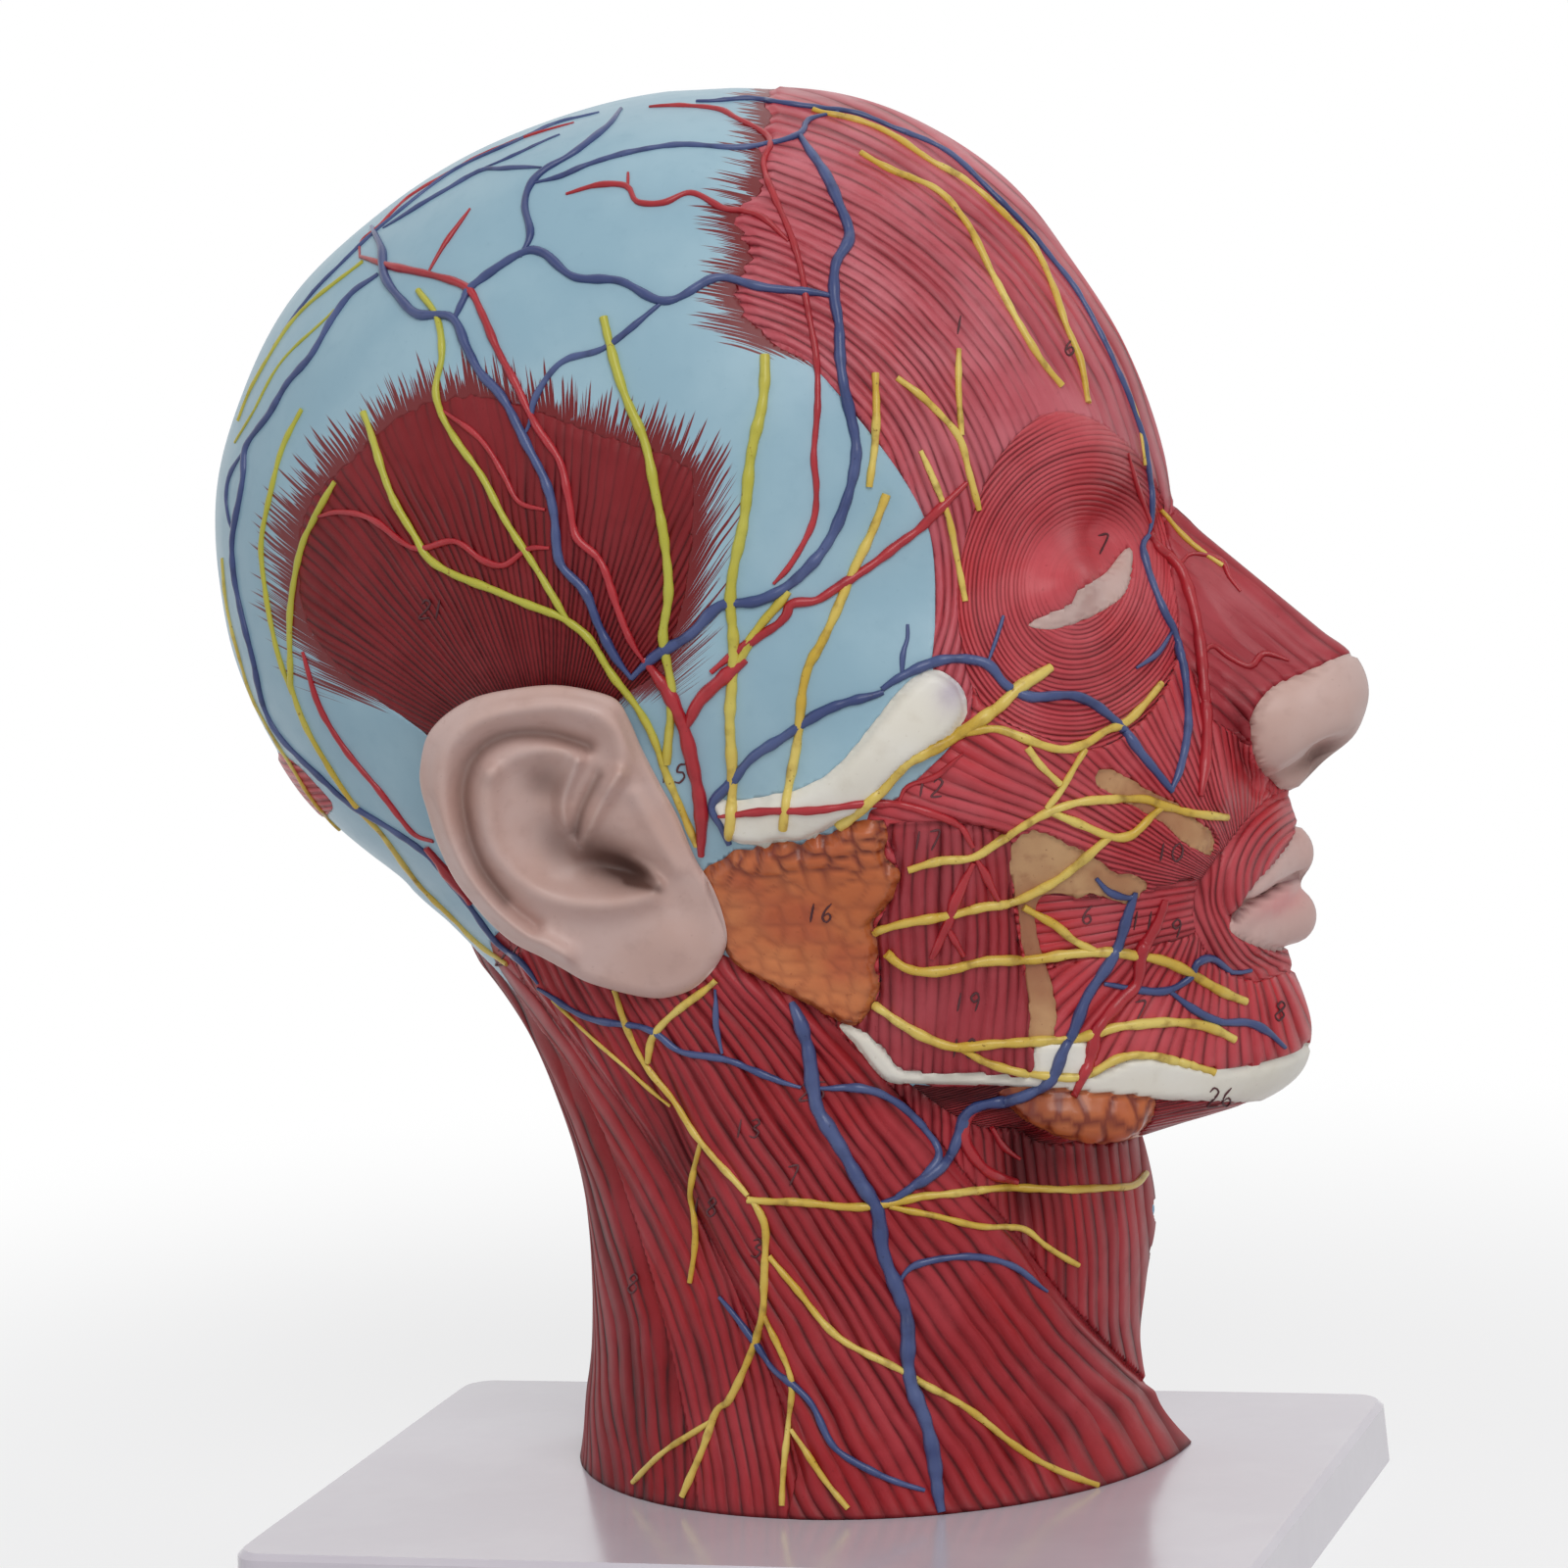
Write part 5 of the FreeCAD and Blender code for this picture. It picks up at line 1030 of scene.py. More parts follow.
FINISHES = {
    "face_muscle": Finish("muscle", tone(180, 42, 52), tone(148, 20, 30), tone(206, 86, 94), tone(98, 8, 18),
                          0.38, 0.10, fibre=0.8, relief=0.6, flush=tone(194, 26, 34)),
    "flank_muscle": Finish("muscle", tone(152, 34, 45), tone(122, 17, 28), tone(178, 72, 80), tone(88, 8, 16),
                           0.42, 0.06, fibre=0.8, relief=0.6, flush=tone(164, 22, 32)),
    "brow_muscle": Finish("muscle", tone(178, 58, 70), tone(146, 32, 44), tone(206, 108, 118),
                          tone(98, 14, 24), 0.38, 0.10, fibre=0.8, relief=0.6, flush=tone(188, 46, 56)),
    "section_muscle": Finish("muscle", tone(158, 52, 58), tone(130, 32, 40), tone(182, 84, 90),
                             tone(92, 8, 18), 0.42, 0.1, relief=0.2),
    "dark_muscle": Finish("dark_muscle", tone(114, 12, 19), tone(88, 6, 12), tone(134, 34, 40),
                          tone(48, 3, 7), 0.50, 0.0, fibre=0.8, relief=0.5, flush=tone(118, 9, 15)),
    "neck_muscle": Finish("dark_muscle", tone(150, 24, 33), tone(118, 12, 21), tone(176, 54, 62),
                          tone(70, 5, 12), 0.42, 0.04, fibre=0.8, relief=0.65, flush=tone(162, 19, 25)),
    "nape_muscle": Finish("dark_muscle", tone(132, 14, 22), tone(98, 6, 12), tone(158, 42, 50),
                          tone(52, 3, 8), 0.50, 0.0, fibre=1.0, relief=0.8, flush=tone(146, 10, 16)),
    "aponeurosis": Finish("aponeurosis", tone(150, 184, 200), tone(134, 168, 186), tone(160, 192, 206),
                          tone(96, 128, 148), 0.42, 0.25, relief=0.08, speckle=0.2, accent=Accent.FRINGE,
                          accent_tone=tone(110, 10, 17)),
    "skin": Finish("skin", tone(206, 172, 161), tone(180, 145, 135), tone(212, 183, 175), tone(92, 62, 54),
                   0.42, 0.12, relief=0.08),
    "lip_skin": Finish("skin", tone(208, 170, 162), tone(188, 147, 139), tone(215, 182, 174),
                       tone(104, 40, 44), 0.42, 0.15, relief=0.1, accent=Accent.PATCH,
                       accent_tone=tone(222, 138, 138)),
    "bone": Finish("bone", tone(232, 226, 212), tone(210, 200, 182), tone(238, 234, 224), tone(150, 134, 112),
                   0.4, 0.2, relief=0.1, accent=Accent.PATCH, accent_tone=tone(176, 160, 180)),
    "gland": Finish("gland", tone(196, 104, 54), tone(164, 74, 34), tone(212, 128, 76), tone(118, 40, 20),
                    0.36, 0.3, relief=0.35, speckle=0.4, flush=tone(186, 82, 50)),
    "fat": Finish("fat", tone(174, 122, 84), tone(146, 90, 60), tone(206, 164, 118), tone(120, 62, 44),
                  0.42, 0.2, relief=0.5, speckle=0.6, flush=tone(154, 92, 66)),
    "cartilage": Finish("cartilage", tone(120, 178, 212), tone(100, 156, 194), tone(140, 190, 220),
                        tone(70, 110, 140), relief=0.1),
    "vein": Finish("vein", tone(52, 66, 116), tone(34, 42, 82), tone(78, 92, 138), tone(24, 28, 56),
                   0.34, 0.35, relief=0.15, speckle=0.6),
    "artery": Finish("artery", tone(164, 26, 38), tone(124, 12, 24), tone(184, 46, 54), tone(90, 8, 14),
                     0.32, 0.35, relief=0.15, speckle=0.5),
    "nerve": Finish("nerve", tone(208, 170, 58), tone(150, 112, 36), tone(232, 208, 112), tone(120, 84, 30),
                    0.36, 0.3, relief=0.3, speckle=0.9, accent=Accent.SCALP, accent_tone=tone(178, 182, 60)),
    "ink": Finish("", tone(82, 48, 52), tone(62, 38, 42), tone(110, 66, 70), tone(30, 18, 22), 0.6, 0.0,
                  relief=0.05),
    "board": Finish("board", tone(216, 209, 218), tone(210, 203, 214), tone(220, 214, 222),
                    tone(196, 186, 202), 0.14, 0.6, relief=0.02, speckle=0.1),
    "screw": Finish("screw", tone(150, 150, 148), tone(110, 110, 108), tone(170, 170, 168), tone(80, 80, 80),
                    0.35, 0.0, relief=0.05),
    "cast": Finish("cast", tone(206, 196, 172), tone(170, 158, 132), tone(216, 208, 188), tone(130, 118, 96),
                   0.55, 0.0, relief=0.1),
    "brain": Finish("brain", tone(208, 164, 152), tone(150, 96, 90), tone(220, 182, 170), tone(110, 60, 56),
                    0.4, 0.25, relief=0.4, folds=95.0),
    "white_matter": Finish("white_matter", tone(226, 212, 186), tone(190, 168, 140), tone(234, 222, 200),
                           tone(150, 126, 100), 0.42, 0.2),
    "mucosa": Finish("mucosa", tone(196, 112, 106), tone(150, 66, 64), tone(210, 136, 128), tone(110, 40, 40),
                     0.36, 0.35),
}


# Pieces


def publish(obj: bpy.types.Object, node: str, finish: str) -> None:
    """Give a piece its finish, hang it under the root, and hide the frame's node that it stands for, if it
    stands for one.
    """
    obj.data.materials.clear()
    obj.data.materials.append(FINISHES[finish].material(finish))
    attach(obj, "root")
    if node:
        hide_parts(node)
    LOG.info("piece %s: %d faces", obj.name, len(obj.data.polygons))


def mesh_object(name: str, points: np.ndarray, faces: List,
                layers: Dict[str, np.ndarray]) -> bpy.types.Object:
    """Make an object of a mesh.

    Args:
        name: the object's name.
        points: corners in millimetres, one row each.
        faces: corner numbers of each face.
        layers: two values for each corner, by the name of the UV map that the finish reads them from.

    Returns:
        The object, smooth shaded but for its faces in the cut plane.
    """
    mesh = bpy.data.meshes.new(name)
    mesh.from_pydata((points * MM).tolist(), [], faces)
    corners = np.zeros(len(mesh.loops), dtype=np.int32)
    mesh.loops.foreach_get("vertex_index", corners)
    for key, values in layers.items():
        layer = mesh.uv_layers.new(name=key)
        layer.data.foreach_set("uv", values[corners].astype(np.float32).ravel())
    starts = np.zeros(len(mesh.polygons), dtype=np.int32)
    mesh.polygons.foreach_get("loop_start", starts)
    lowest = np.minimum.reduceat(points[corners, 1], starts)
    mesh.polygons.foreach_set("use_smooth", lowest < CUT_PLANE - 0.6)
    mesh.update()
    obj = bpy.data.objects.new(name, mesh)
    bpy.context.collection.objects.link(obj)
    return obj


def closed_shell(name: str, outer: np.ndarray, inner: np.ndarray, faces: List,
                 layers: Dict[str, np.ndarray]) -> bpy.types.Object:
    """Make a closed shell of an outer skin, an inner skin and the rim between them."""
    count = len(outer)
    edges: Dict[Tuple[int, int], None] = {}
    for face in faces:
        for a, b in zip(face, face[1:] + face[:1]):
            if (b, a) in edges:
                del edges[(b, a)]
            else:
                edges[(a, b)] = None
    rim = [[b, a, a + count, b + count] for a, b in edges]
    back = [[corner + count for corner in reversed(face)] for face in faces]
    both = {key: np.vstack((values, values)) for key, values in layers.items()}
    return mesh_object(name, np.vstack((outer, inner)), faces + back + rim, both)


# Bands that fill the cut side: name, finish, front or rear of each ring, lowest and highest place.
SECTION_BANDS = (
    ("section_crown_front", "bone", 0, 198.0, 300.0),
    ("section_crown_rear", "bone", -1, 125.0, 300.0),
    ("section_face", "fat", 0, 84.0, 198.6),
    ("section_throat", "section_muscle", 0, 13.0, 84.8),
    ("section_nape", "section_muscle", -1, 13.0, 125.8),
)
SECTION_WIDTH = 13.0
# How far a band's face and its back lie behind the cut plane.
SECTION_FACE_DEPTH = 0.5
SECTION_BACK_DEPTH = 1.2
# Heights between which a band gives up the level run of the face for the curve of the crown.
SECTION_TURN = (200.0, 216.0)
SECTION_MARGIN = 1.8
# How far back the bands of the face reach, by height.
SECTION_FRONT = ((13.0, 55.0), (146.0, 55.0), (152.0, 71.0), (300.0, 71.0))


class Skin:
    """The outer skin, parted into pieces along smooth borders."""

    def __init__(self, form: HeadForm) -> None:
        self.form = form
        self.rows, self.columns = form.points.shape[:2]
        self.base = form.points.reshape(-1, 3)
        self.normals = form.normals.reshape(-1, 3)
        self.pixels = form.pixels.reshape(-1, 2)
        neckness = form.neckness.ravel()
        self.borders = np.array([region.border(self.pixels, neckness) for region in REGIONS])
        self.labels = self._label(self.borders)
        self.fibre_depth = 1.0 - np.clip(sum(brush.heights(self.pixels) for brush in CALMS), 0.0, 1.0)
        relief, shade = self._relief()
        # The paint map carries the painted shade and the depth of the fibres.
        self.paint = np.stack((np.clip(shade, 0.0, 0.95), self.fibre_depth), axis=1)
        self.points = self.base + self.normals * relief[:, None]
        self.points[:, 0] = np.clip(self.points[:, 0], BOX_REAR, BOX_FRONT)
        self.points[:, 1] = np.minimum(self.points[:, 1], CUT_PLANE - 0.02)
        self.points[:, 2] = np.minimum(self.points[:, 2], BOX_TOP)
        self.inner = self.base - self.normals * self._thickness()[:, None]
        self.inner[:, 1] = np.minimum(self.inner[:, 1], CUT_PLANE - 0.02)
        self.faces = self._split()
        self.tree = BVHTree.FromPolygons([tuple(p) for p in self.points[:self.rows * self.columns]],
                                         self._grid_faces().tolist())
        LOG.info("skin: %d places, %d borders", len(self.points), len(REGIONS))

    @staticmethod
    def _label(borders: np.ndarray) -> np.ndarray:
        """Return the first region that holds each place, or the number of regions for the rest."""
        inside = np.vstack((borders < 0.0, np.ones(borders.shape[1], dtype=bool)))
        return np.argmax(inside, axis=0)

    def _thickness(self) -> np.ndarray:
        """Return the skin's depth: full at the cut plane, where it meets the section, and thin elsewhere."""
        depth = CUT_PLANE - self.base[:, 1]
        return SHELL_DEPTH + (SKIN_DEPTH - SHELL_DEPTH) * np.exp(-(depth / 7.0) ** 2)

    def _relief(self) -> Tuple[np.ndarray, np.ndarray]:
        """Return how far the relief of each region stands out of the form, and how much painted shade lies on
        it.
        """
        relief = np.zeros(len(self.base))
        shade = sum(brush.heights(self.pixels) for brush in SHADES)
        # Painted shade along the foot of the neck, where it meets the board.
        shade = shade + 0.7 * np.exp(-(self.base[:, 2] - BOARD_TOP) / 1.2)
        in_plane = self.base[:, 1] > CUT_PLANE - 0.01
        for number, region in enumerate(REGIONS):
            held = self.labels == number
            if not held.any():
                continue
            border, pixels = -self.borders[number][held], self.pixels[held]
            merged = np.clip(sum(brush.heights(pixels) for brush in MERGES), 0.0, 1.0)
            lift = region.rise * np.maximum(ease(border, 0.0, region.edge), merged)
            # Dark along the region's edge: painted shade at the foot of the step to its neighbour, and the
            # dark line that the model's paint has there.
            dark = region.seam * np.exp(-border / 5.0)
            if region.fibres and region.fibres.bundle:
                strands = region.fibres.coordinates(pixels)
                turn = strands[:, 0] / region.fibres.bundle
                groove = (0.5 + 0.5 * np.cos(2 * np.pi * turn)) ** 3 * ease(border, 2.0, 12.0)
                broken = 0.5 + 0.5 * lattice_noise(np.round(turn) * 5.3, strands[:, 1] * 0.06, 9.0)
                broken = broken * self.fibre_depth[held]
                lift = lift - region.fibres.groove * groove * broken
                # Painted shade in the grooves between the bundles.
                dark = dark + 0.45 * groove * broken
            if region.lobes:
                wander = 0.35 * lattice_noise(pixels[:, 0] / 30.0, pixels[:, 1] / 30.0, 3.0)
                tops = cell_tops(pixels[:, 0] / 25.0 + wander, pixels[:, 1] / 18.0 - wander, 7.0)
                keep = 1.0 - 0.72 * ease(pixels[:, 1], 865.0, 905.0) * ease(-pixels[:, 1], -1060.0, -1020.0)
                lift = lift + region.lobes * keep * (tops - 0.5) * ease(border, 0.0, 6.0)
                # Dark in the seams between the lobes: painted shade in the crevices, and the lines that the
                # model's paint draws there.
                dark = dark + 1.1 * keep * (1.0 - tops) ** 2
            relief[held] = lift
            shade[held] += dark
        shade[in_plane] = 0.0
        return relief * (0.15 + 0.85 * ease(self.base[:, 2] - BOARD_TOP, 1.0, 16.0)), shade

    def _grid_faces(self) -> np.ndarray:
        """Return the four corners of every cell of the grid, facing outward."""
        index = np.arange(self.rows * self.columns).reshape(self.rows, self.columns)
        low, high = index[:-1], index[1:]
        return np.stack((low[:, :-1], high[:, :-1], high[:, 1:], low[:, 1:]), axis=2).reshape(-1, 4)

    def _split(self) -> List[List]:
        """Part the cells among the regions, cutting those that a border crosses."""
        cells = self._grid_faces()
        labels = self.labels[cells]
        whole = np.all(labels == labels[:, :1], axis=1)
        faces: List[List] = [[] for _ in range(len(REGIONS) + 1)]
        for number in range(len(REGIONS) + 1):
            faces[number] = cells[whole & (labels[:, 0] == number)].tolist()
        table = [list(column) for column in self.borders.T]
        extra: List[Tuple[int, int, float]] = []
        cache: Dict[Tuple[int, int, int], int] = {}
        start = len(table)

        def between(a: int, b: int, number: int) -> int:
            key = (min(a, b), max(a, b), number)
            if key not in cache:
                first, last = table[key[0]], table[key[1]]
                share = first[number] / (first[number] - last[number])
                table.append([f + (l - f) * share for f, l in zip(first, last)])
                extra.append((key[0], key[1], share))
                cache[key] = start + len(extra) - 1
            return cache[key]

        for cell in cells[~whole].tolist():
            self._part(cell, table, between, faces)
        self._extend(extra)
        return faces

    @staticmethod
    def _part(cell: List[int], table: List, between: Callable, faces: List[List]) -> None:
        """Cut one cell by each region's border in turn."""
        rest = cell
        for number in range(len(REGIONS)):
            values = [table[corner][number] for corner in rest]
            if all(value >= 0.0 for value in values):
                continue
            if all(value < 0.0 for value in values):
                faces[number].append(rest)
                return
            inside, outside = [], []
            for k, corner in enumerate(rest):
                after = (k + 1) % len(rest)
                (inside if values[k] < 0.0 else outside).append(corner)
                if (values[k] < 0.0) != (values[after] < 0.0):
                    middle = between(corner, rest[after], number)
                    inside.append(middle)
                    outside.append(middle)
            if len(inside) > 2:
                faces[number].append(inside)
            rest = outside
            if len(rest) < 3:
                return
        faces[-1].append(rest)

    def _extend(self, extra: List[Tuple[int, int, float]]) -> None:
        """Add the places where borders cross the grid to every list of places."""
        columns = {key: list(getattr(self, key)) for key in ("points", "inner", "pixels", "paint")}
        for first, last, share in extra:
            for values in columns.values():
                values.append(values[first] + (values[last] - values[first]) * share)
        for key, values in columns.items():
            setattr(self, key, np.array(values))

    def build(self) -> None:
        """Make one closed piece for every region."""
        for number, region in enumerate(REGIONS + (REST,)):
            if not self.faces[number]:
                LOG.warning("region %s holds nothing", region.node)
                continue
            used = np.unique(np.concatenate([np.array(face) for face in self.faces[number]]))
            remap = np.full(len(self.points), -1)
            remap[used] = np.arange(len(used))
            faces = [remap[np.array(face)].tolist() for face in self.faces[number]]
            layers = {"fibre": self._strands(region, self.pixels[used]), "paint": self.paint[used]}
            piece = closed_shell("skin_" + region.node, self.points[used], self.inner[used], faces, layers)
            publish(piece, region.node, region.finish)

    def build_section(self) -> None:
        """Fill the cut side between the skin's rim and the plates of bone and muscle."""
        profile, outward = self.form.points, self.form.normals
        side = self.base.reshape(profile.shape)
        for name, finish, column, low, high in SECTION_BANDS:
            rows = np.flatnonzero((side[:, column, 2] >= low) & (side[:, column, 2] <= high))
            edge = side[rows, column] - outward[rows, column] * SECTION_MARGIN
            depth = edge - outward[rows, column] * SECTION_WIDTH
            level = edge.copy()
            limit = np.interp(edge[:, 2], *zip(*SECTION_FRONT))
            level[:, 0] = np.minimum(edge[:, 0] - SECTION_WIDTH, limit) if column == 0 else depth[:, 0]
            share = ease(edge[:, 2], *SECTION_TURN)[:, None] if column == 0 else 1.0
            within = level * (1.0 - share) + depth * share
            within[:, 2] = np.maximum(within[:, 2], BOARD_TOP)
            outer = np.stack((edge, within), axis=1).reshape(-1, 3)
            outer[:, 1] = CUT_PLANE - SECTION_FACE_DEPTH
            inner = outer.copy()
            inner[:, 1] = CUT_PLANE - SECTION_BACK_DEPTH
            faces = [[2 * k, 2 * k + 1, 2 * k + 3, 2 * k + 2] for k in range(len(rows) - 1)]
            if column == 0:
                faces = [face[::-1] for face in faces]
            layers = {"paint": np.stack((np.zeros(len(outer)), np.ones(len(outer))), axis=1)}
            publish(closed_shell(name, outer, inner, faces, layers), "", finish)

    @staticmethod
    def _strands(region: Region, pixels: np.ndarray) -> np.ndarray:
        """Return what the finish draws its fibres, its fringe or its tint from."""
        if region.fibres:
            return region.fibres.coordinates(pixels)
        if region.tint:
            return np.stack((region.tint.heights(pixels), np.zeros(len(pixels))), axis=1)
        if region is not REST:
            return np.zeros_like(pixels)
        strands = np.full((len(pixels), 2), 99.0)
        for fringed in (other for other in REGIONS if other.node in FRINGED):
            away = fringed.border(pixels, np.zeros(len(pixels))) / PIXELS_PER_MM
            away = away + FRINGE_END * ease(pixels[:, 1], *fringed.fringe_heights)
            nearer = away < strands[:, 1]
            strands[nearer, 0] = fringed.fibres.coordinates(pixels)[nearer, 0]
            strands[nearer, 1] = away[nearer]
        return strands

    def hit(self, pixel: Sequence[float]) -> Optional[Tuple[Vector, Vector]]:
        """Return the place and normal where a pixel's ray meets the skin, if it does."""
        place, normal, _, _ = self.tree.ray_cast(PHOTO.place, PHOTO.ray(pixel))
        return None if place is None else (place, normal)


CORD_GIRTH = 0.72


@dataclass(frozen=True)
class Tree:
    """A group of cords, such as vessels: its node, finish, and branches of a radius and a route of pixels."""

    node: str
    finish: str
    branches: Tuple[Tuple[float, Outline], ...]
    sink: float = 0.15
    girth: float = CORD_GIRTH

    def build(self, skin: Skin) -> None:
        """Lay every branch on the skin as a round cord and join them into one piece."""
        name = "cord_" + (self.node or self.finish)
        curve = bpy.data.curves.new(name, "CURVE")
        curve.dimensions = "3D"
        curve.bevel_depth = MM
        curve.bevel_resolution = 3
        curve.use_fill_caps = True
        for radius, route in self.branches:
            self._lay(curve, skin, radius * self.girth, smooth_route(route, 4.0 if self.node else 2.0))
        obj = bpy.data.objects.new(name, curve)
        bpy.context.collection.objects.link(obj)
        bpy.ops.object.select_all(action="DESELECT")
        obj.select_set(True)
        bpy.context.view_layer.objects.active = obj
        bpy.ops.object.convert(target="MESH")
        publish(bpy.context.object, self.node, self.finish)

    def _lay(self, curve: bpy.types.Curve, skin: Skin, radius: float, route: np.ndarray) -> None:
        """Add one branch over the part of its route that lies on the skin."""
        run: List[Tuple[Vector, float]] = []
        sway = 1.6 * radius if self.node else 0.0
        for k, pixel in enumerate(route):
            turn = 0.11 * k + route[0][0]
            found = skin.hit((pixel[0] + sway * math.sin(turn * 1.7), pixel[1] + sway * math.cos(turn * 2.3)))
            if found is None:
                continue
            place, normal = found
            ends = min(k, len(route) - 1 - k) / (7.0 if self.node else 2.0)
            wave = 1.0 + 0.10 * math.sin(turn * 4.1) + 0.07 * math.sin(turn * 9.7)
            tip = 0.85 if self.finish == "nerve" else 0.5
            thickness = radius * wave * min(1.0, tip + (1.0 - tip) * ends)
            center = place + normal * radius * self.sink
            center.x = max(center.x, BOX_REAR + radius * 1.2)
            center.z = min(center.z, BOX_TOP - radius * 1.2)
            run.append((center, thickness))
        if len(run) < 2:
            LOG.warning("%s: a branch misses the skin", self.node)
            return
        spline = curve.splines.new("POLY")
        spline.points.add(len(run) - 1)
        for point, (place, thickness) in zip(spline.points, run):
            point.co = (*(place * MM), 1.0)
            point.radius = thickness
        spline.use_smooth = True


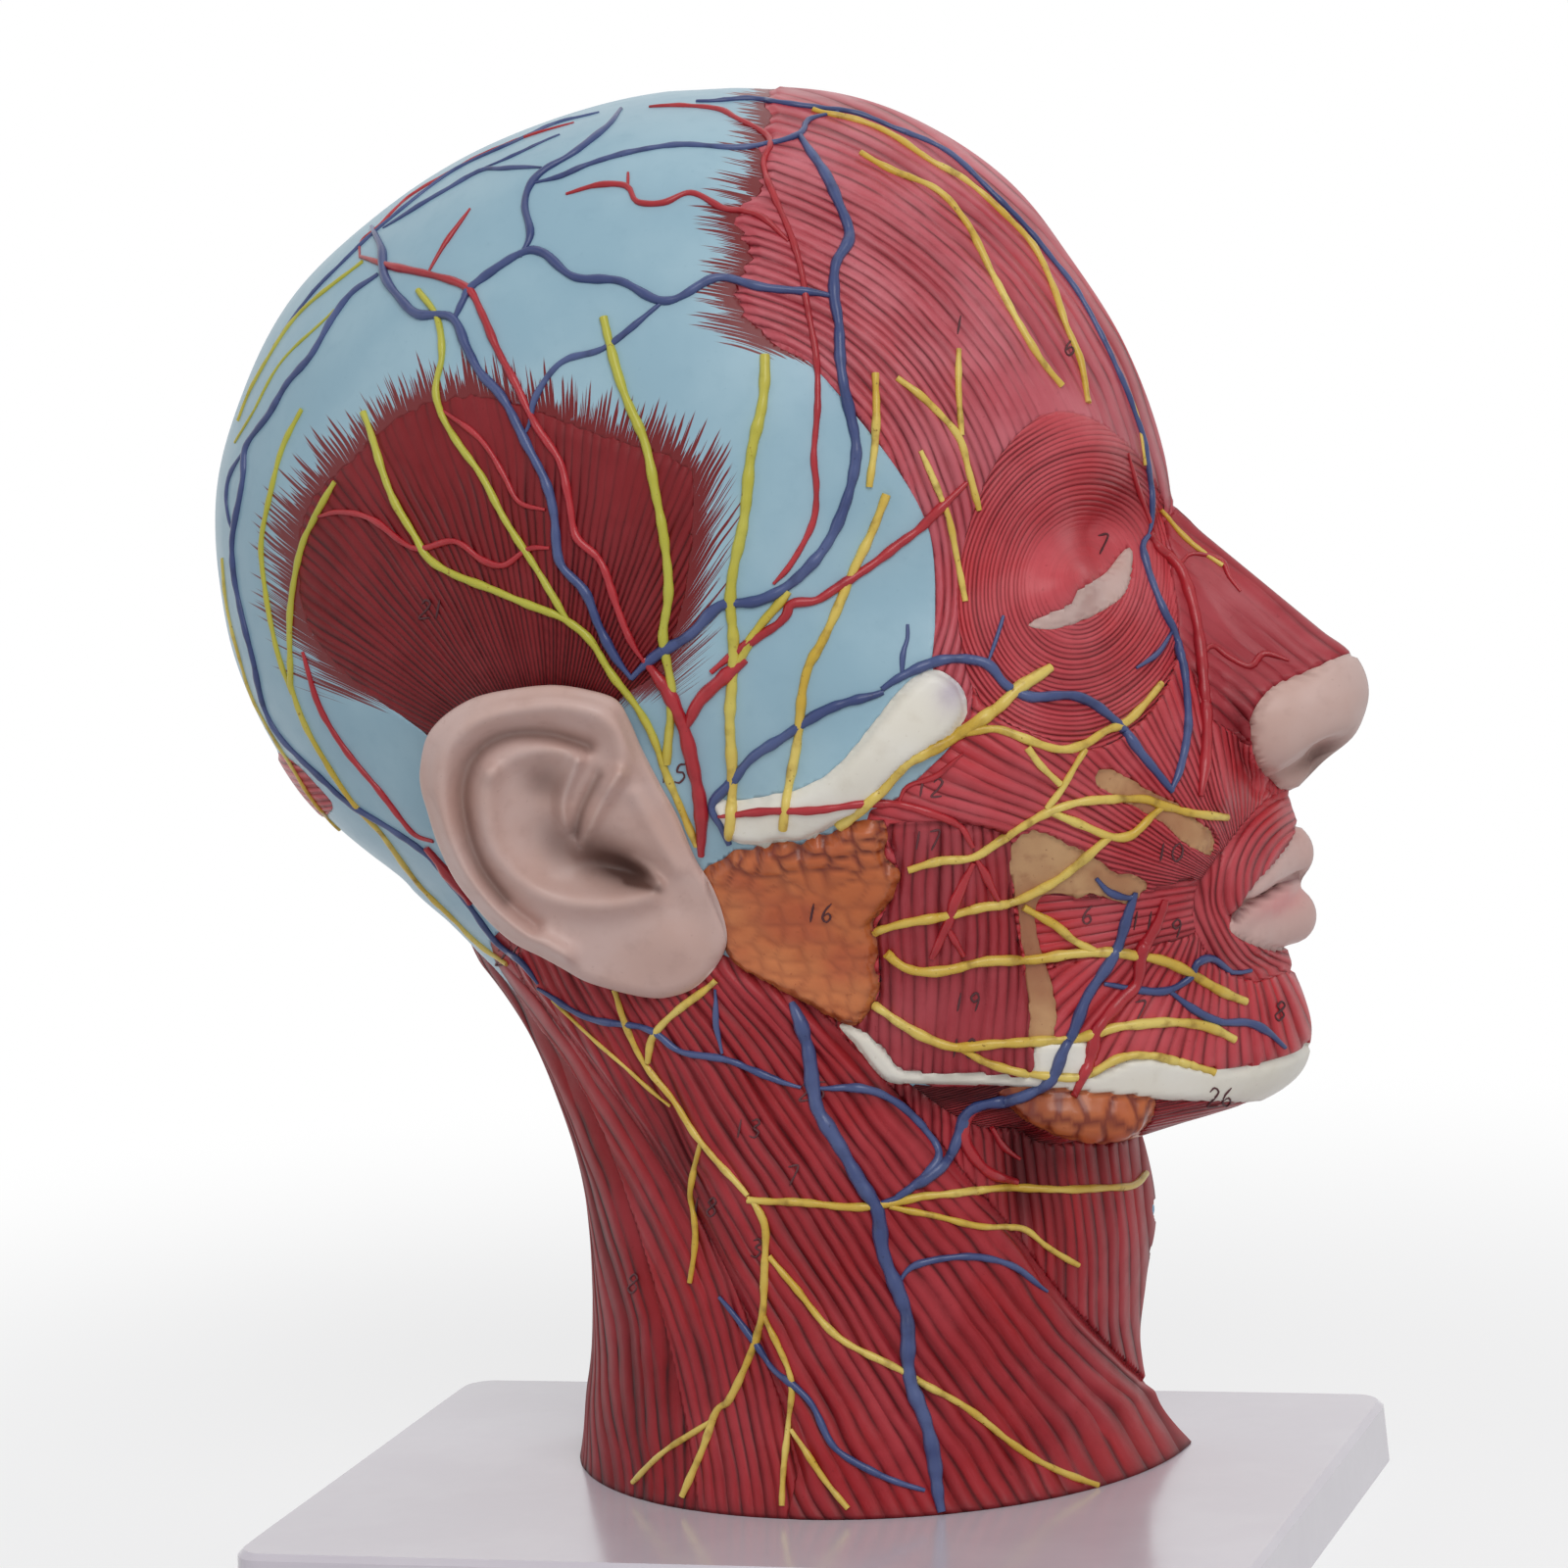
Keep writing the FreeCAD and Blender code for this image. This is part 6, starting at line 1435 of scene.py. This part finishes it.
TREES = (
    Tree("scalp_veins", "vein", (
        (1.3, ((646, 694), (629, 672), (609, 636), (597, 605), (573, 573), (564, 524), (553, 484), (535, 444),
               (513, 408), (490, 381), (477, 355), (463, 326), (428, 321), (410, 306), (392, 283), (390, 256),
               (381, 232))),
        (1.2, ((463, 326), (472, 308), (484, 290), (530, 261), (553, 259), (584, 281), (633, 288), (678, 306),
               (731, 285), (780, 292), (847, 303))),
        (1.1, ((530, 261), (542, 239), (537, 212), (542, 190), (557, 172), (588, 154), (620, 131),
               (635, 111))),
        (0.9, ((545, 188), (571, 181), (602, 167), (646, 156), (696, 147), (749, 152), (780, 147), (816, 136),
               (825, 123), (856, 116))),
        (0.8, ((553, 172), (513, 172), (490, 174), (450, 198), (392, 232))),
        (0.9, ((678, 306), (646, 335), (615, 355), (580, 366), (562, 381), (546, 408), (542, 430),
               (535, 444))),
        (1.1, ((385, 279), (361, 297), (343, 323), (321, 359), (294, 390), (276, 422), (254, 453), (249, 489),
               (238, 542), (240, 578), (247, 623), (258, 672), (274, 727), (306, 774), (342, 806), (367, 824),
               (403, 849), (440, 875), (478, 921), (507, 960), (532, 982), (550, 1005))),
        (0.8, ((254, 453), (236, 484), (231, 511), (234, 533), (238, 542))),
        (1.5, ((646, 694), (673, 665), (705, 645), (736, 620), (776, 611), (812, 591), (843, 556), (865, 511),
               (872, 462), (867, 417), (859, 373), (854, 328), (850, 303), (854, 270), (868, 239), (852, 203),
               (834, 167), (818, 138))),
        (1.0, ((710, 103), (770, 103), (834, 110), (901, 126), (968, 158), (1034, 219), (1071, 262),
               (1107, 312), (1128, 350), (1141, 384), (1156, 420), (1167, 448), (1173, 484), (1174, 526),
               (1170, 548))),
        (0.7, ((612, 114), (560, 130), (500, 156), (440, 190), (398, 224), (352, 266), (312, 308),
               (280, 352))),
        (0.6, ((572, 138), (530, 156), (494, 171))),
        (1.4, ((745, 862), (738, 840), (728, 820), (745, 800), (770, 770), (810, 745), (860, 718),
               (900, 705))),
    )),
    Tree("temporal_arteries", "artery", (
        (0.9, ((662, 110), (727, 110), (754, 122), (785, 143), (778, 167), (789, 198), (807, 239), (816, 270),
               (823, 314), (834, 364), (834, 408), (830, 462), (834, 497), (830, 533), (807, 573),
               (789, 596))),
        (0.9, ((577, 198), (611, 190), (640, 190), (651, 205), (678, 207), (705, 198), (736, 212), (758, 214),
               (780, 223), (805, 247))),
        (0.8, ((640, 190), (640, 177))),
        (1.1, ((367, 263), (396, 272), (439, 279), (475, 294), (490, 319), (508, 355), (526, 390), (544, 430),
               (571, 471), (582, 511), (588, 547), (611, 573), (629, 614), (646, 658), (655, 674))),
        (0.8, ((439, 277), (455, 247), (479, 214))),
        (0.9, ((325, 526), (347, 522), (379, 531), (423, 558), (463, 553), (490, 571), (513, 576), (539, 560),
               (562, 560))),
        (0.8, ((450, 417), (486, 444), (513, 484), (530, 511), (557, 520))),
        (1.0, ((310, 666), (324, 716), (349, 759), (385, 802), (410, 838), (425, 853), (443, 858))),
        (2.0, ((436, 866), (452, 884), (468, 902), (480, 922))),
        (0.6, ((586, 126), (530, 142), (470, 170), (420, 200), (386, 232), (368, 246), (367, 262))),
        (1.3, ((727, 685), (794, 634), (807, 616), (834, 614), (856, 600), (879, 582), (910, 560), (937, 542),
               (963, 515), (986, 493))),
        (1.9, ((655, 672), (682, 705), (700, 745), (708, 790), (716, 840), (718, 872))),
        (2.0, ((702, 738), (712, 715), (735, 695), (762, 672))),
    )),
    Tree("auriculotemporal_nerves", "nerve", (
        (1.1, ((370, 422), (388, 471), (405, 515), (423, 547), (437, 569), (468, 589), (513, 605), (553, 622),
               (580, 636), (606, 656), (629, 694), (664, 747), (685, 800), (710, 862))),
        (1.0, ((428, 297), (446, 323), (450, 364), (446, 404), (468, 453), (495, 493), (521, 538), (548, 582),
               (575, 627), (580, 636))),
        (1.3, ((615, 323), (624, 355), (640, 408), (660, 462), (673, 515), (678, 564), (682, 609), (678, 654),
               (684, 707), (682, 780))),
    )),
    Tree("occipital_nerves", "nerve", (
        (1.0, ((343, 493), (320, 529), (307, 560), (298, 622), (296, 685), (300, 709), (331, 774), (356, 813),
               (389, 849), (432, 906), (475, 949), (518, 983))),
        (0.7, ((370, 268), (318, 308), (284, 350), (258, 392), (244, 430))),
        (0.5, ((341, 316), (288, 370), (256, 424), (240, 452))),
        (0.7, ((228, 570), (234, 630), (251, 691), (270, 734), (292, 774), (330, 828), (372, 870))),
        (0.9, ((309, 417), (283, 475), (269, 542), (271, 596), (280, 654), (300, 707))),
    )),
    Tree("supraorbital_nerves", "nerve", (
        (1.1, ((830, 112), (870, 122), (910, 140), (950, 164), (986, 186), (1021, 216), (1053, 252),
               (1075, 292), (1088, 337), (1102, 373), (1111, 410))),
        (1.1, ((879, 156), (914, 176), (959, 198), (986, 225), (999, 252), (1012, 283), (1039, 328),
               (1062, 368), (1082, 393))),
        (1.0, ((916, 386), (945, 410), (977, 444), (990, 484), (999, 520))),
        (0.9, ((979, 357), (977, 399), (981, 444))),
        (0.9, ((939, 460), (959, 506), (972, 542), (984, 614))),
        (0.8, ((1184, 521), (1208, 547), (1248, 577))),
        (0.6, ((1149, 393), (1160, 426), (1168, 475))),
    )),
    Tree("facial_nerve_branches", "nerve", (
        (1.5, ((780, 364), (776, 417), (765, 484), (754, 551), (747, 609), (747, 685), (745, 855))),
        (1.3, ((803, 602), (776, 640), (750, 685))),
        (1.1, ((894, 381), (892, 448), (888, 498))),
        (1.3, ((903, 506), (888, 547), (865, 596), (838, 654), (820, 707), (800, 845))),
        (1.7, ((857, 844), (882, 819), (920, 784), (952, 763), (983, 746), (1015, 725), (1040, 700),
               (1074, 681))),
        (1.2, ((981, 747), (1016, 745), (1047, 754), (1079, 763), (1103, 761), (1128, 747), (1149, 737),
               (1167, 719), (1184, 698))),
        (1.1, ((1047, 763), (1061, 782), (1082, 800))),
        (1.0, ((1107, 765), (1086, 803), (1068, 824))),
        (1.2, ((925, 889), (959, 877), (994, 875), (1018, 861), (1046, 840), (1067, 828), (1095, 821),
               (1131, 816), (1166, 814), (1187, 823), (1218, 831), (1253, 833))),
        (1.2, ((1074, 828), (1103, 842), (1131, 853), (1152, 851), (1173, 833), (1187, 823))),
        (1.3, ((894, 951), (920, 944), (966, 933), (1001, 926), (1032, 923), (1060, 907), (1089, 889),
               (1113, 872), (1134, 854))),
        (1.2, ((1043, 925), (1075, 942), (1096, 960), (1120, 972))),
        (1.4, ((903, 974), (927, 988), (969, 989), (1008, 982), (1060, 977), (1103, 974), (1141, 972),
               (1176, 977), (1208, 991), (1236, 1005), (1271, 1021))),
        (1.4, ((894, 1026), (920, 1047), (952, 1061), (983, 1068), (1025, 1066), (1067, 1060), (1110, 1058),
               (1148, 1047), (1187, 1042), (1229, 1049), (1260, 1060))),
        (1.2, ((983, 1070), (1008, 1084), (1043, 1096), (1078, 1098), (1110, 1096), (1141, 1081),
               (1176, 1077), (1211, 1084), (1241, 1096))),
    )),
    Tree("facial_vein", "vein", (
        (1.4, ((900, 705), (921, 691), (946, 677), (970, 672), (1005, 679), (1026, 698), (1054, 710),
               (1096, 712), (1125, 726), (1146, 744), (1167, 772), (1196, 807))),
        (0.8, ((1009, 674), (1016, 652), (1023, 628))),
        (0.9, ((925, 638), (925, 652), (921, 667), (921, 691))),
        (1.3, ((1175, 542), (1165, 558), (1170, 586), (1184, 617), (1198, 642), (1205, 667), (1209, 705),
               (1210, 751), (1205, 786), (1196, 807))),
        (0.9, ((1195, 645), (1181, 667), (1160, 681))),
        (1.2, ((1117, 895), (1131, 909), (1152, 916), (1160, 912))),
        (1.6, ((1160, 912), (1148, 938), (1138, 967), (1127, 991), (1110, 1019), (1096, 1051), (1083, 1075),
               (1071, 1103), (1046, 1117), (1008, 1126), (987, 1138), (976, 1160), (966, 1180), (945, 1202),
               (917, 1223))),
        (1.1, ((1127, 1005), (1159, 1009), (1190, 1010), (1215, 998), (1222, 984), (1239, 979), (1257, 991),
               (1276, 989))),
        (1.2, ((1190, 1010), (1215, 1028), (1243, 1042), (1274, 1045), (1295, 1054), (1312, 1068))),
    )),
    Tree("facial_arteries", "artery", (
        (0.8, ((1152, 463), (1162, 500), (1177, 547))),
        (1.7, ((1174, 543), (1182, 556), (1202, 575), (1212, 610), (1223, 652), (1230, 691),
               (1230, 733), (1228, 768), (1226, 814))),
        (0.8, ((1205, 574), (1216, 565), (1244, 572), (1254, 589), (1266, 603))),
        (0.9, ((1226, 670), (1238, 658), (1254, 670), (1275, 681), (1289, 668), (1315, 674))),
        (1.8, ((1188, 917), (1180, 945), (1166, 974), (1159, 1002), (1141, 1019), (1120, 1051), (1115, 1079),
               (1095, 1117))),
        (1.1, ((735, 832), (800, 828), (850, 824), (885, 821), (920, 821), (952, 830), (980, 844),
               (994, 865))),
        (0.8, ((917, 819), (925, 802), (955, 791), (983, 770))),
        (1.5, ((994, 879), (980, 903), (971, 924), (966, 945), (952, 977))),
        (1.4, ((996, 878), (1008, 895), (1020, 917))),
        (1.2, ((967, 944), (976, 960), (984, 976))),
        (1.7, ((1000, 1126), (990, 1140), (984, 1160), (992, 1180), (1008, 1196), (1036, 1205))),
        (1.2, ((1010, 1150), (1022, 1168), (1042, 1182))),
    )),
    Tree("external_jugular_vein", "vein", (
        (2.0, ((809, 1022), (818, 1054), (829, 1103), (836, 1130), (854, 1165), (876, 1205), (896, 1237),
               (903, 1277), (914, 1312), (925, 1357), (930, 1402), (941, 1446), (952, 1491), (963, 1545))),
        (1.2, ((836, 1109), (880, 1112), (916, 1125), (943, 1152), (956, 1179), (947, 1196), (920, 1219),
               (898, 1228))),
        (1.0, ((550, 1009), (595, 1036), (662, 1051), (693, 1071), (733, 1080), (773, 1094), (818, 1109))),
        (0.9, ((729, 1009), (731, 1045), (738, 1076))),
        (1.0, ((916, 1312), (934, 1292), (983, 1281), (1032, 1292), (1068, 1317))),
        (1.0, ((733, 1324), (769, 1366), (793, 1400), (827, 1433), (854, 1478), (894, 1504), (943, 1520))),
    )),
    Tree("cervical_nerves", "nerve", (
        (1.0, ((626, 1009), (639, 1045), (659, 1085), (684, 1120), (706, 1152), (729, 1179), (762, 1221))),
        (1.1, ((729, 1000), (697, 1027), (668, 1058), (661, 1083))),
        (0.9, ((715, 1165), (706, 1214), (709, 1259), (704, 1308))),
        (1.1, ((762, 1223), (818, 1228), (898, 1230), (952, 1219), (1014, 1214), (1063, 1212), (1112, 1214),
               (1153, 1210), (1168, 1196))),
        (0.9, ((907, 1230), (952, 1241), (996, 1250), (1041, 1254), (1068, 1272), (1101, 1290))),
        (1.1, ((766, 1225), (780, 1250), (782, 1277), (778, 1339), (764, 1384), (746, 1429), (729, 1446),
               (697, 1528))),
        (0.9, ((729, 1446), (684, 1478), (646, 1512))),
        (0.9, ((778, 1339), (796, 1375), (807, 1411), (804, 1455), (798, 1536))),
        (0.9, ((807, 1460), (836, 1500), (865, 1540))),
        (0.6, ((564, 1021), (590, 1045), (625, 1078), (655, 1105), (685, 1128))),
        (1.0, ((784, 1281), (809, 1312), (845, 1353), (880, 1380), (930, 1404), (974, 1429), (1028, 1469),
               (1072, 1498), (1124, 1516))),
    )),
)


# Key numbers, handwritten: strokes of each figure in a box one wide and one and a half high.
FIGURES = {
    "0": (((0.5, 0.0), (0.1, 0.4), (0.05, 1.0), (0.4, 1.5), (0.8, 1.1), (0.8, 0.4), (0.5, 0.0)),),
    "1": (((0.35, 0.0), (0.3, 1.5)),),
    "2": (((0.1, 0.35), (0.4, 0.0), (0.8, 0.3), (0.5, 0.9), (0.05, 1.5), (0.9, 1.45)),),
    "3": (((0.1, 0.15), (0.55, 0.0), (0.75, 0.35), (0.35, 0.7), (0.8, 1.05), (0.5, 1.5), (0.05, 1.35)),),
    "4": (((0.5, 0.0), (0.05, 0.95), (0.9, 0.9)), ((0.65, 0.5), (0.6, 1.55))),
    "5": (((0.8, 0.0), (0.25, 0.05), (0.15, 0.6), (0.6, 0.65), (0.8, 1.05), (0.45, 1.5), (0.05, 1.4)),),
    "6": (((0.65, 0.0), (0.2, 0.6), (0.1, 1.2), (0.45, 1.5), (0.75, 1.15), (0.5, 0.8), (0.15, 1.05)),),
    "7": (((0.05, 0.05), (0.85, 0.0), (0.4, 1.55)),),
    "8": (((0.5, 0.7), (0.15, 0.4), (0.45, 0.0), (0.75, 0.35), (0.45, 0.75), (0.1, 1.15), (0.45, 1.55),
           (0.8, 1.15), (0.5, 0.7)),),
    "9": (((0.75, 0.45), (0.4, 0.75), (0.1, 0.4), (0.45, 0.0), (0.75, 0.4), (0.6, 1.5)),),
}
KEY_NUMBERS = (
    ("7", (1120, 546)), ("1", (976, 322)), ("21", (430, 612)), ("15", (676, 780)), ("16", (826, 922)),
    ("17", (934, 848)), ("18", (972, 1060)), ("19", (976, 1013)), ("10", (1183, 860)), ("6", (1088, 344)),
    ("25", (818, 1104)), ("6", (1106, 924)), ("11", (1156, 930)), ("9", (1196, 938)), ("13", (752, 1142)),
    ("7", (804, 1190)), ("8", (642, 1300)), ("26", (1234, 1110)), ("18", (708, 1222)), ("3", (768, 1264)),
    ("7", (1158, 1022)), ("8", (1302, 1022)), ("24", (508, 966)), ("12", (938, 794)),
)
FIGURE_PIXELS = 12.5


def number_strokes() -> Tuple[Tuple[float, Outline], ...]:
    """Return every stroke of the key numbers as a radius and a route of pixels."""
    strokes = []
    for figures, (x, y) in KEY_NUMBERS:
        for k, figure in enumerate(figures):
            for stroke in FIGURES[figure]:
                route = tuple((x + (k * 1.15 + u - 0.15 * v) * FIGURE_PIXELS, y + v * FIGURE_PIXELS)
                              for u, v in stroke)
                strokes.append((0.22, route))
    return tuple(strokes)


# The ear

EAR_OUTLINE = ((628, 713), (596, 703), (568, 699), (545, 700), (523, 703), (500, 707), (481, 713), (463, 723),
               (449, 734), (438, 747), (432, 762), (428, 790), (430, 808), (435, 825), (446, 860), (463, 896),
               (484, 924), (500, 942), (519, 959), (534, 968), (551, 976), (573, 988), (596, 1001),
               (617, 1008), (639, 1014), (660, 1018), (681, 1018), (709, 1008), (733, 983), (742, 959),
               (737, 931), (726, 903), (709, 875), (691, 832), (674, 801), (656, 766), (642, 734))
EAR_STROKES = (
    Stroke(((622, 800), (634, 778), (630, 752), (618, 736), (596, 726), (558, 722), (505, 730), (474, 745),
            (455, 768), (450, 806), (458, 850), (476, 890), (500, 922), (534, 950), (575, 975)), 13.0, 3.4),
    Stroke(((600, 760), (560, 748), (520, 748), (492, 762), (477, 785), (472, 812), (477, 846), (491, 884),
            (516, 919), (545, 944)), 9.0, -3.6),
    Stroke(((500, 790), (496, 828), (505, 869), (535, 902), (575, 920), (625, 922), (662, 912)), 14.0, 3.4),
    Stroke(((500, 790), (520, 774), (556, 766), (590, 770)), 10.0, 1.6),
    Stroke(((589, 778), (574, 816), (576, 842)), 7.0, 2.8),
    Stroke(((610, 790), (594, 822), (586, 850)), 6.0, -1.6),
    Stroke(((632, 792), (612, 824), (602, 846), (592, 866)), 8.0, 3.0),
    Stroke(((648, 812), (668, 850), (690, 886)), 9.0, 1.2),
    Stroke(((673, 902), (664, 890), (648, 878)), 6.0, 2.2),
)
EAR_HOLLOWS = (
    Brush((556, 800), (24, 22), 15, -3.6),
    Brush((610, 878), (34, 24), 25, -6.5),
    Brush((646, 888), (26, 17), 25, -6.0),
    Brush((560, 862), (26, 40), -20, -3.2),
    Brush((683, 965), (34, 30), 0, 1.2),
    Brush((700, 930), (20, 30), -20, -0.8),
)
# Painted shade in the ear's hollows, the concha, the canal and the furrows, together with the darker
# airbrushed paint that the model has there.
EAR_SHADES = (
    Brush((612, 876), (38, 22), 25, 0.8),
    Brush((646, 890), (28, 13), 25, 0.9),
    Brush((556, 800), (24, 20), 15, 0.5),
    Brush((566, 860), (18, 34), -20, 0.35),
    Stroke(((600, 762), (560, 750), (520, 750), (492, 764), (478, 786), (473, 812), (478, 846), (492, 884),
            (516, 918)), 7.0, 0.45),
    Stroke(((612, 792), (596, 822), (588, 850)), 5.0, 0.45),
    Stroke(((640, 900), (672, 908)), 4.0, 0.5),
)


class Ear:
    """The auricle: a thick dished leaf, fixed along its front and standing off behind."""

    middle = (590.0, 862.0)
    spokes = 300
    rings = 80
    thickness = 3.4
    rim = 12.0
    # Pixels of the leaf's plane, with its standoff there in millimetres.
    plane = (((632.0, 712.0), 4.0), ((735.0, 965.0), 4.0), ((440.0, 790.0), 14.5))

    def build(self, skin: Skin) -> None:
        """Make the ear on rings about its middle, out to its outline."""
        pixels, border = self._rings()
        relief, shade = self._sculpt(pixels, border)
        plane = self._plane(skin)
        outer, inner = np.zeros((len(pixels), 3)), np.zeros((len(pixels), 3))
        round_off = self.rim / PIXELS_PER_MM
        for k, pixel in enumerate(pixels):
            ray, (place, _) = PHOTO.ray(pixel), skin.hit(pixel)
            head = (place - PHOTO.place).length
            leaf = plane[0] + plane[1] * pixel[0] + plane[2] * pixel[1]
            inward = min(border[k] / self.rim, 1.0)
            drop = round_off * (1.0 - math.sqrt(max(1.0 - (1.0 - inward) ** 2, 0.0)))
            front = min(leaf - relief[k] + drop, head - 0.3)
            rear = min(max(leaf + self.thickness - 0.6 * drop, front + 1.4), head + 0.6)
            outer[k] = PHOTO.place + ray * front
            inner[k] = PHOTO.place + ray * rear
        layers = {"paint": np.stack((shade, np.ones(len(shade))), axis=1)}
        ear = closed_shell("ear_leaf", outer, inner, self._faces(), layers)
        bpy.ops.object.select_all(action="DESELECT")
        ear.select_set(True)
        bpy.context.view_layer.objects.active = ear
        modifier = ear.modifiers.new("even", "SMOOTH")
        modifier.factor = 0.5
        modifier.iterations = 4
        bpy.ops.object.modifier_apply(modifier=modifier.name)
        publish(ear, "ear", "skin")

    def _rings(self) -> Tuple[np.ndarray, np.ndarray]:
        """Return the pixels of all rings, the middle first, and their distance to the outline."""
        outline = rounded_outline(EAR_OUTLINE, 6)
        away = outline - np.array(self.middle)
        bearings, reach = np.arctan2(away[:, 1], away[:, 0]), np.hypot(away[:, 0], away[:, 1])
        order = np.argsort(bearings)
        turns = np.linspace(-math.pi, math.pi, self.spokes, endpoint=False)
        radii = np.interp(turns, bearings[order], reach[order], period=2 * math.pi)
        shares = np.sin(np.linspace(0.0, math.pi / 2, self.rings + 1))[1:] ** 0.9
        circle = np.stack((np.cos(turns), np.sin(turns)), axis=1) * radii[:, None]
        pixels = np.array(self.middle) + shares[:, None, None] * circle[None]
        pixels = np.vstack((np.array(self.middle)[None], pixels.reshape(-1, 2)))
        return pixels, np.maximum(-outline_distance(pixels, outline), 0.0)

    def _faces(self) -> List[List[int]]:
        """Return the leaf's faces, facing the camera."""
        faces = []
        for spoke in range(self.spokes):
            after = (spoke + 1) % self.spokes
            faces.append([0, 1 + after, 1 + spoke])
            for ring in range(self.rings - 1):
                low, high = 1 + ring * self.spokes, 1 + (ring + 1) * self.spokes
                faces.append([low + spoke, low + after, high + after, high + spoke])
        return faces

    def _plane(self, skin: Skin) -> np.ndarray:
        """Return the leaf's distance from the camera as a constant and a slope along each pixel axis."""
        rows, depths = [], []
        for pixel, standoff in self.plane:
            place, _ = skin.hit(pixel)
            rows.append((1.0, *pixel))
            depths.append((place - PHOTO.place).length - standoff)
        return np.linalg.solve(np.array(rows), np.array(depths))

    def _sculpt(self, pixels: np.ndarray, border: np.ndarray) -> Tuple[np.ndarray, np.ndarray]:
        """Return the relief on the leaf and how much painted shade lies in its hollows."""
        relief = sum(stroke.heights(pixels) for stroke in EAR_STROKES)
        relief = relief + sum(hollow.heights(pixels) for hollow in EAR_HOLLOWS)
        shade = sum(stroke.heights(pixels) for stroke in EAR_SHADES)
        return relief * ease(border, 0.0, 14.0), np.clip(shade, 0.0, 0.92)


# Stage


class Studio:
    """Floor, soft lights and world of a product picture on white."""

    def build(self) -> None:
        """Add the floor, the lights and the world, and set the renderer."""
        bpy.ops.mesh.primitive_plane_add(size=8.0, location=(0, 0, 0))
        floor = bpy.context.object
        floor.name = "floor"
        floor.data.materials.append(self._floor_material())
        self._light("key_light", (0.9, -1.4, 1.5), 1.2, 19.0)
        self._light("fill_light", (-1.5, -1.2, 0.8), 1.4, 3.5)
        self._light("top_light", (0.1, 0.3, 1.9), 1.6, 6.0)
        world = bpy.context.scene.world or bpy.data.worlds.new("studio")
        bpy.context.scene.world = world
        world.use_nodes = True
        world.node_tree.nodes.clear()
        graph = Graph(world.node_tree)
        color = graph.blend(self._seen(graph), (0.32, 0.325, 0.335, 1.0), (1.0, 1.0, 1.0, 1.0))
        sky = graph.add("ShaderNodeBackground", None, {"Color": color, "Strength": 1.0})
        graph.add("ShaderNodeOutputWorld", None, {"Surface": sky.outputs[0]})
        scene = bpy.context.scene
        scene.view_settings.view_transform = "Standard"
        scene.render.resolution_x = PHOTO_SIZE
        scene.render.resolution_y = PHOTO_SIZE

    @staticmethod
    def _light(name: str, place: Tuple[float, float, float], size: float, power: float) -> None:
        """Add one square soft light that looks at the head."""
        bpy.ops.object.light_add(type="AREA", location=place)
        light = bpy.context.object
        light.name = name
        light.data.size = size
        light.data.energy = power
        aim = Vector((0.0, 0.0, 0.15)) - Vector(place)
        light.rotation_euler = aim.to_track_quat("-Z", "Y").to_euler()

    @staticmethod
    def _seen(graph: Graph) -> bpy.types.NodeSocket:
        """Return 1 for rays that show the background, also mirrored, and 0 for rays that light the object."""
        path = graph.add("ShaderNodeLightPath").outputs
        mirrored = graph.math("MAXIMUM", path["Is Glossy Ray"], path["Is Transmission Ray"])
        return graph.math("MAXIMUM", path["Is Camera Ray"], mirrored)

    def _floor_material(self) -> bpy.types.Material:
        """Return a floor that is white where it is seen and keeps a soft shadow near the object."""
        material = bpy.data.materials.new("floor_white")
        material.use_nodes = True
        material.node_tree.nodes.clear()
        graph = Graph(material.node_tree)
        place = graph.add("ShaderNodeTexCoord").outputs["Object"]
        away = graph.add("ShaderNodeVectorMath", {"operation": "LENGTH"}, {0: place})
        far = graph.step(away.outputs["Value"], 0.16, 0.5)
        lit = graph.add("ShaderNodeBsdfDiffuse", None, {"Color": (0.75, 0.75, 0.76, 1.0)})
        glow = graph.add("ShaderNodeEmission", None, {"Color": (1.0, 1.0, 1.0, 1.0), "Strength": 1.0})
        share = graph.math("MULTIPLY", self._seen(graph),
                           graph.math("ADD", 0.72, graph.math("MULTIPLY", far, 0.28)))
        both = graph.add("ShaderNodeMixShader", None, {0: share, 1: lit.outputs[0], 2: glow.outputs[0]})
        graph.add("ShaderNodeOutputMaterial", None, {"Surface": both.outputs[0]})
        return material


# Nodes of the frame that keep their own shape, with the finish that each takes.
KEPT_NODES = {
    "base_board": "board", "mounting_screws": "screw", "screw_washers": "screw", "neck_plug": "cast",
    "inner_cast": "cast", "corpus_callosum": "white_matter", "brain_stem": "white_matter",
    "cerebellum": "brain", "brain_half": "brain", "spinal_cord": "white_matter",
    "nasal_cavity_wall": "mucosa", "hard_palate": "bone", "soft_palate": "mucosa", "tongue": "mucosa",
    "mandible_section": "bone", "hyoid_bone": "bone", "epiglottis": "cartilage", "trachea": "cartilage",
    "oesophagus": "mucosa", "cervical_vertebrae": "bone", "intervertebral_discs": "cartilage",
    "nasal_conchae": "mucosa", "skull_section": "bone", "throat_section": "face_muscle",
}


def paint_kept_nodes() -> None:
    """Give the frame's own nodes the finishes of the finished pieces."""
    for name, finish in KEPT_NODES.items():
        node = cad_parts[name]
        node.data.materials.clear()
        node.data.materials.append(FINISHES[finish].material(finish))


def main() -> None:
    """Build the finished model and its stage."""
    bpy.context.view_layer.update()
    paint_kept_nodes()
    skin = Skin(HeadForm())
    skin.build()
    skin.build_section()
    for tree in TREES:
        tree.build(skin)
    Tree("", "ink", number_strokes(), 0.3, 1.0).build(skin)
    Ear().build(skin)
    Studio().build()
    PHOTO.build()


if __name__ == "__main__":
    main()
